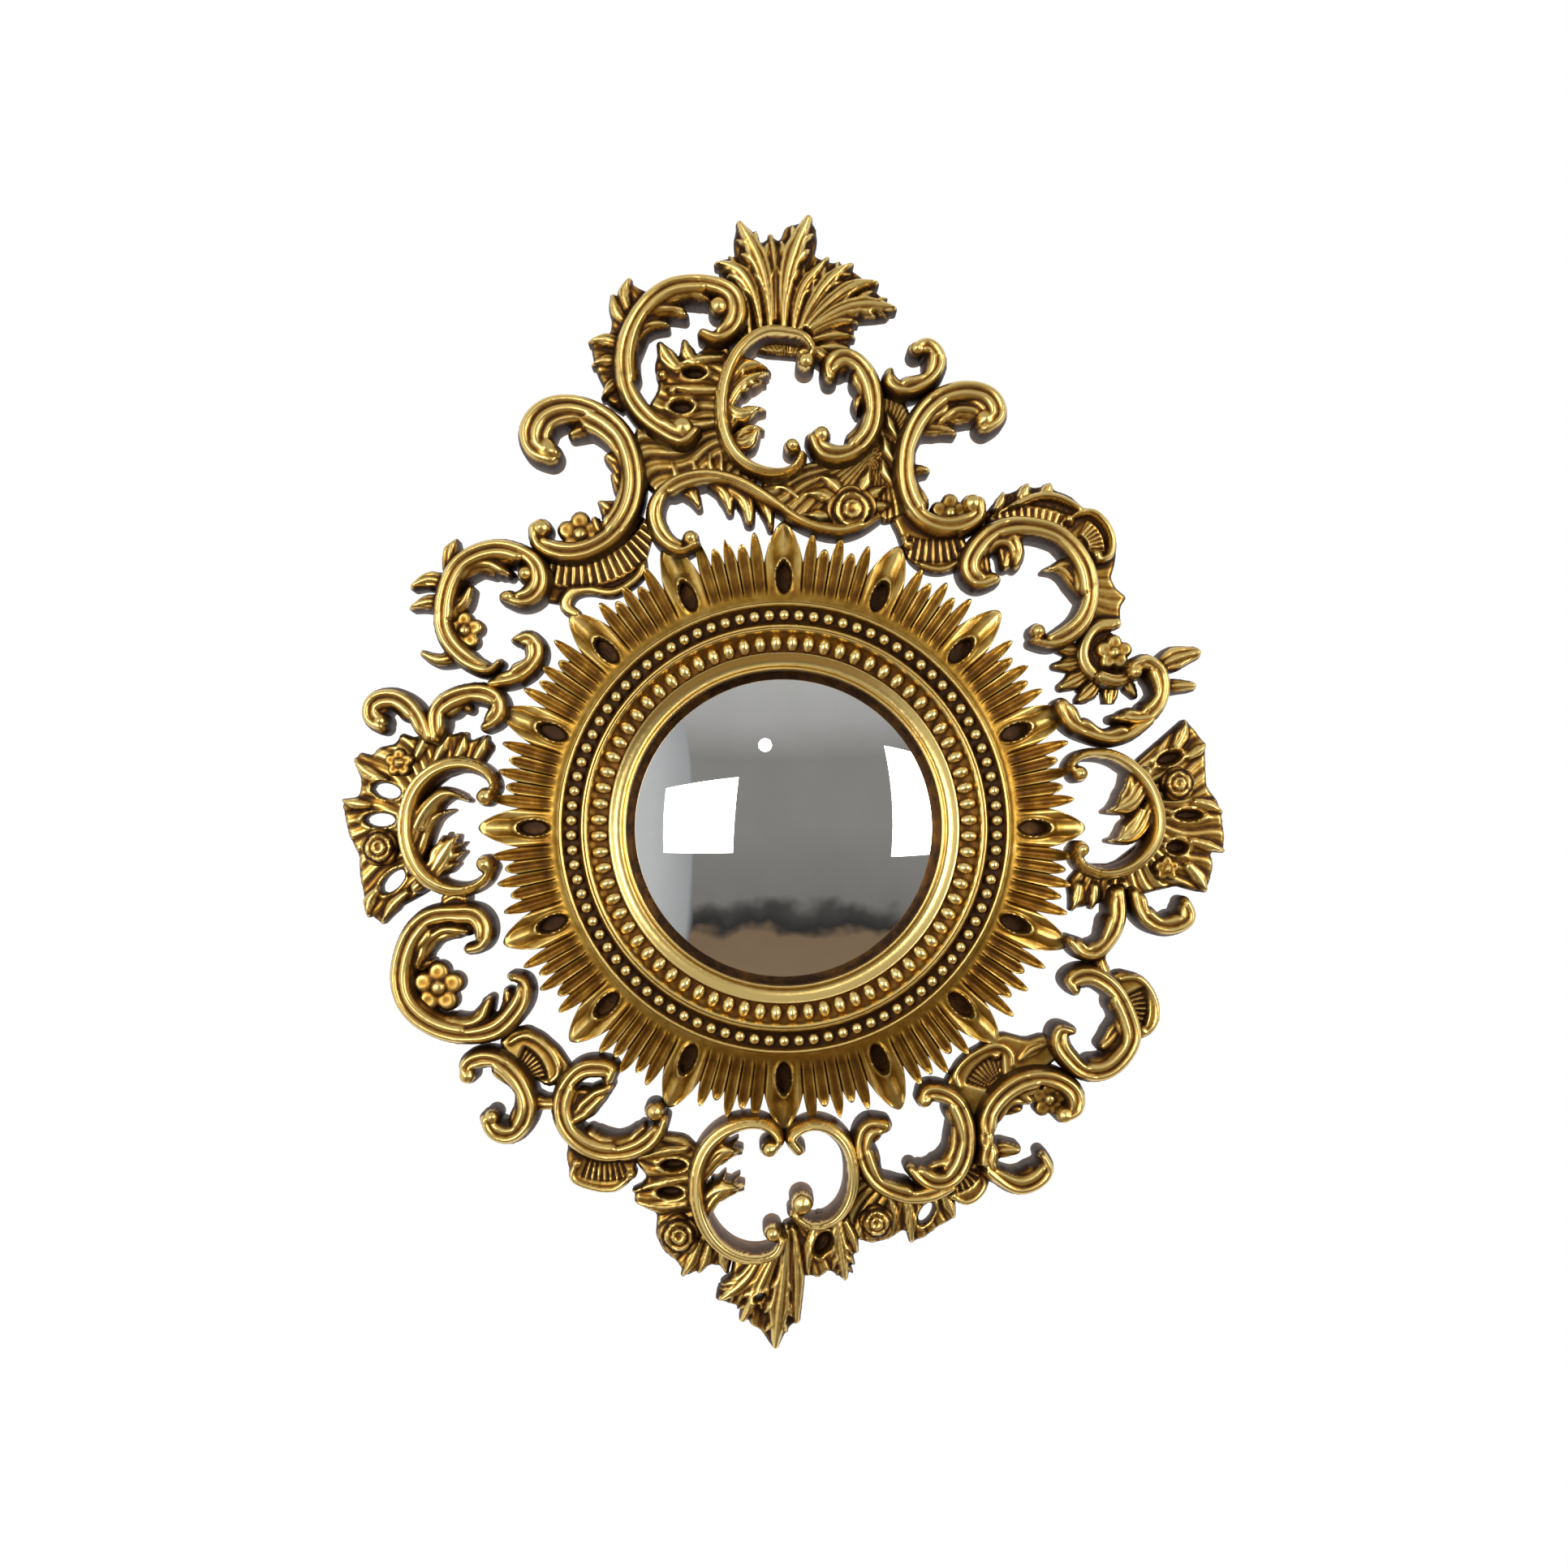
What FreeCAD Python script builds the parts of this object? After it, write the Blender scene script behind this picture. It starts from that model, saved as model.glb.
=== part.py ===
import FreeCAD, Part
import math
import os

import Sketcher
from FreeCAD import Placement, Rotation, Vector

# Convex butler's mirror: a convex glass in a turned, beaded moulding, a carved sunburst round it,
# and pierced scrollwork of C and S scrolls, panels, shells and flowers round the sunburst.
#
# Frame of the model: the mirror hangs on the wall plane y = 0 and faces -Y. +Z is up and +X is to
# the viewer's right. The origin lies on the glass's axis, in the wall plane. "Depth" is the
# distance forward of the wall. The scrollwork is drawn as (x, z) points in the plane of the wall.

DOC = FreeCAD.newDocument("ConvexMirror")
SHEET = DOC.addObject("Spreadsheet::Sheet", "sizes")

DRIVING_SIZES = (
    ("glass_diameter", 200.0, "convex glass, edge to edge"),
    ("glass_thickness", 3.0, "glass wall"),
    ("glass_rise", 22.0, "height of the glass's bulge over its whole width"),
    ("sight_overlap", 4.0, "width of glass hidden behind the sight lip"),
    ("glass_play", 1.0, "play round the glass in its rebate"),
    ("wall_gap", 6.0, "back of the frame to the wall"),
    ("seat_depth", 18.5, "back of the frame to the seat of the glass"),
    ("lip_height", 5.5, "thickness of the sight lip"),
    ("lip_edge", 2.0, "radial width of the sight lip's front edge"),
    ("lip_flat", 10.0, "radial width of the lip and the cove outside it"),
    ("cove_drop", 2.0, "depth of the cove outside the sight lip's edge"),
    ("egg_band", 12.0, "radial width of the hollow that holds the eggs"),
    ("ridge_width", 3.0, "radial width of the ridge outside the eggs"),
    ("moulding_depth", 32.0, "back of the frame to the ridges of the moulding"),
    ("hollow_depth", 6.0, "depth of the egg and pearl hollows below the ridges"),
    ("egg_length", 10.5, "egg, along the radius"),
    ("egg_width", 7.4, "egg, round the ring"),
    ("egg_height", 5.0, "egg, above its hollow"),
    ("egg_count", 72, "eggs round the sight"),
    ("pearl_band", 10.0, "radial width of the hollow that holds the pearls"),
    ("rim_width", 3.0, "radial width of each rim of the pearl moulding"),
    ("pearl_diameter", 6.8, "pearl"),
    ("pearl_height", 6.1, "pearl, above its hollow"),
    ("pearl_count", 90, "pearls round the moulding"),
    ("petal_count", 16, "large petals of the sunburst"),
    ("petal_length", 52.0, "pearl moulding to the tips of the large petals"),
    ("leaf_length", 42.0, "pearl moulding to the tips of the small leaves"),
    ("sunburst_root", 27.0, "back of the frame to the sunburst's front at the moulding"),
    ("sunburst_tip", 12.0, "back of the frame to the sunburst's front at its tips"),
    ("oval_length", 18.0, "oval hollow in a petal, along the radius"),
    ("oval_width", 8.5, "oval hollow in a petal, round the ring"),
    ("oval_depth", 8.0, "oval hollow in a petal, below the petal"),
    ("scroll_height", 28.0, "back of the frame to the ridge of a leafy scroll"),
    ("plain_height", 33.0, "back of the frame to the ridge of a plain C scroll"),
    ("panel_height", 15.0, "back of the frame to the face of a panel"),
    ("flower_height", 8.0, "height of a flower above its ground"),
    ("board_thickness", 4.0, "backing board"),
    ("board_play", 0.4, "play round the backing board"),
    ("spacer_width", 6.0, "radial width of the packing ring behind the glass"),
    ("button_count", 4, "turn buttons"),
    ("button_length", 26.0, "turn button, end to end"),
    ("button_width", 9.0, "turn button, across"),
    ("button_thickness", 1.5, "turn button"),
    ("button_tail", 6.0, "turn button, pivot to its short end"),
    ("turning_gap", 0.3, "clearance in front of and behind a turn button"),
    ("screw_diameter", 3.0, "shank of the screws"),
    ("screw_length", 12.0, "screw below its head"),
    ("head_diameter", 7.0, "screw head"),
    ("head_height", 1.8, "screw head"),
    ("running_fit", 0.05, "radial play of a moving piece on its pin"),
    ("hanger_width", 20.0, "hanger ring, across its wire centres"),
    ("hanger_height", 17.0, "hanger ring, hinge axis to the top wire's centre"),
    ("wire_diameter", 2.5, "hanger ring's wire"),
    ("strap_width", 11.0, "hanger strap"),
    ("strap_length", 13.0, "hanger strap, hinge axis to its lower end"),
    ("strap_thickness", 0.8, "hanger strap's sheet"),
    ("pad_diameter", 14.0, "wall pad"),
    ("pad_angle", 42.0, "angle of each wall pad from straight down"),
)

DERIVED_SIZES = (
    ("glass_radius", "=glass_diameter / 2"),
    ("sight_radius", "=glass_radius - sight_overlap"),
    ("bulge_radius", "=(glass_radius * glass_radius + glass_rise * glass_rise) / (2 * glass_rise)"),
    ("rebate_radius", "=glass_radius + glass_play"),
    ("lip_edge_radius", "=sight_radius + lip_edge"),
    ("lip_radius", "=sight_radius + lip_flat"),
    ("cove_radius", "=(lip_edge_radius + lip_radius) / 2"),
    ("ridge_radius", "=lip_radius + egg_band"),
    ("sight_ring_radius", "=ridge_radius + ridge_width"),
    ("pearl_inner", "=sight_ring_radius + rim_width"),
    ("pearl_outer", "=pearl_inner + pearl_band"),
    ("rim_radius", "=pearl_outer + rim_width"),
    ("seat_plane", "=wall_gap + seat_depth"),
    ("lip_front", "=seat_plane + lip_height"),
    ("cove_plane", "=lip_front - cove_drop"),
    ("hollow_plane", "=wall_gap + moulding_depth - hollow_depth"),
    ("ridge_plane", "=wall_gap + moulding_depth"),
    ("fillet_plane", "=ridge_plane - rim_width / 2"),
    ("board_front", "=wall_gap + board_thickness"),
    ("board_radius", "=rebate_radius - board_play"),
    ("spacer_inner", "=board_radius - spacer_width"),
    ("bulge_centre", "=seat_plane - sqrt(bulge_radius * bulge_radius - sight_radius * sight_radius)"),
    ("glass_back_radius", "=bulge_radius - glass_thickness"),
    ("glass_rim_back", "=bulge_centre + sqrt(glass_back_radius ^ 2 - glass_radius ^ 2)"),
    ("button_circle", "=rebate_radius + button_width"),
    ("hanger_axis", "=rim_radius + 1"),
    ("hanger_depth", "=wall_gap - strap_thickness - running_fit - wire_diameter / 2"),
)


def fill_sheet():
    """Writes the driving sizes as plain numbers and the sizes that follow from them as formulas."""
    row = 1
    for alias, number, meaning in DRIVING_SIZES:
        SHEET.set(f"A{row}", meaning)
        SHEET.set(f"B{row}", str(number))
        SHEET.setAlias(f"B{row}", alias)
        row += 1
    for alias, formula in DERIVED_SIZES:
        SHEET.set(f"B{row}", formula)
        SHEET.setAlias(f"B{row}", alias)
        row += 1
    DOC.recompute()


fill_sheet()


def size(alias):
    """The number in the sheet's cell of that name."""
    return float(SHEET.get(alias))


BACK = size("wall_gap")
NODES = []


def node(thing, label):
    """Gives a finished sub-part its name and puts it on the list of pieces to write."""
    thing.Label = label
    NODES.append(thing)
    return thing


def solid_node(label, shape):
    """A sub-part whose solid is worked out in code."""
    thing = DOC.addObject("Part::Feature", label)
    thing.Shape = shape
    thing.Placement = Placement()
    return node(thing, label)


# ---------------------------------------------------------------- turned pieces

FACING = Placement(Vector(0, 0, 0), Rotation(Vector(0, 0, 1), 180))


def sketch_in(body, name, role):
    """A sketch on one of the body's own origin planes."""
    sketch = body.newObject("Sketcher::SketchObject", name)
    origin_plane = next(item for item in body.Origin.OriginFeatures if item.Role == role)
    sketch.AttachmentSupport = (origin_plane, "")
    sketch.MapMode = "FlatFace"
    return sketch


def bind(sketch, kind, numbers, alias):
    """Adds a dimension to a sketch and ties it to a cell of the sheet."""
    index = sketch.addConstraint(Sketcher.Constraint(kind, *numbers, size(alias)))
    sketch.setExpression(f"Constraints[{index}]", f"sizes.{alias}")


def turned(label, corners):
    """Turns a closed profile about the mirror's axis.

    Each corner is (radius, depth) as names of cells; a radius of None lies on the axis.
    """
    body = DOC.addObject("PartDesign::Body", label)
    sketch = sketch_in(body, label + "_profile", "XY_Plane")
    places = [Vector(size(radius) if radius else 0, size(depth), 0) for radius, depth in corners]
    for start, end in zip(places, places[1:] + places[:1]):
        sketch.addGeometry(Part.LineSegment(start, end))
    for index, (radius, depth) in enumerate(corners):
        following = (index + 1) % len(corners)
        sketch.addConstraint(Sketcher.Constraint("Coincident", index, 2, following, 1))
        if radius:
            bind(sketch, "DistanceX", (-1, 1, index, 1), radius)
        else:
            sketch.addConstraint(Sketcher.Constraint("PointOnObject", index, 1, -2))
        bind(sketch, "DistanceY", (-1, 1, index, 1), depth)
    revolution = body.newObject("PartDesign::Revolution", label + "_turn")
    revolution.Profile = sketch
    revolution.ReferenceAxis = (sketch, ["V_Axis"])
    revolution.Angle = 360
    body.Tip = revolution
    body.Placement = FACING
    return body


def polar(radius, angle):
    """A point in the wall's plane at a radius and an angle in degrees from +X."""
    turn = math.radians(angle)
    return Vector(radius * math.cos(turn), 0, radius * math.sin(turn))


def cylinder_at(place, radius, back, front):
    """A cylinder along the mirror's axis, from one depth to another."""
    return Part.makeCylinder(radius, front - back, Vector(place.x, -back, place.z), Vector(0, -1, 0))


def screw_at(place, head_back):
    """A pan-head screw that is driven forward, with its head starting at a depth."""
    head_front = head_back + size("head_height")
    head = cylinder_at(place, size("head_diameter") / 2, head_back, head_front)
    shank = cylinder_at(place, size("screw_diameter") / 2, head_front, head_front + size("screw_length"))
    return head.fuse(shank).removeSplitter()


def button_places():
    """The pivot of each turn button, with the angle at which its long end points at the axis."""
    count = round(size("button_count"))
    step = 360 / count
    angles = [step / 2 + step * turn for turn in range(count)]
    return [(polar(size("button_circle"), angle), angle) for angle in angles]


def build_mouldings():
    """The sight ring that holds the glass, and the pearl moulding round it."""
    hanger_place = Vector(0, 0, size("hanger_axis") - size("strap_length") / 2 - size("screw_diameter") / 2)
    button_head = BACK - 2 * size("turning_gap") - size("button_thickness") - size("head_height")
    button_screws = Part.makeCompound([screw_at(place, button_head) for place, _ in button_places()])
    hanger_screw = screw_at(hanger_place, BACK - size("strap_thickness") - size("head_height"))
    screws = solid_node("button_screws", button_screws)
    strap_screw = solid_node("hanger_screw", hanger_screw)

    ring = turned("sight_ring_turning", (
        ("sight_radius", "seat_plane"),
        ("sight_radius", "lip_front"),
        ("lip_edge_radius", "lip_front"),
        ("cove_radius", "cove_plane"),
        ("lip_radius", "hollow_plane"),
        ("ridge_radius", "hollow_plane"),
        ("ridge_radius", "ridge_plane"),
        ("sight_ring_radius", "ridge_plane"),
        ("sight_ring_radius", "wall_gap"),
        ("rebate_radius", "wall_gap"),
        ("rebate_radius", "seat_plane"),
    ))
    moulding = turned("pearl_moulding_turning", (
        ("sight_ring_radius", "wall_gap"),
        ("sight_ring_radius", "fillet_plane"),
        ("pearl_inner", "ridge_plane"),
        ("pearl_inner", "hollow_plane"),
        ("pearl_outer", "hollow_plane"),
        ("pearl_outer", "ridge_plane"),
        ("rim_radius", "fillet_plane"),
        ("rim_radius", "wall_gap"),
    ))
    for body, tool, label in ((ring, screws, "sight_ring"), (moulding, strap_screw, "pearl_moulding")):
        drilled = DOC.addObject("Part::Cut", label)
        drilled.Base = body
        drilled.Tool = tool
        node(drilled, label)
    return hanger_place


def primitive(kind, name, **bindings):
    """A primitive solid whose sizes are tied to cells of the sheet."""
    thing = DOC.addObject(kind, name)
    for key, alias in bindings.items():
        thing.setExpression(key, f"sizes.{alias}")
    return thing


def build_glass():
    """The mirror glass: a cap of a thin ball, cut by a cylinder of the glass's diameter."""
    front = primitive("Part::Sphere", "glass_front_ball", Radius="bulge_radius")
    back = primitive("Part::Sphere", "glass_back_ball", Radius="glass_back_radius")
    for ball in (front, back):
        ball.setExpression("Placement.Base.y", "-sizes.bulge_centre")
    shell = DOC.addObject("Part::Cut", "glass_shell")
    shell.Base = front
    shell.Tool = back
    blank = primitive("Part::Cylinder", "glass_blank", Radius="glass_radius", Height="bulge_radius")
    blank.Placement = Placement(Vector(0, 0, 0), Rotation(Vector(1, 0, 0), 90))
    glass = DOC.addObject("Part::Common", "mirror_glass")
    glass.Base = shell
    glass.Tool = blank
    node(glass, "mirror_glass")


def tube(label, outer, inner, back, front):
    """A flat ring or disc between two depths; a disc has no inner radius."""
    return node(turned(label, ((inner, back), (outer, back), (outer, front), (inner, front))), label)


# ---------------------------------------------------------------- faceted carving

def facet(corners):
    """A flat face through corners in order."""
    return Part.Face(Part.makePolygon(list(corners) + [corners[0]]))


def between(lower, upper):
    """Three-sided faces that join two closed rings of as many corners."""
    faces = []
    count = len(lower)
    for index in range(count):
        following = (index + 1) % count
        faces.append(facet((lower[index], lower[following], upper[following])))
        faces.append(facet((lower[index], upper[following], upper[index])))
    return faces


def faceted(levels, peak=None):
    """A closed solid through stacked rings of corners, with a flat or a pointed top."""
    faces = [facet(levels[0])]
    for lower, upper in zip(levels, levels[1:]):
        faces += between(lower, upper)
    top = levels[-1]
    if peak is None:
        faces.append(facet(top))
    else:
        faces += [facet((corner, following, peak)) for corner, following in zip(top, top[1:] + top[:1])]
    return sewn(faces)


OVAL_SIDES = 8


def oval_corners(centre, long, wide, angle):
    """The corners of an oval round a place, its length at an angle from +X."""
    along = polar(1, angle)
    across = Vector(-along.z, 0, along.x)
    corners = []
    for side in range(OVAL_SIDES):
        turn = 2 * math.pi * (side + 0.5) / OVAL_SIDES
        spot = centre + along * (long / 2 * math.cos(turn)) + across * (wide / 2 * math.sin(turn))
        corners.append(spot)
    return corners


def sewn(faces):
    """Joins faces that share their edges into one solid."""
    shell = Part.makeShell(faces)
    shell.sewShape()
    solid = Part.makeSolid(shell)
    if solid.Volume < 0:
        solid.reverse()
    return solid.removeSplitter()


BEAD_SHOULDER = 0.8
BEAD_SWELL = 0.65
BEAD_SIDES = 6


def bead(place, along, long_half, wide_half, base, top):
    """A carved bead with a flat seat, which swells to a shoulder and comes to a point."""
    across = Vector(-along.z, 0, along.x)
    levels = []
    for share, depth in ((1.0, base), (BEAD_SHOULDER, base + BEAD_SWELL * (top - base))):
        ring = []
        for side in range(BEAD_SIDES):
            turn = 2 * math.pi * side / BEAD_SIDES
            spot = place + along * (long_half * share * math.cos(turn))
            spot += across * (wide_half * share * math.sin(turn))
            ring.append(Vector(spot.x, -depth, spot.z))
        levels.append(ring)
    return faceted(levels, Vector(place.x, -top, place.z))


def bead_ring(label, count, radius, long_half, wide_half, top):
    """Equal beads at even steps round the mirror's axis."""
    base = size("hollow_plane")
    first = bead(Vector(radius, 0, 0), Vector(1, 0, 0), long_half, wide_half, base, top)
    beads = []
    for index in range(count):
        copy = first.copy()
        copy.rotate(Vector(0, 0, 0), Vector(0, 1, 0), 360 * (index + 0.5) / count)
        beads.append(copy)
    solid_node(label, Part.makeCompound(beads))


def build_beads():
    """The string of eggs in the sight ring and the string of pearls in the moulding."""
    hollow = size("hollow_plane")
    egg_circle = (size("lip_radius") + size("ridge_radius")) / 2
    pearl_circle = (size("pearl_inner") + size("pearl_outer")) / 2
    bead_ring("egg_beads", round(size("egg_count")), egg_circle, size("egg_length") / 2,
              size("egg_width") / 2, hollow + size("egg_height"))
    half_pearl = size("pearl_diameter") / 2
    bead_ring("pearl_beads", round(size("pearl_count")), pearl_circle, half_pearl, half_pearl,
              hollow + size("pearl_height"))


# The sunburst's leaves within half the step from one large petal to the next. Each row is an
# angle as a share of that half step, the reach as a share of the way from the small leaves'
# valleys to the tips, and whether it is a ridge (1) or a valley (0).
HALF_STEP_LEAVES = (
    (0.00, 1.00, 1),
    (0.20, 0.66, 0),
    (0.31, 0.22, 0),
    (0.44, 0.66, 1),
    (0.58, 0.18, 0),
    (0.72, 0.70, 1),
    (0.86, 0.16, 0),
    (1.00, 0.62, 1),
)
LARGE_PETAL_SHARE = 0.25
VALLEY_SHARE = 0.58
BELLY_SHARE = 0.45
BELLY_FALL = 0.55
RIDGE_RISE = 3.0
OVAL_PLACE = 0.32
OVAL_FLOOR_FALL = 0.30


def burst_stations():
    """Angle, tip radius and ridge flag all round the sunburst, in order."""
    count = round(size("petal_count"))
    half = 180 / count
    petal_tip = size("rim_radius") + size("petal_length")
    leaf_tip = size("rim_radius") + size("leaf_length")
    valley = size("rim_radius") + VALLEY_SHARE * size("leaf_length")
    after_petal = list(HALF_STEP_LEAVES)
    before_petal = [(-share, reach, ridge) for share, reach, ridge in HALF_STEP_LEAVES[-2:0:-1]]
    stations = []
    for petal in range(count):
        for share, reach, ridge in before_petal + after_petal:
            tip = petal_tip if abs(share) < LARGE_PETAL_SHARE else leaf_tip
            stations.append((2 * half * petal + half * share, valley + reach * (tip - valley), ridge))
    return stations


def star_face():
    """The sunburst's outline as a flat face at the back of the frame."""
    return facet([polar(tip, angle) - Vector(0, BACK, 0) for angle, tip, _ in burst_stations()])


def build_sunburst():
    """A dish that falls back from the moulding to its leaf tips, with ridged leaves and ovals."""
    root = BACK + size("sunburst_root")
    tip_depth = BACK + size("sunburst_tip")
    belly_depth = root + BELLY_FALL * (tip_depth - root)
    stations = burst_stations()
    rim = size("rim_radius") / math.cos(math.pi / len(stations))
    rings = [[], [], [], [], []]
    for angle, tip, ridge in stations:
        belly = rim + BELLY_SHARE * (tip - rim)
        places = (
            (rim, BACK),
            (rim, root),
            (belly, belly_depth + RIDGE_RISE * ridge),
            (tip, tip_depth),
            (tip, BACK),
        )
        for ring, (radius, depth) in zip(rings, places):
            ring.append(polar(radius, angle) - Vector(0, depth, 0))
    faces = []
    for lower, upper in zip(rings, rings[1:] + rings[:1]):
        faces += between(lower, upper)
    burst = sewn(faces)
    oval_circle = rim + OVAL_PLACE * size("petal_length")
    floor = root - OVAL_FLOOR_FALL * (root - tip_depth) - size("oval_depth")
    ovals = []
    for petal in range(round(size("petal_count"))):
        angle = 360 * petal / size("petal_count")
        corners = oval_corners(polar(oval_circle, angle), size("oval_length"), size("oval_width"), angle)
        oval = facet([corner - Vector(0, floor, 0) for corner in corners])
        ovals.append(oval.extrude(Vector(0, -size("sunburst_root"), 0)))
    solid_node("sunburst", burst.cut(Part.makeCompound(ovals)))


# ---------------------------------------------------------------- scrollwork

DRAWN_TIP_RADIUS = 189.0
FLOOR_OF_CROWN = 0.6
CROWN_INSET = 1.6
RIDGE_SHARE = 0.36
FINE_STEPS = 150
TURN_STEP = 34.0
LONGEST_STEP = 20.0
EYE_FOOT = 1.25
EYE_CROWN = 0.5
RIB_FOOT = 0.8
RIB_RIDGE = 0.3
RIB_RISE = 0.35
ROOTED = 0.5
LEAF_COARSENESS = 1.8
HOLLOW_FLOOR = 0.55
NARROWEST_HALF = 0.4
CURL_OPENING = 0.8
STRAIGHT_BEND = 0.001
SMALLEST_PATCH = 0.05
SMALLEST_HOLE = 30.0
SMALLEST_SHARE = 0.1
PLAIN = "plain_height"
LEAFY = "scroll_height"
FLAT = "panel_height"

TIP_STEP = size("rim_radius") + size("petal_length") - DRAWN_TIP_RADIUS


def stretch_at(x, z):
    """How far out of its drawn place a point lies, as the scrollwork follows the sunburst's tips."""
    reach = math.hypot(x, z)
    return (reach + TIP_STEP) / reach


def drawn(x, z):
    """A drawn point, moved outwards with the sunburst's tips, at the back of the frame."""
    stretch = stretch_at(x, z)
    return Vector(x * stretch, -BACK, z * stretch)


def patch_area(points):
    """Twice the area inside a closed outline."""
    return abs(sum(a.x * b.z - b.x * a.z for a, b in zip(points, points[1:] + points[:1])))


def flat_face(points):
    """A flat face at the back of the frame from its corners, always wound the same way."""
    corners = list(points)
    turn = sum(a.x * b.z - b.x * a.z for a, b in zip(corners, corners[1:] + corners[:1]))
    if turn < 0:
        corners.reverse()
    return Part.Face(Part.makePolygon(corners + [corners[0]]))


class Band:
    """A band of changing width along a smooth spine, sampled where the spine bends."""

    def __init__(self, spine, widths, coarse=1.0):
        curve = Part.BSplineCurve()
        curve.interpolate([drawn(x, z) for x, z in spine])
        first = curve.FirstParameter
        span = curve.LastParameter - first
        fine = [first + span * step / FINE_STEPS for step in range(FINE_STEPS + 1)]
        kept = [fine[0]]
        travelled = [0.0]
        turned_by = 0.0
        way = 0.0
        last_kept_way = 0.0
        for before, after in zip(fine, fine[1:]):
            way += (curve.value(after) - curve.value(before)).Length
            turned_by += math.degrees(curve.tangent(after)[0].getAngle(curve.tangent(before)[0]))
            if turned_by > TURN_STEP * coarse or way - last_kept_way > LONGEST_STEP or after == fine[-1]:
                kept.append(after)
                travelled.append(way)
                turned_by = 0.0
                last_kept_way = way
        self.points = [curve.value(at) for at in kept]
        self.normals = []
        self.half_widths = []
        self.bends = []
        for place, at, way in zip(self.points, kept, travelled):
            tangent = curve.tangent(at)[0]
            normal = Vector(-tangent.z, 0, tangent.x)
            bend = curve.curvature(at)
            centre = curve.centerOfCurvature(at) if bend > STRAIGHT_BEND else place + normal
            toward = 1 if (centre - place).dot(normal) > 0 else -1
            share = way / travelled[-1] * (len(widths) - 1)
            index = min(int(share), len(widths) - 2)
            width = widths[index] + (share - index) * (widths[index + 1] - widths[index])
            self.normals.append(normal)
            self.half_widths.append(width / 2 * stretch_at(place.x, place.z))
            self.bends.append(toward * bend)

    def strips(self):
        """The band's footprint as short three-sided strips and a rounded patch at each end."""
        left, right = self.sides(1.0, 0.0)
        patches = []
        for index in range(len(left) - 1):
            patches.append([left[index], left[index + 1], right[index + 1]])
            patches.append([left[index], right[index + 1], right[index]])
        for start, end in ((left[-1], right[-1]), (right[0], left[0])):
            patches.append([start] + self.cap(start, end) + [end])
        return [flat_face(patch) for patch in patches if patch_area(patch) > SMALLEST_PATCH]

    def sides(self, share, inset):
        """The two edges of the band; the inside of a tight curl is kept open."""
        left = []
        right = []
        for place, normal, half, bend in zip(self.points, self.normals, self.half_widths, self.bends):
            reach = max(half * share - inset, NARROWEST_HALF)
            inner_limit = CURL_OPENING / max(abs(bend), STRAIGHT_BEND)
            left.append(place + normal * (min(reach, inner_limit) if bend > 0 else reach))
            right.append(place - normal * (min(reach, inner_limit) if bend < 0 else reach))
        return left, right

    def outline(self, share=1.0, inset=0.0, depth=None):
        """The band's closed outline, with rounded ends."""
        left, right = self.sides(share, inset)
        end_cap = self.cap(left[-1], right[-1])
        start_cap = self.cap(right[0], left[0])
        corners = left + end_cap + right[::-1] + start_cap
        if depth is None:
            return corners
        return [Vector(corner.x, -depth, corner.z) for corner in corners]

    @staticmethod
    def cap(start, end):
        """Two points that round an end, from one side of the band to the other."""
        middle = (start + end) * 0.5
        radius = (start - end) * 0.5
        forward = Vector(radius.z, 0, -radius.x)
        return [middle + radius * 0.5 + forward * 0.87, middle - radius * 0.5 + forward * 0.87]


def disc_corners(x, z, radius, depth=None, sides=8):
    """The corners of a small round eye or berry."""
    centre = drawn(x, z)
    corners = []
    for side in range(sides):
        turn = 2 * math.pi * (side + 0.5) / sides
        corners.append(centre + Vector(radius * math.cos(turn), 0, radius * math.sin(turn)))
    if depth is None:
        return corners
    return [Vector(corner.x, -depth, corner.z) for corner in corners]


def without_scraps(pieces, amount):
    """The pieces that a cut has left, less the scraps beside the largest one."""
    most = max(amount(piece) for piece in pieces)
    kept = [piece for piece in pieces if amount(piece) > SMALLEST_SHARE * most]
    return kept[0] if len(kept) == 1 else Part.makeCompound(kept)


def main_faces(shape):
    """The main faces of a flat shape that a cut may have parted."""
    return without_scraps(shape.Faces, lambda face: face.Area)


def main_solids(shape):
    """The main solids of a shape that a cut may have parted."""
    return without_scraps(shape.Solids, lambda solid: solid.Volume)


def merged(faces):
    """One flat face that covers all the given ones, added one by one where they don't join at once."""
    whole = faces[0]
    if len(faces) > 1:
        whole = faces[0].fuse(faces[1:]).removeSplitter()
    if len(whole.Faces) > 1:
        whole = faces[0]
        for face in faces[1:]:
            whole = whole.fuse(face).removeSplitter()
    return main_faces(whole)


def without_slivers(shape):
    """A flat shape with its smallest inner holes filled in."""
    small = []
    for face in shape.Faces:
        holes = [Part.Face(wire) for wire in face.Wires if not wire.isSame(face.OuterWire)]
        small += [hole for hole in holes if hole.Area < SMALLEST_HOLE]
    return merged(shape.Faces + small) if small else shape


PLACED_FACES = []
PLACED_SOLIDS = []


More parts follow.
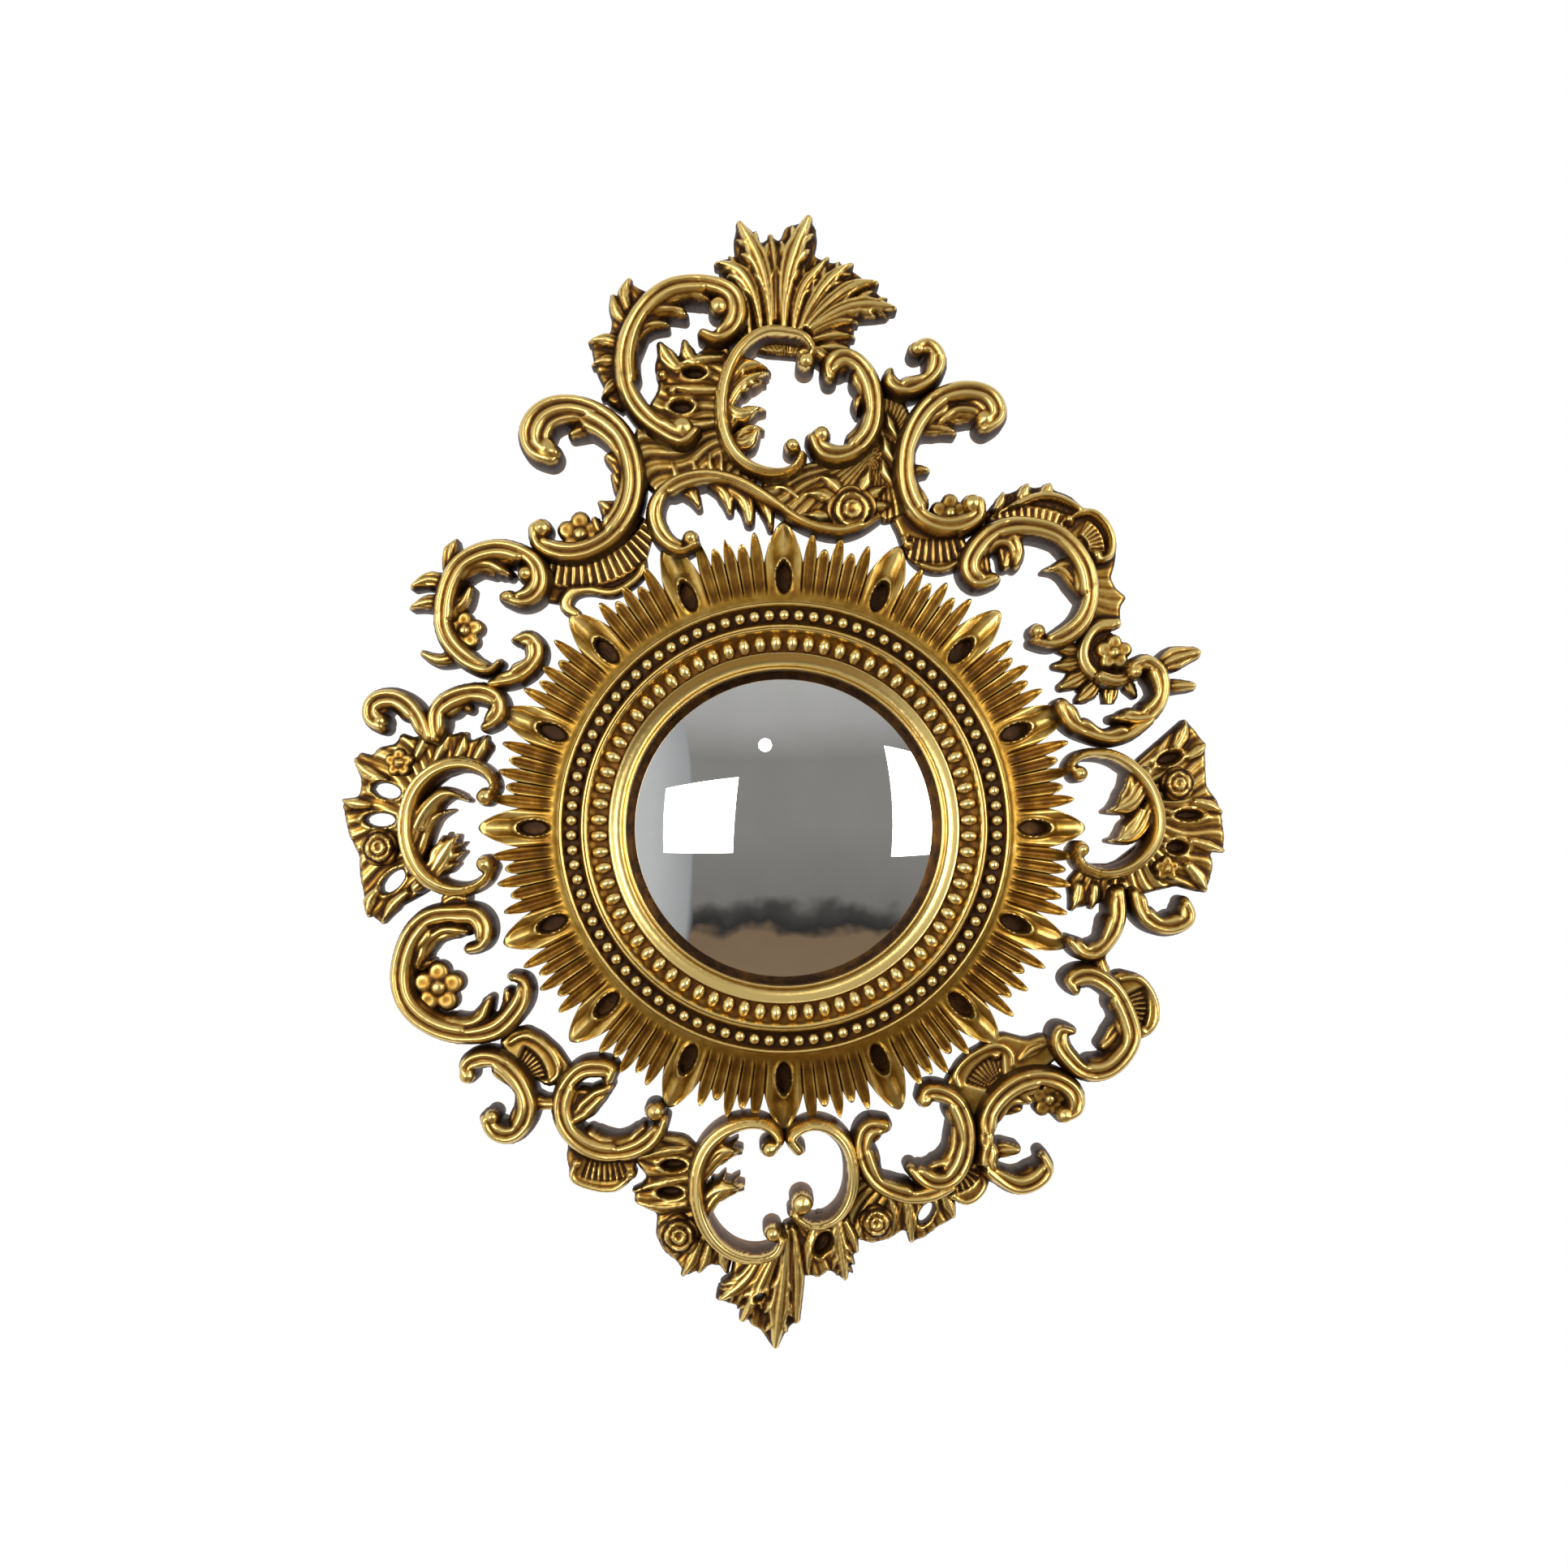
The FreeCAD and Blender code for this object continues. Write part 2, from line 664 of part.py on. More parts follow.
def carve(label, height, bands=(), eyes=(), leaves=(), ground=(), hollows=(), pierced=()):
    """One carved piece, trimmed to fit against the pieces already in place.

    bands are main scrolls (spine, widths) with a raised ridge; leaves are side leaves of the same
    form that stay low; eyes are the balls in the scrolls' curls (x, z, radius); ground is a list
    of flat outlines; pierced and hollows are ovals (x, z, length, width, angle) cut through the
    ground or sunk into it.
    """
    rise = size(height)
    shoulder = rise * (FLOOR_OF_CROWN if bands else 1.0)
    main = [Band(spine, widths) for spine, widths in bands]
    side = [Band(spine, widths, LEAF_COARSENESS) for spine, widths in leaves]
    faces = [merged(band.strips()) for band in main]
    faces += [flat_face(band.outline()) for band in side]
    faces += [flat_face(disc_corners(x, z, radius * EYE_FOOT)) for x, z, radius in eyes]
    faces += [flat_face([drawn(x, z) for x, z in outline]) for outline in ground]
    face = without_slivers(merged(faces))
    near = [placed for placed in PLACED_FACES if placed.BoundBox.intersect(face.BoundBox)]
    if near:
        face = main_faces(face.cut(near).removeSplitter())
    for x, z, long, wide, angle in pierced:
        face = face.cut(oval_face(x, z, long, wide, angle))
    face = main_faces(face)
    solid = face.extrude(Vector(0, -shoulder, 0))
    raised = []
    base = BACK + shoulder
    for band in main:
        inset = min(CROWN_INSET, min(band.half_widths) / 2)
        raised.append(faceted([
            band.outline(inset=inset, depth=base - ROOTED),
            band.outline(share=RIDGE_SHARE, depth=BACK + rise),
        ]))
    for x, z, radius in eyes:
        raised.append(faceted([
            disc_corners(x, z, radius, base - ROOTED),
            disc_corners(x, z, radius * EYE_CROWN, BACK + rise),
        ]))
    if not bands:
        for band in side:
            raised.append(faceted([
                band.outline(share=RIB_FOOT, depth=base - ROOTED),
                band.outline(share=RIB_RIDGE, depth=base + RIB_RISE * rise),
            ]))
    if raised:
        solid = solid.fuse(raised).removeSplitter()
    for x, z, long, wide, angle in hollows:
        sunk = oval_face(x, z, long, wide, angle).extrude(Vector(0, -2 * rise, 0))
        sunk.translate(Vector(0, -HOLLOW_FLOOR * rise, 0))
        solid = solid.cut(sunk)
    near = [placed for placed in PLACED_SOLIDS if placed.BoundBox.intersect(solid.BoundBox)]
    if near:
        solid = solid.cut(near)
    solid = main_solids(solid)
    PLACED_FACES.append(face)
    PLACED_SOLIDS.append(solid)
    solid_node(label, solid)


def oval_face(x, z, long, wide, angle):
    """A flat oval at the back of the frame, its length at an angle from +X."""
    return flat_face(oval_corners(drawn(x, z), long, wide, angle))


def build_crest():
    """The crest: plain C and S scrolls, the hooked scrolls beside them, and the leaf spray on top."""
    carve("crest_c_scroll", PLAIN,
          bands=[([(12, 284), (17, 289), (14, 297), (4, 301), (-8, 302), (-20, 297), (-30, 286),
                   (-36, 271), (-38, 256), (-36, 241), (-29, 227), (-18, 219), (-5, 216), (6, 219),
                   (11, 227)],
                  [6, 9, 10, 10, 10, 10, 9, 7])],
          eyes=[(13, 283, 5.5), (5, 232, 5)],
          leaves=[([(-32, 272), (-24, 282), (-8, 280)], [4, 9, 1]),
                  ([(-35, 258), (-27, 252), (-15, 255)], [5, 8, 1]),
                  ([(-32, 236), (-25, 234), (-15, 244)], [5, 8, 2])])
    carve("crest_s_scroll", LEAFY,
          bands=[([(28, 275), (28, 283), (36, 288), (46, 284), (54, 272), (56, 256), (53, 241),
                   (45, 231), (34, 226), (22, 229), (17, 238)],
                  [10, 12, 12, 12, 12, 11, 10, 8])],
          eyes=[(23, 240, 5.5)],
          leaves=[([(52, 265), (46, 262), (45, 253)], [5, 6, 1]),
                  ([(12, 291), (20, 291), (28, 285)], [8, 9, 8])])
    carve("crest_left_scroll", LEAFY,
          bands=[([(-49, 302), (-40, 299), (-31, 304), (-27, 315), (-31, 327), (-42, 332),
                   (-56, 333), (-70, 330), (-83, 321), (-93, 307), (-98, 290), (-97, 272),
                   (-92, 259), (-83, 248), (-72, 240), (-61, 236), (-54, 242)],
                  [8, 10, 11, 11, 12, 13, 13, 12, 12, 12, 12, 11, 10, 8])],
          eyes=[(-40, 318, 6), (-62, 244, 7)],
          leaves=[([(-90, 310), (-78, 317), (-61, 314)], [8, 10, 5]),
                  ([(-92, 296), (-84, 307), (-72, 308)], [6, 9, 4])],
          ground=[[(-98, 255), (-109, 262), (-110, 270), (-116, 282), (-119, 298), (-107, 304),
                   (-105, 320), (-101, 330), (-94, 336), (-83, 330), (-80, 310), (-92, 280)]])
    carve("crest_left_hook", LEAFY,
          bands=[([(-143, 228), (-151, 232), (-154, 242), (-147, 253), (-135, 257), (-120, 255),
                   (-107, 248), (-97, 236), (-92, 220), (-92, 203), (-98, 187), (-110, 174),
                   (-125, 167), (-140, 167), (-151, 174), (-153, 183)],
                  [16, 18, 18, 17, 16, 15, 15, 14, 13, 11, 9, 8])],
          eyes=[(-145, 231, 7), (-148, 183, 6)],
          leaves=[([(-108, 250), (-118, 246), (-129, 241)], [10, 11, 6]),
                  ([(-92, 212), (-100, 222), (-107, 227)], [8, 12, 6]),
                  ([(-92, 200), (-99, 208), (-104, 216)], [8, 10, 4]),
                  ([(-95, 186), (-104, 193), (-113, 200)], [8, 14, 3]),
                  ([(-104, 176), (-112, 181), (-116, 189)], [8, 9, 4])])
    carve("crest_right_hook", LEAFY,
          bands=[([(123, 246), (130, 252), (128, 261), (118, 267), (105, 267), (93, 262), (83, 252),
                   (76, 239), (73, 224), (74, 208), (79, 195), (88, 186), (100, 182), (112, 184),
                   (120, 191), (120, 199)],
                  [14, 14, 13, 13, 13, 12, 12, 12, 11, 10, 9, 8])],
          eyes=[(123, 249, 6), (115, 198, 6)],
          leaves=[([(95, 256), (104, 253), (114, 251)], [8, 12, 6]),
                  ([(80, 242), (91, 245), (104, 242)], [8, 10, 4]),
                  ([(76, 214), (82, 219), (87, 219)], [8, 9, 5])],
          ground=[[(66, 190), (70, 182), (73, 173), (82, 161), (94, 156), (106, 158), (114, 165),
                   (116, 172), (110, 180), (90, 186), (78, 198)]])
    carve("crest_right_curl", LEAFY,
          bands=[([(80, 292), (87, 296), (94, 291), (95, 282), (90, 274), (80, 268), (69, 267),
                   (63, 273), (65, 279)],
                  [8, 9, 10, 10, 10, 8, 6])],
          eyes=[(81, 292, 5)])
    carve("vine_scroll", LEAFY,
          bands=[([(-54, 173), (-63, 169), (-72, 173), (-79, 183), (-80, 195), (-73, 207),
                   (-61, 214), (-46, 216), (-31, 213), (-16, 206), (-3, 197), (9, 188), (22, 182),
                   (36, 180), (49, 184), (58, 190)],
                  [7, 8, 9, 9, 9, 9, 8, 7, 6, 5])],
          eyes=[(-57, 177, 5)],
          leaves=[([(-68, 205), (-60, 207), (-52, 197)], [5, 8, 4]),
                  ([(-44, 210), (-37, 206), (-33, 194)], [5, 8, 4]),
                  ([(-32, 206), (-24, 200), (-21, 188)], [5, 8, 5]),
                  ([(-18, 203), (-11, 196), (-8, 184)], [4, 7, 3])])
    carve("crest_spray", FLAT,
          leaves=[([(-14, 306), (-20, 333), (-37, 346)], [5, 8, 9]),
                  ([(-8, 306), (-12, 345), (-26, 366)], [6, 9, 12]),
                  ([(-1, 306), (-5, 340), (-7, 359)], [5, 7, 7]),
                  ([(3, 306), (4, 345), (14, 370)], [5, 8, 13]),
                  ([(8, 306), (14, 334), (31, 345)], [5, 8, 7]),
                  ([(12, 306), (27, 331), (50, 337)], [5, 9, 8]),
                  ([(14, 305), (34, 321), (64, 320)], [6, 9, 9]),
                  ([(18, 299), (30, 301), (41, 299)], [6, 9, 6])],
          ground=[[(-27, 299), (-30, 318), (-31, 335), (-38, 341), (-42, 347), (-39, 351),
                   (-30, 352), (-31, 362), (-29, 370), (-23, 372), (-18, 367), (-15, 361),
                   (-8, 364), (-2, 363), (1, 371), (8, 373), (15, 374.5), (20, 371), (21, 362),
                   (19, 353), (28, 349), (35, 349), (46, 342), (58, 331), (68, 319), (64, 314),
                   (57, 313), (43, 312), (44, 306), (41, 298), (41, 290), (28, 284), (10, 290),
                   (-14, 292)]])
    carve("crest_left_panel", FLAT,
          ground=[[(-34, 300), (-45, 299), (-50, 296), (-56, 291), (-62, 298), (-67, 287),
                   (-76, 299), (-80, 285), (-77, 272), (-85, 258), (-92, 246), (-93, 230),
                   (-86, 212), (-76, 203), (-60, 208), (-36, 208), (-18, 210), (-16, 218),
                   (-30, 232), (-35, 256), (-30, 285)]],
          hollows=[(-55, 281, 13, 6, 0), (-63, 260, 13, 7, 0)])
    carve("crest_right_panel", FLAT,
          ground=[[(-10, 218), (-16, 208), (-4, 199), (20, 184), (40, 182), (56, 190), (64, 188),
                   (76, 193), (74, 212), (76, 238), (80, 252), (76, 262), (64, 268), (54, 264),
                   (54, 240), (40, 228), (22, 228)]])


def build_left_side():
    """The scrolls, hooks, shell and leafy panel on the left."""
    carve("upper_left_scroll", LEAFY,
          bands=[([(-170, 141), (-161, 138), (-151, 142), (-147, 151), (-150, 162), (-160, 169),
                   (-173, 172), (-187, 169), (-199, 161), (-206, 148), (-209, 132), (-207, 117),
                   (-200, 106), (-190, 98), (-180, 96), (-174, 101)],
                  [9, 11, 10, 10, 11, 12, 12, 12, 12, 10, 8, 6])],
          eyes=[(-168, 141, 4.5), (-158, 155, 5)],
          leaves=[([(-200, 158), (-190, 160), (-178, 156)], [7, 9, 5]),
                  ([(-205, 160), (-204, 168), (-201, 177)], [9, 10, 2]),
                  ([(-205, 149), (-217, 152), (-227, 148)], [9, 10, 4]),
                  ([(-207, 138), (-219, 138), (-228, 135)], [8, 8, 3]),
                  ([(-203, 104), (-212, 103), (-221, 107)], [9, 8, 4]),
                  ([(-204, 132), (-196, 138), (-192, 146)], [7, 9, 5])])
    carve("upper_left_leaf_hook", LEAFY,
          bands=[([(-178, 88), (-163, 92), (-153, 100), (-150, 110), (-156, 117), (-164, 115)],
                  [8, 10, 11, 11, 10, 6])])
    carve("left_upper_hook", LEAFY,
          bands=[([(-246, 62), (-252, 67), (-251, 76), (-242, 80), (-231, 77), (-223, 69),
                   (-217, 56)],
                  [10, 12, 13, 13, 12, 11, 10])],
          eyes=[(-246, 65, 5)])
    carve("left_upper_arch", LEAFY,
          bands=[([(-213, 55), (-213, 71), (-205, 79), (-194, 83), (-183, 84), (-175, 81),
                   (-172, 73), (-176, 65), (-182, 62)],
                  [9, 10, 12, 12, 11, 9, 9, 8])],
          leaves=[([(-208, 70), (-200, 76), (-193, 73)], [8, 9, 6])])
    carve("left_c_scroll", PLAIN,
          bands=[([(-182, 20), (-177, 24), (-179, 31), (-187, 37), (-199, 39), (-212, 35),
                   (-223, 25), (-229, 11), (-230, -4), (-226, -19), (-217, -31), (-205, -37),
                   (-192, -37), (-182, -31), (-178, -24)],
                  [6, 9, 11, 12, 12, 12, 11, 9, 7])],
          eyes=[(-182, 19, 5.5), (-182, -22, 5.5)],
          leaves=[([(-220, 0), (-215, 14), (-202, 20)], [6, 10, 3]),
                  ([(-216, -30), (-211, -20), (-201, -5)], [6, 14, 2]),
                  ([(-218, 12), (-209, 21), (-196, 20)], [5, 7, 2])])
    carve("left_panel", FLAT,
          ground=[[(-240, 52), (-236, 59), (-228, 56), (-218, 61), (-207, 57), (-198, 60),
                   (-193, 54), (-184, 58), (-178, 50), (-186, 38), (-210, 30), (-225, 8),
                   (-224, -18), (-212, -34), (-222, -41), (-235, -48), (-243, -53), (-247, -60),
                   (-254, -55), (-258, -48), (-262, -30), (-262, -18), (-269, -4), (-273, 16),
                   (-262, 20), (-261, 30), (-265, 40), (-262, 47), (-254, 45), (-250, 50)]],
          pierced=[(-245, 23, 17, 9, -12), (-249, 5, 18, 8, 0), (-241, -33, 18, 9, 45)])
    shell_foot = [(-128, 132), (-134, 137), (-131, 144), (-120, 147), (-106, 145), (-95, 150), (-87, 159), (-87, 167)]
    carve("upper_left_shell", FLAT,
          bands=[(shell_foot, [7, 9, 8, 6, 6, 6, 6, 5])],
          ground=[[(-150, 158), (-148, 140), (-136, 138), (-120, 146), (-106, 144), (-94, 150),
                   (-86, 162), (-82, 176), (-80, 186), (-88, 194), (-96, 190), (-108, 176),
                   (-124, 168), (-138, 168)]])


def build_lower_left():
    """The flower scroll, the small C scroll, the inner scroll and their shells at the lower left."""
    carve("lower_left_scroll", LEAFY,
          bands=[([(-192, -74), (-185, -72), (-181, -62), (-187, -52), (-200, -51), (-215, -53),
                   (-226, -62), (-233, -77), (-235, -94), (-230, -109), (-218, -120), (-204, -126),
                   (-189, -127), (-175, -124), (-164, -115), (-157, -103), (-159, -93),
                   (-166, -91)],
                  [8, 10, 11, 12, 13, 13, 13, 13, 12, 12, 11, 9, 7])],
          leaves=[([(-222, -66), (-212, -60), (-202, -63)], [7, 9, 6]),
                  ([(-190, -122), (-184, -116), (-182, -107)], [7, 9, 6]),
                  ([(-174, -118), (-169, -110), (-169, -101)], [7, 9, 6]),
                  ([(-205, -44), (-200, -42), (-196, -43)], [8, 8, 6])])
    carve("base_left_scroll", LEAFY,
          bands=[([(-107, -153), (-105, -147), (-113, -144), (-124, -146), (-132, -154),
                   (-137, -167), (-135, -180), (-127, -191), (-114, -198), (-100, -199),
                   (-87, -196), (-77, -188), (-73, -178)],
                  [9, 9, 10, 11, 12, 12, 12, 11, 9, 8])],
          eyes=[(-79, -173, 6)],
          leaves=[([(-131, -172), (-124, -166), (-118, -166)], [9, 13, 12])],
          ground=[[(-132, -190), (-134, -203), (-131, -216), (-118, -223), (-100, -223),
                   (-92, -216), (-90, -200), (-110, -192)]])
    carve("lower_left_small_scroll", LEAFY,
          bands=[([(-195, -150), (-195, -144), (-187, -139), (-176, -140), (-166, -147),
                   (-158, -159), (-155, -171), (-159, -183), (-168, -189), (-178, -186),
                   (-182, -178)],
                  [7, 9, 11, 12, 12, 11, 10, 9])],
          eyes=[(-193, -151, 5.5), (-178, -176, 5)],
          leaves=[([(-152, -168), (-146, -169), (-142, -169)], [10, 8, 8])])
    carve("lower_left_shell", FLAT,
          ground=[[(-176, -132), (-168, -124), (-158, -122), (-148, -127), (-138, -136),
                   (-130, -148), (-136, -158), (-146, -160), (-158, -152), (-168, -144)]])


def build_base():
    """The base: two plain scrolls below the glass, the pendant leaf and the leafy panels beside it."""
    carve("base_c_scroll", PLAIN,
          bands=[([(-8, -196), (-3, -191), (-7, -184), (-16, -180), (-28, -181), (-40, -187),
                   (-49, -198), (-53, -211), (-53, -225), (-49, -240), (-41, -252), (-29, -260),
                   (-16, -262), (-5, -258), (-1, -250)],
                  [7, 9, 11, 11, 11, 11, 10, 9, 8])],
          eyes=[(-9, -195, 5.5), (-7, -246, 5.5)],
          leaves=[([(-46, -204), (-40, -197), (-27, -197)], [6, 9, 2]),
                  ([(-48, -226), (-39, -220), (-26, -219)], [6, 9, 3])])
    carve("base_s_scroll", PLAIN,
          bands=[([(9, -196), (5, -189), (11, -183), (21, -181), (31, -185), (39, -195), (42, -208),
                   (41, -222), (35, -234), (25, -241), (14, -241), (6, -235)],
                  [9, 9, 10, 10, 10, 9, 8, 8])],
          eyes=[(11, -228, 7)])
    carve("base_right_leaf_scroll", LEAFY,
          bands=[([(61, -182), (52, -182), (47, -191), (48, -203), (54, -215), (66, -223),
                   (80, -226), (92, -225), (103, -219)],
                  [11, 12, 11, 10, 10, 10, 8, 7])])
    carve("base_right_scroll", LEAFY,
          bands=[([(84, -166), (86, -160), (97, -160), (107, -168), (112, -182), (112, -197),
                   (107, -210), (98, -217), (87, -216), (78, -208)],
                  [6, 9, 11, 12, 12, 12, 11, 9])],
          eyes=[(86, -166, 5)])
    carve("base_pendant", FLAT,
          leaves=[([(-16, -262), (-24, -278), (-36, -288)], [10, 11, 7]),
                  ([(-6, -262), (-12, -290), (-22, -301)], [8, 12, 7]),
                  ([(2, -246), (0, -280), (-3, -300), (-5, -316)], [6, 9, 13, 5]),
                  ([(6, -252), (8, -280), (8, -298)], [6, 9, 6])],
          ground=[[(-30, -260), (-33, -278), (-41, -285), (-42, -291), (-35, -293), (-28, -295),
                   (-22, -303), (-20, -307), (-14, -310), (-8, -319), (-3, -320), (2, -310),
                   (8, -304), (11, -297), (12, -285), (11, -275), (16, -276), (22, -278),
                   (28, -273), (38, -279), (39, -266), (44, -262), (46, -254), (40, -240),
                   (28, -236), (10, -240), (0, -244), (-4, -256)]],
          pierced=[(-15, -288, 6, 3, 30)],
          hollows=[(24, -256, 15, 9, 60)])
    carve("base_left_panel", FLAT,
          ground=[[(-90, -192), (-76, -188), (-60, -190), (-50, -200), (-49, -225), (-46, -244),
                   (-36, -254), (-30, -262), (-34, -275), (-38, -271), (-45, -270), (-52, -273),
                   (-60, -277), (-66, -268), (-74, -262), (-79, -252), (-78, -238), (-92, -232),
                   (-92, -225), (-84, -216), (-92, -206), (-95, -198)]],
          hollows=[(-68, -208, 14, 6, 0), (-70, -225, 14, 6, 0)])
    carve("base_right_panel", FLAT,
          ground=[[(38, -218), (46, -206), (56, -214), (70, -222), (92, -222), (104, -216),
                   (106, -230), (106, -238), (103, -243), (95, -247), (88, -253), (79, -256),
                   (79, -250), (73, -249), (66, -254), (55, -257), (44, -254), (38, -240)]],
          pierced=[(88, -238, 14, 7, 60)])


def build_lower_right():
    """The two flower scrolls and the shells at the lower right."""
    carve("lower_right_flower_scroll", LEAFY,
          bands=[([(171, -177), (179, -173), (180, -163), (171, -154), (155, -151), (140, -156),
                   (128, -167), (123, -181), (124, -194), (122, -204), (130, -213), (142, -219),
                   (153, -217), (161, -208), (158, -200)],
                  [7, 9, 10, 11, 12, 12, 12, 11, 9, 10, 12, 11, 8])],
          eyes=[(171, -175, 5.5)],
          leaves=[([(130, -166), (137, -170), (144, -172)], [9, 12, 5]),
                  ([(126, -197), (133, -197), (142, -197)], [8, 10, 7])],
          ground=[[(108, -204), (118, -200), (126, -206), (125, -220), (120, -229), (110, -231),
                   (101, -229), (99, -220)]])
    carve("lower_right_scroll", LEAFY,
          bands=[([(178, -99), (174, -93), (182, -88), (194, -91), (204, -101), (210, -114),
                   (213, -127), (207, -141), (195, -150), (182, -149), (172, -141), (166, -131),
                   (168, -123), (176, -124)],
                  [8, 10, 11, 12, 13, 13, 12, 11, 11, 10, 9, 7])],
          leaves=[([(206, -118), (202, -127), (196, -133)], [9, 11, 7])])
    carve("lower_right_outer_shell", FLAT,
          ground=[[(196, -92), (208, -87), (220, -90), (230, -103), (233, -117), (228, -127),
                   (220, -131), (208, -130), (200, -112)]])
    carve("lower_right_inner_shell", FLAT,
          ground=[[(98, -160), (103, -150), (112, -143), (123, -132), (135, -126), (150, -130),
                   (160, -127), (169, -130), (170, -142), (158, -152), (140, -156), (124, -174),
                   (112, -184), (106, -170)]])


def build_right_side():
    """The scrolls, hooks, shell and leafy panel on the right."""
    carve("right_c_scroll", PLAIN,
          bands=[([(180, 33), (175, 36), (178, 42), (187, 45), (199, 44), (212, 37), (221, 27),
                   (227, 13), (228, -1), (223, -13), (214, -22), (203, -27), (191, -27), (181, -21),
                   (178, -14)],
                  [6, 8, 10, 10, 10, 10, 9, 7])],
          eyes=[(180, 33, 5), (181, -13, 5)],
          leaves=[([(212, 32), (211, 20), (200, 11)], [7, 12, 3]),
                  ([(218, 10), (213, 0), (202, -8)], [6, 11, 2])])
    carve("upper_right_scroll", LEAFY,
          bands=[([(128, 152), (118, 150), (112, 158), (115, 169), (124, 179), (137, 185),
                   (152, 185), (166, 181), (178, 171), (186, 157), (188, 142), (184, 127),
                   (175, 117), (163, 112), (153, 114)],
                  [10, 12, 12, 12, 12, 12, 12, 12, 11, 10, 9, 7])],
          eyes=[(155, 120, 5)],
          leaves=[([(134, 178), (137, 170), (136, 161)], [10, 12, 7]),
                  ([(182, 154), (174, 161), (162, 158)], [5, 7, 2])])
    carve("right_upper_scroll", LEAFY,
          bands=[([(212, 99), (221, 103), (229, 97), (232, 87), (230, 77), (223, 68), (212, 66),
                   (202, 67)],
                  [6, 8, 10, 10, 10, 9, 8, 6])],
          eyes=[(214, 95, 5)],
          leaves=[([(228, 98), (240, 104), (252, 107)], [8, 14, 8]),
                  ([(230, 86), (240, 87), (250, 87)], [8, 9, 6]),
                  ([(214, 94), (205, 90), (195, 92)], [6, 9, 9])])
    carve("right_upper_arch", LEAFY,
          bands=[([(170, 74), (175, 64), (187, 57), (200, 54), (212, 57), (224, 66)],
                  [12, 10, 9, 9, 8, 7])])
    carve("upper_right_shell", FLAT,
          bands=[([(205, 126), (193, 124), (186, 115), (185, 104), (191, 95)], [7, 8, 8, 8, 7])],
          ground=[[(118, 186), (124, 194), (130, 201), (136, 206), (150, 211), (163, 211),
                   (178, 206), (186, 198), (198, 191), (206, 178), (206, 165), (203, 155),
                   (206, 149), (213, 143), (209, 137), (209, 127), (192, 122), (182, 125),
                   (180, 160), (160, 180), (140, 180)]])
    carve("right_panel", FLAT,
          ground=[[(218, 42), (232, 54), (240, 61), (248, 68), (255, 60), (261, 52), (261, 42),
                   (262, 25), (268, 18), (271, 8), (273, -5), (272, -14), (264, -15), (266, -22),
                   (264, -33), (258, -40), (250, -38), (243, -36), (226, -40), (215, -44),
                   (207, -41), (198, -46), (190, -48), (178, -50), (175, -33), (184, -22),
                   (204, -22), (222, -8), (224, 12), (214, 34)]],
          hollows=[(238, 43, 14, 7, 20), (250, 8, 15, 6, 0), (243, -12, 12, 8, 0)])
    carve("right_lower_stem", LEAFY,
          bands=[([(204, -40), (204, -56), (199, -68), (190, -77), (181, -76), (175, -69)],
                  [11, 12, 12, 10, 9, 8])],
          leaves=[([(194, -74), (194, -82), (196, -88)], [8, 8, 9])])
    carve("right_lower_hook", LEAFY,
          bands=[([(214, -40), (219, -54), (228, -60), (239, -60), (247, -54), (245, -46)],
                  [9, 10, 11, 12, 12, 9])])


# ---------------------------------------------------------------- flowers

ROSES = ((42, 195, 16), (-248, -12, 12), (242, 27, 11), (-64, -250, 13), (57, -242, 11))
FLORETS = ((-236, 40, 9), (235, -25, 8))
CORNER_FLORETS = ((-125, 180, 14), (-196, 121, 12), (102, 193, 12), (-212, -98, 16), (163, -166, 12))


def petal_ring(x, z, radius, depth, petals=5):
    """The corners of a round flower with notched petals."""
    centre = drawn(x, z)
    corners = []
    for step in range(2 * petals):
        reach = radius if step % 2 == 0 else radius * 0.74
        turn = math.pi * step / petals + math.pi / 2
        corners.append(Vector(centre.x + reach * math.cos(turn), -depth, centre.z + reach * math.sin(turn)))
    return corners


def flower(x, z, radius, base, top):
    """A flower that swells from its ground to a narrow heart."""
    return faceted([
        petal_ring(x, z, radius, base),
        petal_ring(x, z, radius * 0.92, base + 0.55 * (top - base)),
        petal_ring(x, z, radius * 0.35, top),
    ])


def build_flowers():
    """Roses and florets on the panels, and florets that fill the corners of the scrolls."""
    ground = BACK + size("panel_height")
    heart = ground + size("flower_height")
    roses = [flower(x, z, radius, ground, heart) for x, z, radius in ROSES]
    florets = [flower(x, z, radius, ground, heart - 2) for x, z, radius in FLORETS]
    corner_florets = [flower(x, z, radius, BACK, heart - 2) for x, z, radius in CORNER_FLORETS]
    for label, blooms in (("roses", roses), ("panel_florets", florets), ("corner_florets", corner_florets)):
        trimmed = []
        for bloom in blooms:
            near = [placed for placed in PLACED_SOLIDS if placed.BoundBox.intersect(bloom.BoundBox)]
            trimmed.append(main_solids(bloom.cut(near)) if near else bloom)
        solid_node(label, Part.makeCompound(trimmed))


# ---------------------------------------------------------------- back of the mirror

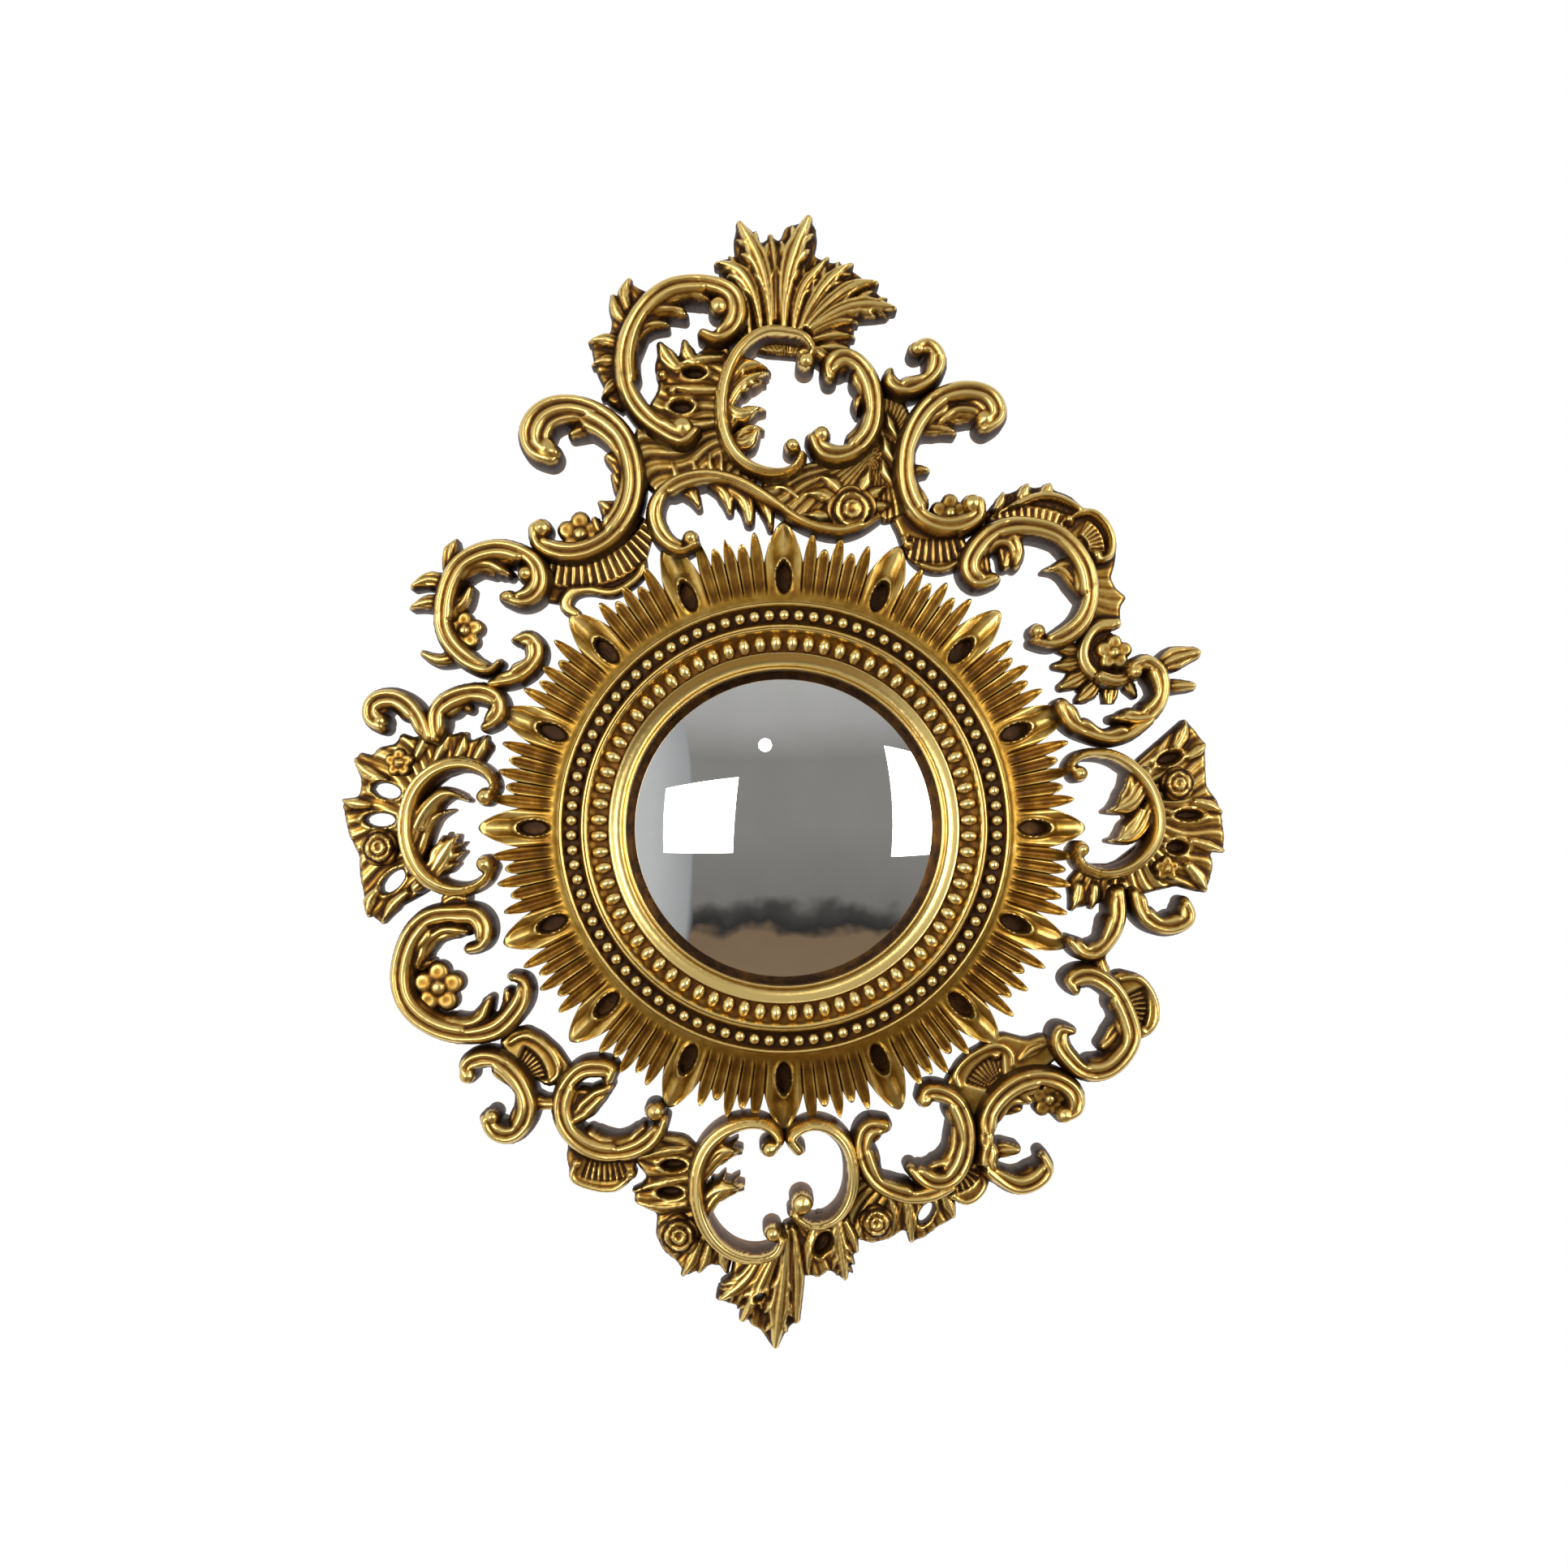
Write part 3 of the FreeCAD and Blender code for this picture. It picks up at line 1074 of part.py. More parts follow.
def build_turn_button(index, pivot, angle):
    """A flat brass button with round ends and a hole for its screw, its long end over the board."""
    label = f"turn_button_{index + 1}"
    half = size("button_width") / 2
    reach = size("button_length") - size("button_tail") - half
    tail = size("button_tail") - half
    body = DOC.addObject("PartDesign::Body", label)
    sketch = sketch_in(body, label + "_outline", "XY_Plane")
    ends = ((reach, -90, 90), (-tail, 90, 270))
    for centre, start, end in ends:
        circle = Part.Circle(Vector(centre, 0, 0), Vector(0, 0, 1), half)
        sketch.addGeometry(Part.ArcOfCircle(circle, math.radians(start), math.radians(end)))
    sketch.addGeometry(Part.LineSegment(Vector(reach, half, 0), Vector(-tail, half, 0)))
    sketch.addGeometry(Part.LineSegment(Vector(-tail, -half, 0), Vector(reach, -half, 0)))
    hole = size("screw_diameter") / 2 + size("running_fit")
    sketch.addGeometry(Part.Circle(Vector(0, 0, 0), Vector(0, 0, 1), hole))
    for first, first_end, second, second_end in ((0, 2, 2, 1), (2, 2, 1, 1), (1, 2, 3, 1), (3, 2, 0, 1)):
        sketch.addConstraint(Sketcher.Constraint("Tangent", first, first_end, second, second_end))
    sketch.addConstraint(Sketcher.Constraint("PointOnObject", 0, 3, -1))
    sketch.addConstraint(Sketcher.Constraint("PointOnObject", 1, 3, -1))
    sketch.addConstraint(Sketcher.Constraint("Coincident", 4, 3, -1, 1))
    for kind, numbers, value, expression in (
        ("Radius", (0,), half, "sizes.button_width / 2"),
        ("DistanceX", (-1, 1, 0, 3), reach,
         "sizes.button_length - sizes.button_tail - sizes.button_width / 2"),
        ("DistanceX", (1, 3, -1, 1), tail, "sizes.button_tail - sizes.button_width / 2"),
        ("Radius", (4,), hole, "sizes.screw_diameter / 2 + sizes.running_fit"),
    ):
        constraint = sketch.addConstraint(Sketcher.Constraint(kind, *numbers, value))
        sketch.setExpression(f"Constraints[{constraint}]", expression)
    pad = body.newObject("PartDesign::Pad", label + "_plate")
    pad.Profile = sketch
    pad.setExpression("Length", "sizes.button_thickness")
    body.Tip = pad
    front = BACK - size("turning_gap")
    facing_back = Rotation(Vector(1, 0, 0), -90)
    turned_in = Rotation(Vector(0, 1, 0), 180 - angle)
    body.Placement = Placement(Vector(pivot.x, -front, pivot.z), turned_in.multiply(facing_back))
    node(body, label)


def build_hanger(screw_place):
    """A sheet strap rolled round the hinge bar of a wire ring, held by one screw."""
    axis_z = size("hanger_axis")
    depth = size("hanger_depth")
    bore = size("wire_diameter") / 2 + size("running_fit")
    outer = bore + size("strap_thickness")
    half = size("strap_width") / 2
    eye = Part.makeCylinder(outer, 2 * half, Vector(-half, -depth, axis_z), Vector(1, 0, 0))
    plate = Part.makeBox(2 * half, size("strap_thickness"), size("strap_length"),
                         Vector(-half, -BACK, axis_z - size("strap_length")))
    bore_tool = Part.makeCylinder(bore, 2 * half, Vector(-half, -depth, axis_z), Vector(1, 0, 0))
    hole = cylinder_at(screw_place, size("screw_diameter") / 2, 0, BACK)
    strap = eye.fuse(plate).cut(bore_tool).cut(hole).removeSplitter()
    solid_node("hanger_strap", strap)

    half_ring = size("hanger_width") / 2
    top = axis_z + size("hanger_height")
    corner = 3.0
    crown = half_ring

    def at(x, z):
        return Vector(x, -depth, z)

    diagonal = corner * (1 - math.sqrt(0.5))
    edges = [
        Part.LineSegment(at(-half_ring + corner, axis_z), at(half_ring - corner, axis_z)).toShape(),
        Part.Arc(at(half_ring - corner, axis_z), at(half_ring - diagonal, axis_z + diagonal),
                 at(half_ring, axis_z + corner)).toShape(),
        Part.LineSegment(at(half_ring, axis_z + corner), at(half_ring, top - crown)).toShape(),
        Part.Arc(at(half_ring, top - crown), at(0, top), at(-half_ring, top - crown)).toShape(),
        Part.LineSegment(at(-half_ring, top - crown), at(-half_ring, axis_z + corner)).toShape(),
        Part.Arc(at(-half_ring, axis_z + corner), at(-half_ring + diagonal, axis_z + diagonal),
                 at(-half_ring + corner, axis_z)).toShape(),
    ]
    path = Part.Wire(edges)
    circle = Part.makeCircle(size("wire_diameter") / 2, at(-half_ring + corner, axis_z), Vector(1, 0, 0))
    solid_node("hanger_ring", path.makePipeShell([Part.Wire(circle)], True, True))


def build_back():
    """Packing ring, backing board, turn buttons, hanger and wall pads."""
    tube("glass_spacer", "board_radius", "spacer_inner", "board_front", "glass_rim_back")
    tube("backing_board", "board_radius", None, "wall_gap", "board_front")
    for index, (pivot, angle) in enumerate(button_places()):
        build_turn_button(index, pivot, angle)
    pad_circle = size("rim_radius") - size("pad_diameter") / 2
    pads = []
    for side in (-1, 1):
        place = polar(pad_circle, -90 + side * size("pad_angle"))
        pads.append(cylinder_at(place, size("pad_diameter") / 2, 0, BACK))
    solid_node("wall_pads", Part.makeCompound(pads))


def main():
    """Builds every sub-part, checks it and writes its file."""
    hanger_place = build_mouldings()
    build_glass()
    build_beads()
    build_sunburst()
    star = star_face()
    PLACED_FACES.append(star)
    PLACED_SOLIDS.append(star.extrude(Vector(0, -2 * size("moulding_depth"), 0)))
    build_right_side()
    build_left_side()
    build_crest()
    build_lower_left()
    build_base()
    build_lower_right()
    build_flowers()
    build_back()
    build_hanger(hanger_place)
    DOC.recompute()
    for thing in DOC.Objects:
        if "Invalid" in thing.State or "Error" in thing.State:
            raise RuntimeError(f"{thing.Label} failed to build: {thing.State}")
    os.makedirs("parts", exist_ok=True)
    for thing in NODES:
        shape = thing.Shape
        if shape.isNull() or not shape.isValid() or not shape.Solids:
            raise RuntimeError(f"{thing.Label} is not a sound solid")
        shape.exportStep(f"parts/{thing.Label}.step")


main()
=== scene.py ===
import logging
import math
from dataclasses import dataclass
from enum import Enum

import bpy
import numpy as np
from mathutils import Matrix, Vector


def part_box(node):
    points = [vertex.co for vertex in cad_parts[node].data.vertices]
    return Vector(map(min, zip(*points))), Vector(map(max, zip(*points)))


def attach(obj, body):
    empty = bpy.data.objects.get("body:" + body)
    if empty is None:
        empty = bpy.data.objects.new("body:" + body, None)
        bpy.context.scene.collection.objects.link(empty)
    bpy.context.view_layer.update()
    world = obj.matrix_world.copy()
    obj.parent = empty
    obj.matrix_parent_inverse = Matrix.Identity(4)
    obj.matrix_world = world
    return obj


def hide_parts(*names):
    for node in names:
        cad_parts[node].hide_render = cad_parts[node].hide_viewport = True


# Looks of a gilt convex wall mirror. The frame's carving is drawn as (x, z) points in millimetres in
# the plane of the wall, seen from the front, with the glass's axis as the origin; a form's outline or
# spine gives x and z in turn. "Height" is the
# distance in front of the frame's flat back, and "depth" the distance in front of the wall.

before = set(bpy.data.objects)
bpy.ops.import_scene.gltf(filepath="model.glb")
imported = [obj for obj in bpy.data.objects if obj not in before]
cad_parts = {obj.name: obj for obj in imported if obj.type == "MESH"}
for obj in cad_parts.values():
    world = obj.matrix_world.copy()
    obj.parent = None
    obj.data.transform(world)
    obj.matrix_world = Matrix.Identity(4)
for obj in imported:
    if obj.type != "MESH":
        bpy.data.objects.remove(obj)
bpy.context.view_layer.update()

logging.basicConfig(level=logging.INFO, format="%(message)s")
LOG = logging.getLogger("mirror")

# Metres in a millimetre; a distance past everything; steps of the grid and of drawn lines.
MM = 0.001
FAR = 1e3
GRID_STEP = 0.8
PATH_STEP = 1.0

# How far in from its edge a form rolls down, and to what share of its height.
EDGE_ROLL = 4.0
EDGE_SHARE = 0.5
FINE_ROLL = 2.2
THIN_ROLL = 1.4
EDGE_REACH = 2.5

# Angle from which an edge looks sharp, and the tone of side walls and backs.
SHARP_ANGLE = math.radians(60)
WALL_TONE = 0.22

# Samples over which a scroll's bend is averaged, and the bend that counts as full.
BEND_WINDOW = 21
BEND_GAIN = 36.0

# Heights of the pieces' flat backs: from one carved piece to the next, and for flowers.
SEAT_STEP = 0.12
FLOWER_SEAT = 2.0

# Details of the forms: gouged folds, grounds, oval hollows, shells and florets.
FLUTE_SHARPNESS = 0.68
CORNER_CUT = 0.14
HOLLOW_FLOOR = 0.3
HOLLOW_RIM = 1.6
SHELL_DIP = 2.6
SHELL_WALL = 3.2
HEART_SHARE = 0.3
PETAL_SHARE = 0.43
PETAL_PLACE = 0.6
PETAL_LIFT = 0.92


def cad_reach(node: str, axis: int, high: bool) -> float:
    """Reads how far a node of the frame reaches along one axis.

    Args:
        node: Name of the node.
        axis: 0 for X, 1 for Y, 2 for Z.
        high: True for the highest value, False for the lowest.

    Returns:
        The coordinate in millimetres.
    """
    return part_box(node)[1 if high else 0][axis] / MM


BACK = -cad_reach("pearl_moulding", 1, True)
RIM_RADIUS = cad_reach("pearl_moulding", 0, True)
GLASS_RADIUS = cad_reach("mirror_glass", 0, True)
GLASS_FRONT = -cad_reach("mirror_glass", 1, False)
PEARL_FRONT = -cad_reach("pearl_beads", 1, False)
EGG_FRONT = -cad_reach("egg_beads", 1, False)
BURST_HEIGHT = -cad_reach("sunburst", 1, False) - BACK


# ---------------------------------------------------------------- shapes of lines and heights


def smooth_path(points: tuple, step: float = PATH_STEP) -> tuple:
    """Runs a natural cubic curve through drawn points.

    Args:
        points: Drawn points, x and z in turn.
        step: Distance between the samples, in millimetres.

    Returns:
        Samples, unit normals to their left and distances travelled, as arrays.
    """
    drawn = np.array(points, float).reshape(-1, 2)
    chord = np.hypot(*np.diff(drawn, axis=0).T)
    at = np.concatenate(([0.0], np.cumsum(chord)))
    count = len(at)
    system = np.eye(count)
    target = np.zeros((count, 2))
    inner = np.arange(1, count - 1)
    slopes = np.diff(drawn, axis=0) / chord[:, None]
    system[inner, inner - 1] = chord[:-1]
    system[inner, inner] = 2 * (chord[:-1] + chord[1:])
    system[inner, inner + 1] = chord[1:]
    target[1:-1] = 6 * np.diff(slopes, axis=0)
    bend = np.linalg.solve(system, target)
    fine = np.linspace(0, at[-1], math.ceil(at[-1] / step) + 1)
    part = np.clip(np.searchsorted(at, fine, side="right") - 1, 0, count - 2)
    width = chord[part, None]
    left = (at[part + 1] - fine)[:, None]
    right = (fine - at[part])[:, None]
    path = (bend[part] * left**3 + bend[part + 1] * right**3) / (6 * width)
    path += (drawn[part] / width - bend[part] * width / 6) * left
    path += (drawn[part + 1] / width - bend[part + 1] * width / 6) * right
    tangent = np.gradient(path, axis=0)
    tangent /= np.hypot(tangent[:, 0], tangent[:, 1])[:, None]
    normal = np.stack((-tangent[:, 1], tangent[:, 0]), axis=1)
    way = np.concatenate(([0.0], np.cumsum(np.hypot(*np.diff(path, axis=0).T))))
    return path, normal, way


def flute(phase: np.ndarray) -> np.ndarray:
    """Round ridges with sharp valleys between them, from 0 to 1, one for each turn of pi."""
    return np.abs(np.sin(phase)) ** FLUTE_SHARPNESS


def rib(phase: np.ndarray) -> np.ndarray:
    """Thin ridges with broad hollows between them, from 0 to 1, one for each turn of pi."""
    return (1 - np.abs(np.sin(phase))) ** 2


def bump(value: np.ndarray, centre: float, width: float) -> np.ndarray:
    """A smooth hump of height 1 round a centre, 1/e high at a width from it."""
    return np.exp(-(((value - centre) / width) ** 2))


def dome(share: np.ndarray) -> np.ndarray:
    """The height of a round dome from its middle (0) to its edge (1)."""
    return np.sqrt(np.clip(1 - share**2, 0, 1))


def softened(values: np.ndarray, cells: int, passes: int = 2) -> np.ndarray:
    """Averages a grid over squares of that many cells each way, once in each pass."""
    result = values
    for _ in range(passes):
        for axis in (0, 1):
            margins = [(cells + 1, cells) if other == axis else (0, 0) for other in (0, 1)]
            padded = np.pad(result, margins, mode="edge")
            total = np.cumsum(padded, axis=axis)
            span = 2 * cells + 1
            upper = np.take(total, np.arange(span, total.shape[axis]), axis=axis)
            lower = np.take(total, np.arange(0, total.shape[axis] - span), axis=axis)
            result = (upper - lower) / span
    return result


def recess_tone(height: np.ndarray, mask: np.ndarray, step: float) -> np.ndarray:
    """How deep or proud each spot lies among its neighbours: 0 in a groove, 1 on a ridge."""
    tone = np.full(height.shape, 0.5)
    for reach, scale, weight in ((1.6, 0.45, 0.3), (4.5, 1.7, 0.28)):
        cells = max(1, round(reach / step))
        mean = softened(height * mask, cells) / np.maximum(softened(mask, cells), 1e-3)
        tone += weight * np.tanh((height - mean) / scale)
    return np.clip(tone, 0, 1)


# ---------------------------------------------------------------- the carving's grid


class Relief:
    """Heights over a square grid in the plane of the wall, in millimetres."""

    def __init__(self, low: tuple, high: tuple, step: float = GRID_STEP) -> None:
        columns = np.arange(low[0], high[0] + step, step)
        rows = np.arange(low[1], high[1] + step, step)
        self.step = step
        self.x, self.z = np.meshgrid(columns, rows)
        self.inside = np.full(self.x.shape, -FAR)
        self.height = np.zeros(self.x.shape)

    def window(self, low: tuple, high: tuple) -> tuple:
        """The part of the grid inside a box, as slices."""
        first = self.x[0, 0], self.z[0, 0]
        spans = []
        for axis, size in ((1, self.x.shape[0]), (0, self.x.shape[1])):
            start = int((low[axis] - first[axis]) / self.step) - 1
            stop = int((high[axis] - first[axis]) / self.step) + 3
            spans.append(slice(max(start, 0), min(max(stop, 1), size)))
        return tuple(spans)

    def around(self, x: float, z: float, reach: float) -> tuple:
        """The part of the grid round a point, as slices, and its spots' offsets from the point."""
        centre = np.array((x, z))
        window = self.window(centre - reach, centre + reach)
        return window, self.x[window] - x, self.z[window] - z

    def lay(self, window: tuple, inside: np.ndarray, height: np.ndarray,
            roll: float = EDGE_ROLL, edge_share: float = EDGE_SHARE) -> None:
        """Lays one form over what is there, with its edge rolled down; the highest form wins."""
        edge = np.clip(inside / roll, 0, 1)
        rolled = height * (edge_share + (1 - edge_share) * dome(1 - edge))
        near = inside > -EDGE_REACH * self.step
        current = self.height[window]
        self.height[window] = np.where(near & (rolled > current), rolled, current)
        self.inside[window] = np.maximum(self.inside[window], inside)


def nearest_on(path: np.ndarray, half: np.ndarray, normal: np.ndarray, x: np.ndarray, z: np.ndarray) -> tuple:
    """Where each spot lies along and across a band.

    Args:
        path: Samples along the band's spine.
        half: Half the band's width at each sample.
        normal: Unit normals at the samples.
        x: Grid coordinates.
        z: Grid coordinates.

    Returns:
        Distance inside the band's edge, the nearest sample, and the place across it from -1 to 1.
    """
    gap = half - np.hypot(x[..., None] - path[:, 0], z[..., None] - path[:, 1])
    nearest = gap.argmax(axis=-1)
    inside = np.take_along_axis(gap, nearest[..., None], axis=-1)[..., 0]
    offset_x = x - path[nearest, 0]
    offset_z = z - path[nearest, 1]
    lateral = offset_x * normal[nearest, 0] + offset_z * normal[nearest, 1]
    return inside, nearest, np.clip(lateral / half[nearest], -1, 1)


@dataclass(frozen=True)
class Band:
    """A form of changing width along a smooth spine."""

    spine: tuple
    widths: tuple
    lift: float = 1.0

    def heights(self, across: np.ndarray, along: np.ndarray, way: np.ndarray, half: np.ndarray,
                rise: float) -> np.ndarray:
        """Height over the band, in a subclass's own profile."""
        raise NotImplementedError

    def roll(self) -> float:
        """Width over which the band's edge rolls down."""
        return EDGE_ROLL

    def widened(self, path: np.ndarray, normal: np.ndarray, half: np.ndarray, share: np.ndarray,
                side: np.ndarray) -> tuple:
        """Lets a subclass widen the band to one side; returns its path and half widths."""
        return path, half

    def lay(self, relief: Relief, rise: float) -> None:
        """Lays the band over a relief."""
        path, normal, way = smooth_path(self.spine)
        share = way / way[-1]
        half = np.interp(share, np.linspace(0, 1, len(self.widths)), self.widths) / 2
        heading = np.unwrap(np.arctan2(-normal[:, 0], normal[:, 1]))
        bend = np.gradient(heading) / PATH_STEP
        window = np.ones(BEND_WINDOW) / BEND_WINDOW
        bend = np.convolve(np.pad(bend, BEND_WINDOW // 2, mode="edge"), window, mode="valid")
        side = np.clip(bend * BEND_GAIN, -1, 1)
        path, half = self.widened(path, normal, half, share, side)
        margin = half.max() + 3 * relief.step
        window = relief.window(path.min(0) - margin, path.max(0) + margin)
        inside, nearest, across = nearest_on(path, half, normal, relief.x[window], relief.z[window])
        outer = np.where(side > 0, -1.0, 1.0)[nearest]
        height = self.heights(across * outer, share[nearest], way[nearest], half[nearest], rise * self.lift)
        relief.lay(window, inside, height, self.roll())


class Plain(Band):
    """A plain C or S scroll: a broad rounded ridge and a thinner one outside it."""

    ACROSS = (-1.0, -0.78, -0.45, -0.1, 0.18, 0.38, 0.62, 0.85, 1.0)
    PROFILE = (0.74, 0.88, 0.97, 0.985, 0.93, 0.89, 1.0, 0.95, 0.8)

    def heights(self, across: np.ndarray, along: np.ndarray, way: np.ndarray, half: np.ndarray,
                rise: float) -> np.ndarray:
        return rise * np.interp(across, self.ACROSS, self.PROFILE)


@dataclass(frozen=True)
class Scroll(Band):
    """A leafy scroll: a thin outer rim, and flutes that spread into lobes on its inner side."""

    inner: float = 6.5
    lobes: float = 2.0

    STRAND = 6.8
    RIM = 0.88

    def widened(self, path: np.ndarray, normal: np.ndarray, half: np.ndarray, share: np.ndarray,
                side: np.ndarray) -> tuple:
        """Adds lobes on the inner side, whose tips point to the nearer end of the scroll."""
        out = np.abs(2 * share - 1)
        grown = (self.lobes * out + 0.25) % 1.0
        length = min(1.0, len(path) / 90)
        extra = self.inner * length * grown**0.8 * np.abs(side) * np.clip((1 - out) / 0.22, 0, 1)
        extra = np.minimum(extra, 1.1 * half)
        return path + normal * (np.sign(side) * extra / 2)[:, None], half + extra / 2

    def heights(self, across: np.ndarray, along: np.ndarray, way: np.ndarray, half: np.ndarray,
                rise: float) -> np.ndarray:
        body = 0.8 + 0.2 * dome(0.9 * across)
        strands = np.clip(2 * half / self.STRAND, 1.0, 2.9)
        phase = math.pi * (strands * (1 - across) / 2)
        depth = np.clip(0.46 * half, 1.0, 3.4)
        folds = depth * (flute(phase) - 1) * np.clip(2.4 - 2 * np.abs(across), 0, 1)
        rim = 0.8 * bump(across, self.RIM, 0.09)
        return np.minimum(rise * body + folds + rim, rise)


@dataclass(frozen=True)
class Leaf(Band):
    """A side leaf with fine veins that run together at its tip."""

    lift: float = 0.8
    veins: float = 1.5

    def roll(self) -> float:
        return FINE_ROLL

    def heights(self, across: np.ndarray, along: np.ndarray, way: np.ndarray, half: np.ndarray,
                rise: float) -> np.ndarray:
        body = 0.86 + 0.14 * dome(across)
        vein_depth = np.clip(half * 0.4, 0.3, 2.0)
        spread = self.veins * across * (1.1 - 0.3 * along)
        return rise * body + vein_depth * (flute(math.pi * (spread + 0.5)) - 1)


def leaves(*rows: tuple, lift: float = Leaf.lift) -> tuple:
    """Side leaves from rows of three drawn points, x and z in turn, and three widths."""
    return tuple(Leaf(row[:6], row[6:], lift) for row in rows)


@dataclass(frozen=True)
class Frond(Leaf):
    """A leaf with pairs of side lobes."""

    LOBES = ((0.42, 0.9), (0.6, 0.95), (0.78, 0.75))
    SPREAD = math.radians(36)

    def lay(self, relief: Relief, rise: float) -> None:
        """Lays the lobes, then the leaf over them."""
        path, normal, way = smooth_path(self.spine)
        for share, size in self.LOBES:
            place = int(share * (len(path) - 1))
            width = size * np.interp(share, np.linspace(0, 1, len(self.widths)), self.widths)
            ahead = np.array((normal[place, 1], -normal[place, 0]))
            for hand in (-1, 1):
                along = math.cos(self.SPREAD) * ahead + hand * math.sin(self.SPREAD) * normal[place]
                reach = 0.5 * width + 4.5
                root = path[place] + hand * 0.15 * width * normal[place]
                spine = (root, root + along * reach * 0.55, root + along * reach + ahead * 1.5)
                Leaf(spine, (0.5 * width, 0.58 * width, 0.2 * width), self.lift * 0.94).lay(relief, rise)
        super().lay(relief, rise)


@dataclass(frozen=True)
class Cord(Band):
    """A thin raised rounded line."""

    def roll(self) -> float:
        return THIN_ROLL

    def heights(self, across: np.ndarray, along: np.ndarray, way: np.ndarray, half: np.ndarray,
                rise: float) -> np.ndarray:
        return rise * (0.9 + 0.1 * dome(across))


@dataclass(frozen=True)
class Eye:
    """The ball in a scroll's curl."""

    x: float
    z: float
    radius: float
    share: float = 1.0

    def lay(self, relief: Relief, rise: float) -> None:
        """Lays the ball over a relief."""
        rise = rise * self.share
        reach = self.radius * 1.08
        window, dx, dz = relief.around(self.x, self.z, reach + 2)
        distance = np.hypot(dx, dz)
        height = rise * 0.78 + rise * 0.22 * dome(distance / reach) + 1.0 * bump(distance, 0, 1.2)
        relief.lay(window, reach - distance, height, roll=1.6)


@dataclass(frozen=True)
class Rays:
    """Ribs that spread from a point, with a slight sway."""

    x: float
    z: float
    count: float
    depth: float = 2.4
    sway: float = 0.5

    def heights(self, x: np.ndarray, z: np.ndarray) -> np.ndarray:
        """Height of the ribs, at most 0."""
        angle = np.arctan2(z - self.z, x - self.x)
        distance = np.hypot(x - self.x, z - self.z)
        phase = 0.5 * self.count * angle + self.sway * np.sin(distance / 6.5)
        split = 0.7 * flute(phase) + 0.3 * flute(2 * phase + 0.8)
        return self.depth * (split - 1)


@dataclass(frozen=True)
class Ground:
    """A flat leafy ground inside a drawn outline."""

    outline: tuple
    share: float = 0.9
    rays: Rays | None = None

    def lay(self, relief: Relief, rise: float) -> None:
        """Lays the ground over a relief."""
        corners = np.array(self.outline, float).reshape(-1, 2)
        following = np.roll(corners, -1, axis=0)
        corners = np.stack(((1 - CORNER_CUT) * corners + CORNER_CUT * following,
                            CORNER_CUT * corners + (1 - CORNER_CUT) * following), axis=1)
        corners = corners.reshape(-1, 2)
        window = relief.window(corners.min(0) - 3, corners.max(0) + 3)
        x = relief.x[window]
        z = relief.z[window]
        inside = distance_inside(corners, x, z)
        height = np.full(x.shape, rise * self.share)
        if self.rays:
            height += self.rays.heights(x, z)
        relief.lay(window, inside, height, roll=FINE_ROLL)


def distance_inside(corners: np.ndarray, x: np.ndarray, z: np.ndarray) -> np.ndarray:
    """Signed distance to a closed outline, positive inside."""
    nearest = np.full(x.shape, FAR)
    crossings = np.zeros(x.shape, int)
    for (ax, az), (bx, bz) in zip(corners, np.roll(corners, -1, axis=0)):
        run_x = bx - ax
        run_z = bz - az
        share = ((x - ax) * run_x + (z - az) * run_z) / max(run_x**2 + run_z**2, 1e-9)
        share = np.clip(share, 0, 1)
        nearest = np.minimum(nearest, np.hypot(x - ax - share * run_x, z - az - share * run_z))
        if az != bz:
            between = (az > z) != (bz > z)
            crossings += between & (x < run_x * (z - az) / run_z + ax)
    return np.where(crossings % 2 == 1, nearest, -nearest)


@dataclass(frozen=True)
class Hollow:
    """An oval sunk into the carving or cut through it, with a raised rim."""

    x: float
    z: float
    length: float
    width: float
    angle: float
    through: bool = False

    def lay(self, relief: Relief, rise: float) -> None:
        """Sinks the oval into a relief."""
        window, dx, dz = relief.around(self.x, self.z, self.length / 2 + 5)
        turn = math.radians(self.angle)
        along = dx * math.cos(turn) + dz * math.sin(turn)
        across = -dx * math.sin(turn) + dz * math.cos(turn)
        outward = (np.hypot(along / (self.length / 2), across / (self.width / 2)) - 1) * self.width / 2
        height = relief.height[window]
        rim = HOLLOW_RIM * bump(outward, 1.3, 0.9)
        sunk = np.clip(0.5 - outward / 1.2, 0, 1)
        floor = rise * HOLLOW_FLOOR
        cut = (height + rim) * (1 - sunk) + floor * sunk
        relief.height[window] = np.where(relief.inside[window] > 0, cut, height)
        if self.through:
            relief.inside[window] = np.minimum(relief.inside[window], outward)


@dataclass(frozen=True)
class Shell:
    """Flutes with thin bright walls, spread over part of a ring round a point."""

    x: float
    z: float
    near: float
    far: float
    start: float
    stop: float
    count: int
    share: float = 0.8

    def lay(self, relief: Relief, rise: float) -> None:
        """Lays the flutes over a relief."""
        window, dx, dz = relief.around(self.x, self.z, self.far + 2)
        distance = np.hypot(dx, dz)
        middle = math.radians((self.start + self.stop) / 2)
        half_turn = math.radians(abs(self.stop - self.start) / 2)
        turned = np.arctan2(dz, dx) - middle
        turned = np.arctan2(np.sin(turned), np.cos(turned))
        inside = np.minimum(np.minimum(distance - self.near, self.far - distance),
                            (half_turn - np.abs(turned)) * distance)
        phase = math.pi * self.count * (turned + half_turn) / (2 * half_turn)
        wall = rib(phase)
        ends = bump(distance, self.near, 0.9) + bump(distance, self.far, 0.9)
        height = rise * self.share - SHELL_DIP + SHELL_WALL * np.maximum(wall, np.clip(ends, 0, 1))
        current = relief.height[window]
        cover = np.clip(inside / 0.8, 0, 1)
        relief.height[window] = np.where(inside > 0, current * (1 - cover) + height * cover, current)


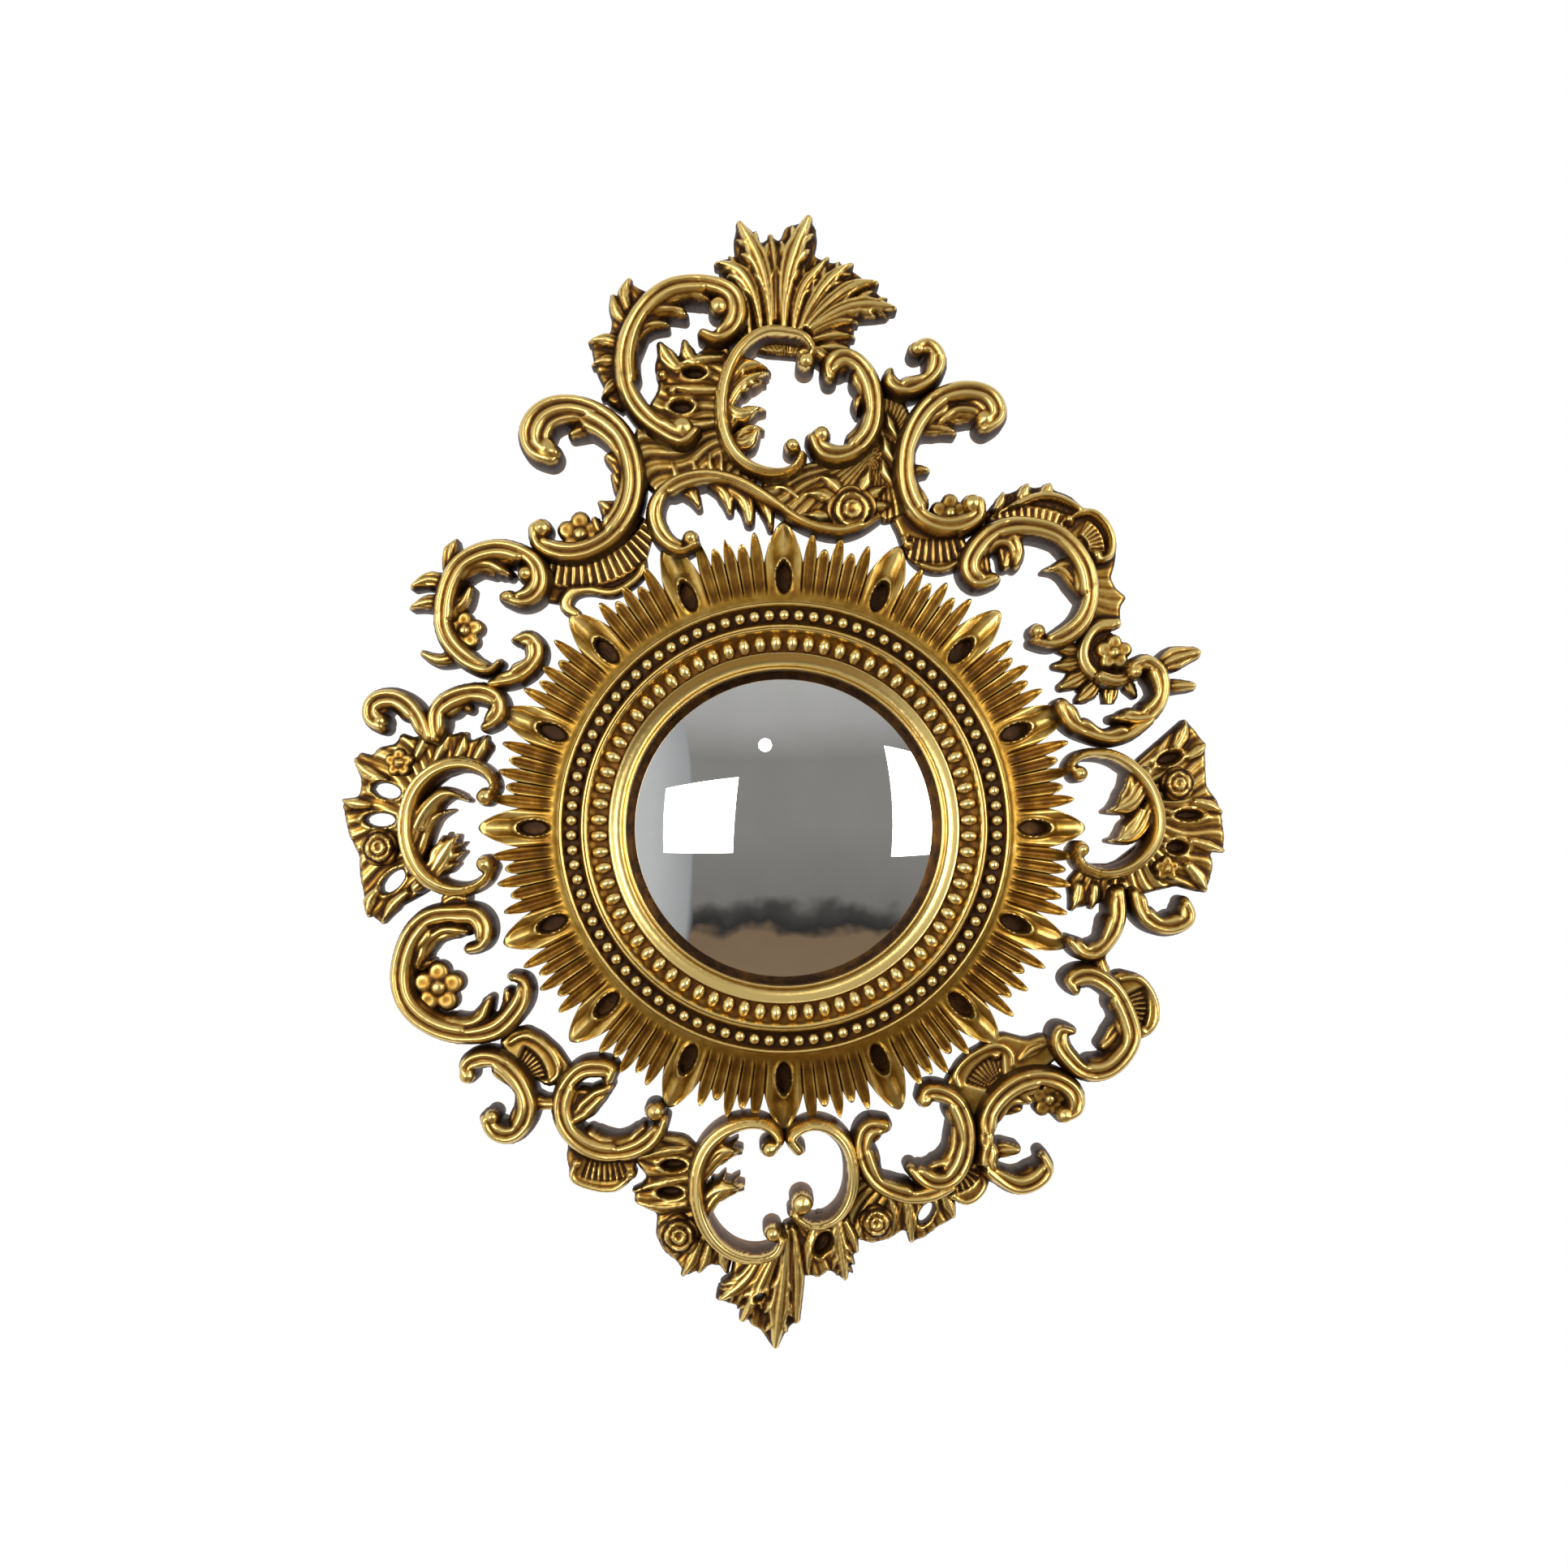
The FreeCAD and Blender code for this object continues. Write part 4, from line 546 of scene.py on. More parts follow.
@dataclass(frozen=True)
class Rose:
    """A full rose: a ring of petals round a coiled heart."""

    x: float
    z: float
    radius: float
    petals: int = 5
    ground: float = 15.0

    def lay(self, relief: Relief, rise: float) -> None:
        """Lays the rose over a relief."""
        window, dx, dz = relief.around(self.x, self.z, self.radius + 3)
        turn = np.arctan2(dz, dx)
        share = np.hypot(dx, dz) / self.radius
        outer_seam = flute(self.petals * turn / 2 + 0.4)
        inner_seam = flute((self.petals - 1) * turn / 2 + 1.3)
        inside = (1 - 0.1 * (1 - outer_seam) - share) * self.radius
        heart_edge = 0.36
        middle_edge = 0.64 + 0.05 * inner_seam
        heart = share < heart_edge
        middle = ~heart & (share < middle_edge)
        start = np.where(heart, 0, np.where(middle, heart_edge, middle_edge))
        stop = np.where(heart, heart_edge, np.where(middle, middle_edge, 1.0))
        local = np.clip((share - start) / (stop - start), 0, 1)
        level = np.where(heart, 0.96, np.where(middle, 0.78, 0.5))
        seam = np.where(heart, flute(turn / 2 + share * 11), np.where(middle, inner_seam, outer_seam))
        height = self.ground + (rise - self.ground) * level + 2.4 * local**1.6 + 1.2 * seam - 3.4
        relief.lay(window, inside, np.minimum(height, rise), roll=THIN_ROLL, edge_share=0.7)


@dataclass(frozen=True)
class Floret:
    """A small flower with round petals and a ball in its middle."""

    x: float
    z: float
    radius: float
    petals: int = 5
    turn: float = 0.3

    def lay(self, relief: Relief, rise: float) -> None:
        """Lays each petal over a relief."""
        balls = [(self.x, self.z, self.radius * HEART_SHARE, 1.0)]
        for petal in range(self.petals):
            angle = self.turn + 2 * math.pi * petal / self.petals
            out = self.radius * PETAL_PLACE
            balls.append((self.x + out * math.cos(angle), self.z + out * math.sin(angle),
                          self.radius * PETAL_SHARE, PETAL_LIFT))
        for x, z, radius, share in balls:
            window, dx, dz = relief.around(x, z, radius + 2)
            distance = np.hypot(dx, dz)
            height = rise * share - 0.6 * radius * (1 - dome(distance / radius))
            if share < 1:
                height -= 1.3 * bump(distance, 0, 0.55 * radius)
            relief.lay(window, radius - distance, height, roll=0.8, edge_share=0.8)


# ---------------------------------------------------------------- meshes


def new_piece(node: str, kind: str, points: np.ndarray, quads: np.ndarray, tone: np.ndarray,
              finish: bpy.types.Material) -> bpy.types.Object:
    """Makes a mesh object from arrays and enters it in the frame.

    Args:
        node: CAD node that the piece stands for.
        kind: Word added to the node's name.
        points: Vertices in millimetres, one row each.
        quads: Vertex indices, four in each row.
        tone: 0 in a groove to 1 on a ridge, for each vertex.
        finish: The material.

    Returns:
        The object.
    """
    name = f"{node}_{kind}"
    mesh = bpy.data.meshes.new(name)
    mesh.vertices.add(len(points))
    mesh.vertices.foreach_set("co", (np.asarray(points) * MM).astype(np.float32).ravel())
    mesh.loops.add(quads.size)
    mesh.loops.foreach_set("vertex_index", quads.astype(np.int32).ravel())
    mesh.polygons.add(len(quads))
    mesh.polygons.foreach_set("loop_start", np.arange(0, quads.size, 4, dtype=np.int32))
    mesh.polygons.foreach_set("use_smooth", np.ones(len(quads), bool))
    mesh.update(calc_edges=True)
    mesh.validate()
    layer = mesh.attributes.new("cavity", "FLOAT", "POINT")
    layer.data.foreach_set("value", np.asarray(tone, np.float32).ravel())
    mesh.set_sharp_from_angle(angle=SHARP_ANGLE)
    mesh.materials.append(finish)
    piece = bpy.data.objects.new(name, mesh)
    bpy.context.collection.objects.link(piece)
    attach(piece, "frame")
    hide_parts(node)
    LOG.info("%s: %d faces", name, len(quads))
    return piece


def closed_cells(inside: np.ndarray) -> np.ndarray:
    """The grid's cells that belong to the form, with no two that touch at a corner only."""
    solid = inside > 0
    cells = solid[:-1, :-1] | solid[1:, :-1] | solid[:-1, 1:] | solid[1:, 1:]
    for _ in range(4):
        low_left, low_right = cells[:-1, :-1], cells[:-1, 1:]
        high_left, high_right = cells[1:, :-1], cells[1:, 1:]
        rising = low_left & high_right & ~low_right & ~high_left
        falling = low_right & high_left & ~low_left & ~high_right
        if not (rising.any() or falling.any()):
            break
        cells = cells.copy()
        cells[:-1, 1:] |= rising
        cells[:-1, :-1] |= falling
    return cells


def relief_mesh(relief: Relief, seat: float) -> tuple:
    """A closed solid from a relief: its carved front, side walls and flat back.

    Args:
        relief: The heights and the outline.
        seat: Height of its back, which differs from its neighbours' so that no two are flush.

    Returns:
        Vertices in millimetres, quads and the tone of each vertex.
    """
    cells = closed_cells(relief.inside)
    step = relief.step
    laid = (relief.height > 0).astype(float)
    tone_height = relief.height
    smooth = softened(relief.height, 1, 1) / np.maximum(softened(laid, 1, 1), 0.1)
    relief.height = np.where(laid > 0, smooth, 0)
    slope_z, slope_x = np.gradient(np.clip(relief.inside, -4 * step, 4 * step), step)
    steep = np.maximum(slope_x**2 + slope_z**2, 0.3)
    pull = np.where(relief.inside < 0.3 * step, -relief.inside / steep, 0)
    pull = np.clip(pull, -1.2 * step, 1.2 * step)
    x = relief.x + pull * slope_x
    z = relief.z + pull * slope_z
    mask = (relief.inside > 0).astype(float)
    tone = recess_tone(tone_height, mask, step)
    rows, columns = relief.x.shape
    number = np.arange(rows * columns).reshape(rows, columns)
    corner = number[:-1, :-1], number[:-1, 1:], number[1:, 1:], number[1:, :-1]
    front = np.stack([part[cells] for part in corner], axis=1)
    total = rows * columns
    bordered = np.pad(cells, 1)
    walls = []
    outside = (bordered[:-2, 1:-1], bordered[1:-1, 2:], bordered[2:, 1:-1], bordered[1:-1, :-2])
    for side, neighbour in enumerate(outside):
        open_side = cells & ~neighbour
        start = corner[side][open_side]
        end = corner[(side + 1) % 4][open_side]
        walls.append(np.stack((end, start, start + total, end + total), axis=1))
    quads = np.concatenate([front, front[:, ::-1] + total, *walls])
    used, quads_flat = np.unique(quads, return_inverse=True)
    flat = np.stack((x.ravel(), -(BACK + relief.height.ravel()), z.ravel()), axis=1)
    back = np.stack((x.ravel(), np.full(total, -BACK - seat), z.ravel()), axis=1)
    points = np.concatenate((flat, back))[used]
    tones = np.concatenate((tone.ravel(), np.full(total, WALL_TONE)))[used]
    return points, quads_flat.reshape(quads.shape), tones


@dataclass(frozen=True)
class Carving:
    """One carved piece of the frame, made of forms laid over each other."""

    node: str
    forms: tuple
    slot: str = "gilt"
    margin: float = 6.0

    def build(self, finish: bpy.types.Material, seat: float) -> bpy.types.Object:
        """Builds the piece in place of its CAD node.

        Args:
            finish: The gilding.
            seat: Height of its back.

        Returns:
            The object.
        """
        low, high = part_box(self.node)
        edge = self.margin
        relief = Relief((low.x / MM - edge, low.z / MM - edge), (high.x / MM + edge, high.z / MM + edge))
        rise = -low.y / MM - BACK
        for form in self.forms:
            form.lay(relief, rise)
        relief.inside[[0, -1], :] = -FAR
        relief.inside[:, [0, -1]] = -FAR
        points, quads, tone = relief_mesh(relief, seat)
        return new_piece(self.node, "carving", points, quads, tone, finish)


# ---------------------------------------------------------------- turned mouldings, beads and burst


def ring_quads(rows: int, columns: int, closed: bool = True) -> np.ndarray:
    """Quads of a turned surface whose rows run from the inside over the front to the outside.

    Args:
        rows: How many rings of vertices.
        columns: Vertices in each ring.
        closed: True where the last ring is joined to the first.

    Returns:
        Vertex indices, four in each row.
    """
    number = np.arange(rows * columns).reshape(rows, columns)
    outer = np.roll(number, -1, axis=0)
    corners = (number, outer, np.roll(outer, -1, axis=1), np.roll(number, -1, axis=1))
    last = rows if closed else rows - 1
    return np.stack([corner[:last].ravel() for corner in corners], axis=1)


def cap_quads(ring: np.ndarray, middle: int) -> np.ndarray:
    """Quads that close a ring of vertices, each over two of its steps, with a vertex in its middle."""
    first, second = ring[::2], ring[1::2]
    return np.stack((np.full(len(first), middle), first, second, np.roll(first, -1)), axis=1)


@dataclass(frozen=True)
class Turning:
    """A ring turned round the glass's axis.

    Attributes:
        node: CAD node that it stands for.
        profile: Corners of the section as (radius, depth, tone), from the back's inner corner over the
            front to the back's outer corner.
        segments: Steps round the ring.
        slot: Name of a material slot; not used.
    """

    node: str
    profile: tuple
    segments: int = 384
    slot: str = "gilt"

    def build(self, finish: bpy.types.Material) -> bpy.types.Object:
        """Builds the ring.

        Args:
            finish: The gilding.

        Returns:
            The object.
        """
        section = np.array(self.profile)
        turn = np.linspace(0, 2 * math.pi, self.segments, endpoint=False)
        radius = section[:, 0, None]
        shape = (len(section), self.segments)
        x = radius * np.cos(turn)
        z = radius * np.sin(turn)
        y = np.broadcast_to(-section[:, 1, None], shape)
        tone = np.broadcast_to(section[:, 2, None], shape)
        points = np.stack((x, y, z), axis=2).reshape(-1, 3)
        return new_piece(self.node, "turning", points, ring_quads(*shape), tone.ravel(), finish)


@dataclass(frozen=True)
class BeadString:
    """Like beads laid in a hollow, one after the other round the glass.

    Attributes:
        node: CAD node that the string stands for.
        count: How many beads.
        radius: Distance of their middles from the glass's axis.
        size: Radial, tangential and outward half measures of one bead.
        middle: Depth of their middles.
        slot: Name of a material slot; not used.
    """

    node: str
    count: int
    radius: float
    size: tuple
    middle: float
    slot: str = "bead_gilt"

    AROUND = 14
    ROWS = 8

    def build(self, finish: bpy.types.Material) -> bpy.types.Object:
        """Builds the string as one mesh of closed beads."""
        fall = (np.arange(self.ROWS) + 0.5) * math.pi / self.ROWS
        around = np.linspace(0, 2 * math.pi, self.AROUND, endpoint=False)
        out = np.cos(fall)[:, None] * np.ones(self.AROUND)
        along = np.sin(fall)[:, None] * np.cos(around)
        across = np.sin(fall)[:, None] * np.sin(around)
        bead = np.stack((out, along, across), axis=2).reshape(-1, 3)
        poles = np.array(((1.0, 0, 0), (-1.0, 0, 0)))
        bead = np.concatenate((bead, poles))
        number = np.arange(self.ROWS * self.AROUND).reshape(self.ROWS, self.AROUND)
        upper, lower = number[:-1], number[1:]
        sides = np.stack((upper, lower, np.roll(lower, -1, 1), np.roll(upper, -1, 1)), axis=2).reshape(-1, 4)
        top = cap_quads(number[0], number.size)
        low = cap_quads(number[-1], number.size + 1)[:, ::-1]
        faces = np.concatenate((sides, top, low))
        turn = 2 * math.pi * (np.arange(self.count) + 0.5) / self.count
        radial = self.radius + self.size[0] * bead[:, 1]
        tangential = self.size[1] * bead[:, 2]
        cosine = np.cos(turn)[:, None]
        sine = np.sin(turn)[:, None]
        x = radial * cosine - tangential * sine
        z = radial * sine + tangential * cosine
        y = np.broadcast_to(-(self.middle + self.size[2] * bead[:, 0]), x.shape)
        points = np.stack((x, y, z), axis=2).reshape(-1, 3)
        quads = (faces[None] + len(bead) * np.arange(self.count)[:, None, None]).reshape(-1, 4)
        tone = np.tile(np.clip(0.45 + 0.5 * bead[:, 0], 0, 1), self.count)
        return new_piece(self.node, "string", points, quads, tone, finish)


@dataclass(frozen=True)
class Burst:
    """The sunburst: large petals with an oval hollow each and small gouged leaves between them.

    Attributes:
        node: CAD node that it stands for.
        petals: How many large petals.
        leaves: How many small leaves between two petals.
        petal_turn: Half the angle of a large petal, in degrees.
        tip: Radius of the large petals' tips.
        leaf_tips: Radii of the small leaves' tips, from one petal to halfway to the next.
        valley: Radius at which two neighbours part.
        uneven: How far the carver's tips stray from their radius, at most.
        segments: Steps round the ring.
        rows: Steps from the rim to the tips.
    """

    node: str = "sunburst"
    petals: int = 16
    leaves: int = 5
    petal_turn: float = 4.3
    tip: float = 189.0
    leaf_tips: tuple = (182.0, 175.0, 181.0)
    valley: float = 166.0
    uneven: float = 2.6
    segments: int = 1536
    rows: int = 54

    START = 90.0
    SEED = 7
    SLOTS = 16
    OVAL_MIDDLE = 153.0
    OVAL_LENGTH = 9.5
    OVAL_WIDTH = 4.5
    OVAL_DEPTH = 7.5
    OVAL_RIM = 1.7
    TIP_HEIGHT = 12.0
    ROOT_LIP = 1.8
    COVE = 4.5
    BEVEL = 1.6
    PETAL_POINT = 1.7
    LEAF_POINT = 2.2
    VALLEY_DIP = 3
    SEAM = ((0, 0.84, 1.0), (0, 0, -2.4))
    GOUGE = ((0, 0.3, 0.58, 0.76, 0.9, 1.0), (-1.7, -1.4, -0.2, 0.6, 0.1, -2.2))
    RIDGES = ((0, 0.14, 0.4, 0.62, 0.78, 0.9, 1.0), (0.5, 0.1, -1.7, -0.3, 0.6, 0.2, -2.4))

    def section(self, turn: np.ndarray) -> tuple:
        """Which form each direction falls in.

        Args:
            turn: Directions, in radians.

        Returns:
            Place across the form from -1 to 1, whether it is a large petal, half the form's angle in
            radians, and the radius of the form's tip.
        """
        sector = 360 / self.petals
        turned = (np.degrees(turn) - self.START + sector / 2) / sector
        off = (turned % 1 - 0.5) * sector
        is_petal = np.abs(off) < self.petal_turn
        pitch = (sector - 2 * self.petal_turn) / self.leaves
        place = (np.abs(off) - self.petal_turn) / pitch
        leaf = np.clip(np.floor(place), 0, self.leaves // 2).astype(int)
        across = np.where(is_petal, off / self.petal_turn, 2 * (place - leaf) - 1)
        half_turn = np.where(is_petal, self.petal_turn, pitch / 2)
        tip = np.where(is_petal, self.tip, np.array(self.leaf_tips)[leaf])
        side = np.where(is_petal | (leaf == self.leaves // 2), 0, np.sign(off)).astype(int)
        number = np.floor(turned + np.where(leaf == self.leaves // 2, 0.5 * np.sign(off), 0)).astype(int)
        slot = np.where(is_petal, 0, 1 + leaf * 3 + side) % self.SLOTS
        stray = np.random.default_rng(self.SEED).uniform(-self.uneven, self.uneven, (self.petals, self.SLOTS))
        return across, is_petal, np.radians(half_turn), tip + stray[number % self.petals, slot]

    def outline(self, wide: np.ndarray, is_petal: np.ndarray, tip: np.ndarray) -> np.ndarray:
        """Radius of the sunburst's edge in each direction, pointed at the tips."""
        point = np.where(is_petal, wide**self.PETAL_POINT, wide**self.LEAF_POINT)
        low = np.where(is_petal, self.valley - self.VALLEY_DIP, self.valley)
        return tip - (tip - low) * point

    def ground(self, radius: np.ndarray) -> np.ndarray:
        """Height of the sunburst without its carving, falling from the rim to the tips."""
        fall = np.clip((radius - RIM_RADIUS) / (self.tip - RIM_RADIUS), 0, 1)
        height = BURST_HEIGHT - self.ROOT_LIP
        height = height - (BURST_HEIGHT - self.ROOT_LIP - self.TIP_HEIGHT) * fall**1.1
        return height + self.ROOT_LIP * bump(radius, RIM_RADIUS, 2.2)

    def carved(self, wide: np.ndarray, is_petal: np.ndarray, radius: np.ndarray, left: np.ndarray,
               oval: np.ndarray) -> np.ndarray:
        """Height of the carving over the ground.

        Args:
            wide: Distance from a form's middle, 1 at its sides.
            is_petal: True in the large petals.
            radius: Distance from the glass's axis.
            left: Distance to the form's edge along the radius.
            oval: Distance from the middle of a petal's oval, 1 at its edge.

        Returns:
            The height in millimetres.
        """
        opened = np.clip((radius - RIM_RADIUS - self.COVE) / 7, 0, 1)
        arch = np.clip((left - 1.6) / 3.2, 0, 1)
        seam = np.interp(wide, *self.SEAM)
        leaf_form = np.interp(wide, *self.GOUGE) * arch + (seam + 0.5) * (1 - arch)
        petal_form = np.interp(wide, *self.RIDGES) * arch + (seam + 0.6) * (1 - arch)
        outward = (oval - 1) * self.OVAL_WIDTH
        petal_form = np.where(oval < 2.2, petal_form * np.clip(outward / 4, 0, 1), petal_form)
        petal_form += self.OVAL_RIM * bump(outward, 1.0, 1.0)
        return np.where(is_petal, petal_form * opened, leaf_form * opened)

    def toned(self, wide: np.ndarray, radius: np.ndarray, left: np.ndarray, form: np.ndarray,
              in_oval: np.ndarray) -> np.ndarray:
        """Tone of the gilding: dark rings near the root and the valleys, dark ovals and edges.

        Args:
            wide: Distance from a form's middle, 1 at its sides.
            radius: Distance from the glass's axis.
            left: Distance to the form's edge along the radius.
            form: Height of the carving.
            in_oval: True inside the ovals.

        Returns:
            The tone, from 0 in a groove to 1 on a ridge.
        """
        tone = np.clip(0.7 + 0.15 * form, 0, 1)
        tone -= 0.2 * bump(radius, 164, 7) * np.where(wide < 0.5, 1, 0.3)
        tone -= 0.3 * bump(radius, 146, 9)
        tone = np.where(in_oval, 0.04, tone)
        return np.where(left < 0.4, np.minimum(tone, 0.25), np.clip(tone, 0.04, 1))

    def build(self, finish: bpy.types.Material) -> bpy.types.Object:
        """Builds the sunburst."""
        turn = np.linspace(0, 2 * math.pi, self.segments, endpoint=False)
        across, is_petal, half_turn, tip = self.section(turn)
        wide = np.abs(across)
        edge = self.outline(wide, is_petal, tip)
        share = np.linspace(0, 1, self.rows)[:, None] ** 0.92
        radius = RIM_RADIUS + (edge - RIM_RADIUS) * share
        left = edge - radius
        along = (radius - self.OVAL_MIDDLE) / self.OVAL_LENGTH
        oval = np.hypot(along, across * half_turn * radius / self.OVAL_WIDTH)
        sunk = np.clip(0.5 - (oval - 1) * self.OVAL_WIDTH / 1.1, 0, 1)
        height = self.ground(radius)
        form = self.carved(wide, is_petal, radius, left, oval)
        front = height + form
        front = np.where(is_petal, front * (1 - sunk) + (height - self.OVAL_DEPTH) * sunk, front)
        bevel = 0.62 + 0.38 * dome(1 - np.clip(left / self.BEVEL, 0, 1))
        front *= np.where(left < self.BEVEL, bevel, 1)
        tone = self.toned(wide, radius, left, form, is_petal & (sunk > 0.5))
        inner = np.full((1, self.segments), RIM_RADIUS - 0.6)
        walls = np.zeros((1, self.segments))
        flat = np.full((1, self.segments), WALL_TONE)
        radius = np.concatenate((inner, inner, radius, edge[None]))
        front = np.concatenate((walls, front[:1], front, walls))
        tone = np.concatenate((flat, tone[:1], tone, flat))
        points = np.stack((radius * np.cos(turn), -(BACK + front), radius * np.sin(turn)), axis=2)
        quads = ring_quads(*radius.shape)
        return new_piece(self.node, "petals", points.reshape(-1, 3), quads, tone.ravel(), finish)


@dataclass(frozen=True)
class ConvexGlass:
    """The silvered glass: a shallow dome with a thin rim."""

    node: str = "mirror_glass"
    segments: int = 256
    rows: int = 72
    rim: float = 1.8

    def build(self, finish: bpy.types.Material) -> bpy.types.Object:
        """Builds the dome as one closed solid with a flat back."""
        low = -cad_reach(self.node, 1, True)
        rise = GLASS_FRONT - low - self.rim
        sphere = (GLASS_RADIUS**2 + rise**2) / (2 * rise)
        turn = np.linspace(0, 2 * math.pi, self.segments, endpoint=False)
        radius = np.linspace(GLASS_RADIUS / self.rows, GLASS_RADIUS, self.rows)
        depth = GLASS_FRONT - sphere + np.sqrt(sphere**2 - radius**2)
        radius = np.concatenate((radius, radius[::-6]))
        depth = np.concatenate((depth, np.full(len(radius) - len(depth), low)))
        ring = np.stack((radius[:, None] * np.cos(turn), np.repeat(-depth[:, None], self.segments, axis=1),
                         radius[:, None] * np.sin(turn)), axis=2)
        middles = np.array(((0, -GLASS_FRONT, 0), (0, -low, 0)))
        points = np.concatenate((ring.reshape(-1, 3), middles))
        number = np.arange(radius.size * self.segments).reshape(radius.size, self.segments)
        quads = np.concatenate((
            ring_quads(radius.size, self.segments, closed=False),
            cap_quads(number[0], number.size),
            cap_quads(number[-1], number.size + 1)[:, ::-1],
        ))
        return new_piece(self.node, "dome", points, quads, np.ones(len(points)), finish)


# ---------------------------------------------------------------- finishes


def linear(red: int, green: int, blue: int) -> tuple:
    """Turns 0 to 255 screen values into a shader colour."""
    share = np.array((red, green, blue)) / 255
    value = np.where(share <= 0.04045, share / 12.92, ((share + 0.055) / 1.055) ** 2.4)
    return (*value.tolist(), 1.0)


class Graph:
    """A short way to write a material's nodes."""

    def __init__(self, tree: bpy.types.NodeTree) -> None:
        self.tree = tree
        tree.nodes.clear()

    def node(self, kind: str, links: tuple = (), **settings) -> bpy.types.Node:
        """Adds a node, sets its properties and joins its inputs.

        Args:
            kind: Node type.
            links: Pairs of input and either another node's output or a constant.
            settings: Properties of the node.

        Returns:
            The node.
        """
        made = self.tree.nodes.new(kind)
        for name, value in settings.items():
            setattr(made, name, value)
        for key, value in links:
            if isinstance(value, bpy.types.NodeSocket):
                self.tree.links.new(value, made.inputs[key])
            else:
                made.inputs[key].default_value = value
        return made

    def ramp(self, source: bpy.types.NodeSocket, stops: tuple) -> bpy.types.NodeSocket:
        """Adds a colour ramp with (position, colour) stops and returns its colour output."""
        made = self.node("ShaderNodeValToRGB", [("Fac", source)])
        elements = made.color_ramp.elements
        for element, (place, colour) in zip(elements, (stops[0], stops[-1])):
            element.position = place
            element.color = colour
        for place, colour in stops[1:-1]:
            elements.new(place).color = colour
        return made.outputs["Color"]

    def spread(self, source: bpy.types.NodeSocket, low: float, high: float,
               to_low: float, to_high: float) -> bpy.types.NodeSocket:
        """Maps one range of values onto another and returns the output."""
        made = self.node("ShaderNodeMapRange", [
            ("Value", source), ("From Min", low), ("From Max", high), ("To Min", to_low), ("To Max", to_high),
        ])
        return made.outputs["Result"]

    def noise(self, scale: float, detail: float = 4.0, roughness: float = 0.55) -> bpy.types.NodeSocket:
        """Adds noise in the piece's own coordinates and returns its value output."""
        place = self.node("ShaderNodeTexCoord").outputs["Object"]
        made = self.node("ShaderNodeTexNoise", [
            ("Vector", place), ("Scale", scale), ("Detail", detail), ("Roughness", roughness),
        ])
        return made.outputs["Fac"]

    def sum(self, first: bpy.types.NodeSocket, second: bpy.types.NodeSocket,
            operation: str = "ADD") -> bpy.types.NodeSocket:
        """Adds or otherwise combines two values and returns the output."""
        return self.node("ShaderNodeMath", [(0, first), (1, second)], operation=operation).outputs[0]

    def surface(self, links: list, bump_height: bpy.types.NodeSocket, bump_depth: float) -> None:
        """Adds the surface shader and the output, with a bump from a height."""
        shader = self.node("ShaderNodeBsdfPrincipled", links)
        bumped = self.node("ShaderNodeBump", [
            ("Height", bump_height), ("Distance", bump_depth), ("Strength", 0.7),
        ])
        self.tree.links.new(bumped.outputs["Normal"], shader.inputs["Normal"])
        self.node("ShaderNodeOutputMaterial", [("Surface", shader.outputs["BSDF"])])

    def glow(self, colour: object, strength: float = 1.0) -> None:
        """Adds a surface that only gives light, and the output."""
        light = self.node("ShaderNodeEmission", [("Color", colour), ("Strength", strength)])
        self.node("ShaderNodeOutputMaterial", [("Surface", light.outputs["Emission"])])


def new_material(name: str) -> tuple:
    """Makes a material with nodes and returns it with its graph."""
    material = bpy.data.materials.new(name)
    material.use_nodes = True
    return material, Graph(material.node_tree)


@dataclass(frozen=True)
class Gilding:
    """Worn gold leaf with brown glaze left in the grooves.

    Attributes:
        name: Name of the material.
        groove: Colour of the glaze in the deepest grooves, and of the painted shadow in the gap at the
            glass's edge.
        glaze: Reddish colour where the glaze thins.
        leaf: Colour of the gold on flat parts.
        ridge: Colour of the burnished gold on ridges.
        burnish: Added to the tone, so a higher value shows more clean gold.
        smooth: Roughness on the ridges.
    """

    name: str
    groove: tuple = (52, 31, 12)
    glaze: tuple = (122, 80, 30)
    leaf: tuple = (168, 130, 58)
    ridge: tuple = (224, 194, 120)
    burnish: float = 0.0
    smooth: float = 0.33

    def build(self) -> bpy.types.Material:
        """Builds the material."""
        material, graph = new_material(self.name)
        cavity = graph.node("ShaderNodeAttribute", attribute_name="cavity").outputs["Fac"]
        patina = graph.spread(graph.noise(150, 5, 0.62), 0.3, 0.7, -0.1, 0.1)
        broad = graph.spread(graph.noise(28, 2), 0.35, 0.65, -0.05 + self.burnish, 0.05 + self.burnish)
        tone = graph.sum(graph.sum(cavity, patina), broad)
        colour = graph.ramp(tone, (
            (0.05, linear(*self.groove)), (0.3, linear(*self.glaze)), (0.52, linear(*self.leaf)),
            (0.85, linear(*self.ridge)),
        ))
        metal = graph.spread(tone, 0.08, 0.4, 0.6, 1.0)
        rough = graph.spread(tone, 0.15, 0.85, 0.52, self.smooth)
        grain = graph.noise(230, 3, 0.5)
        graph.surface([("Base Color", colour), ("Metallic", metal), ("Roughness", rough),
                       ("Specular IOR Level", 0.25)], grain, 0.00025)
        return material


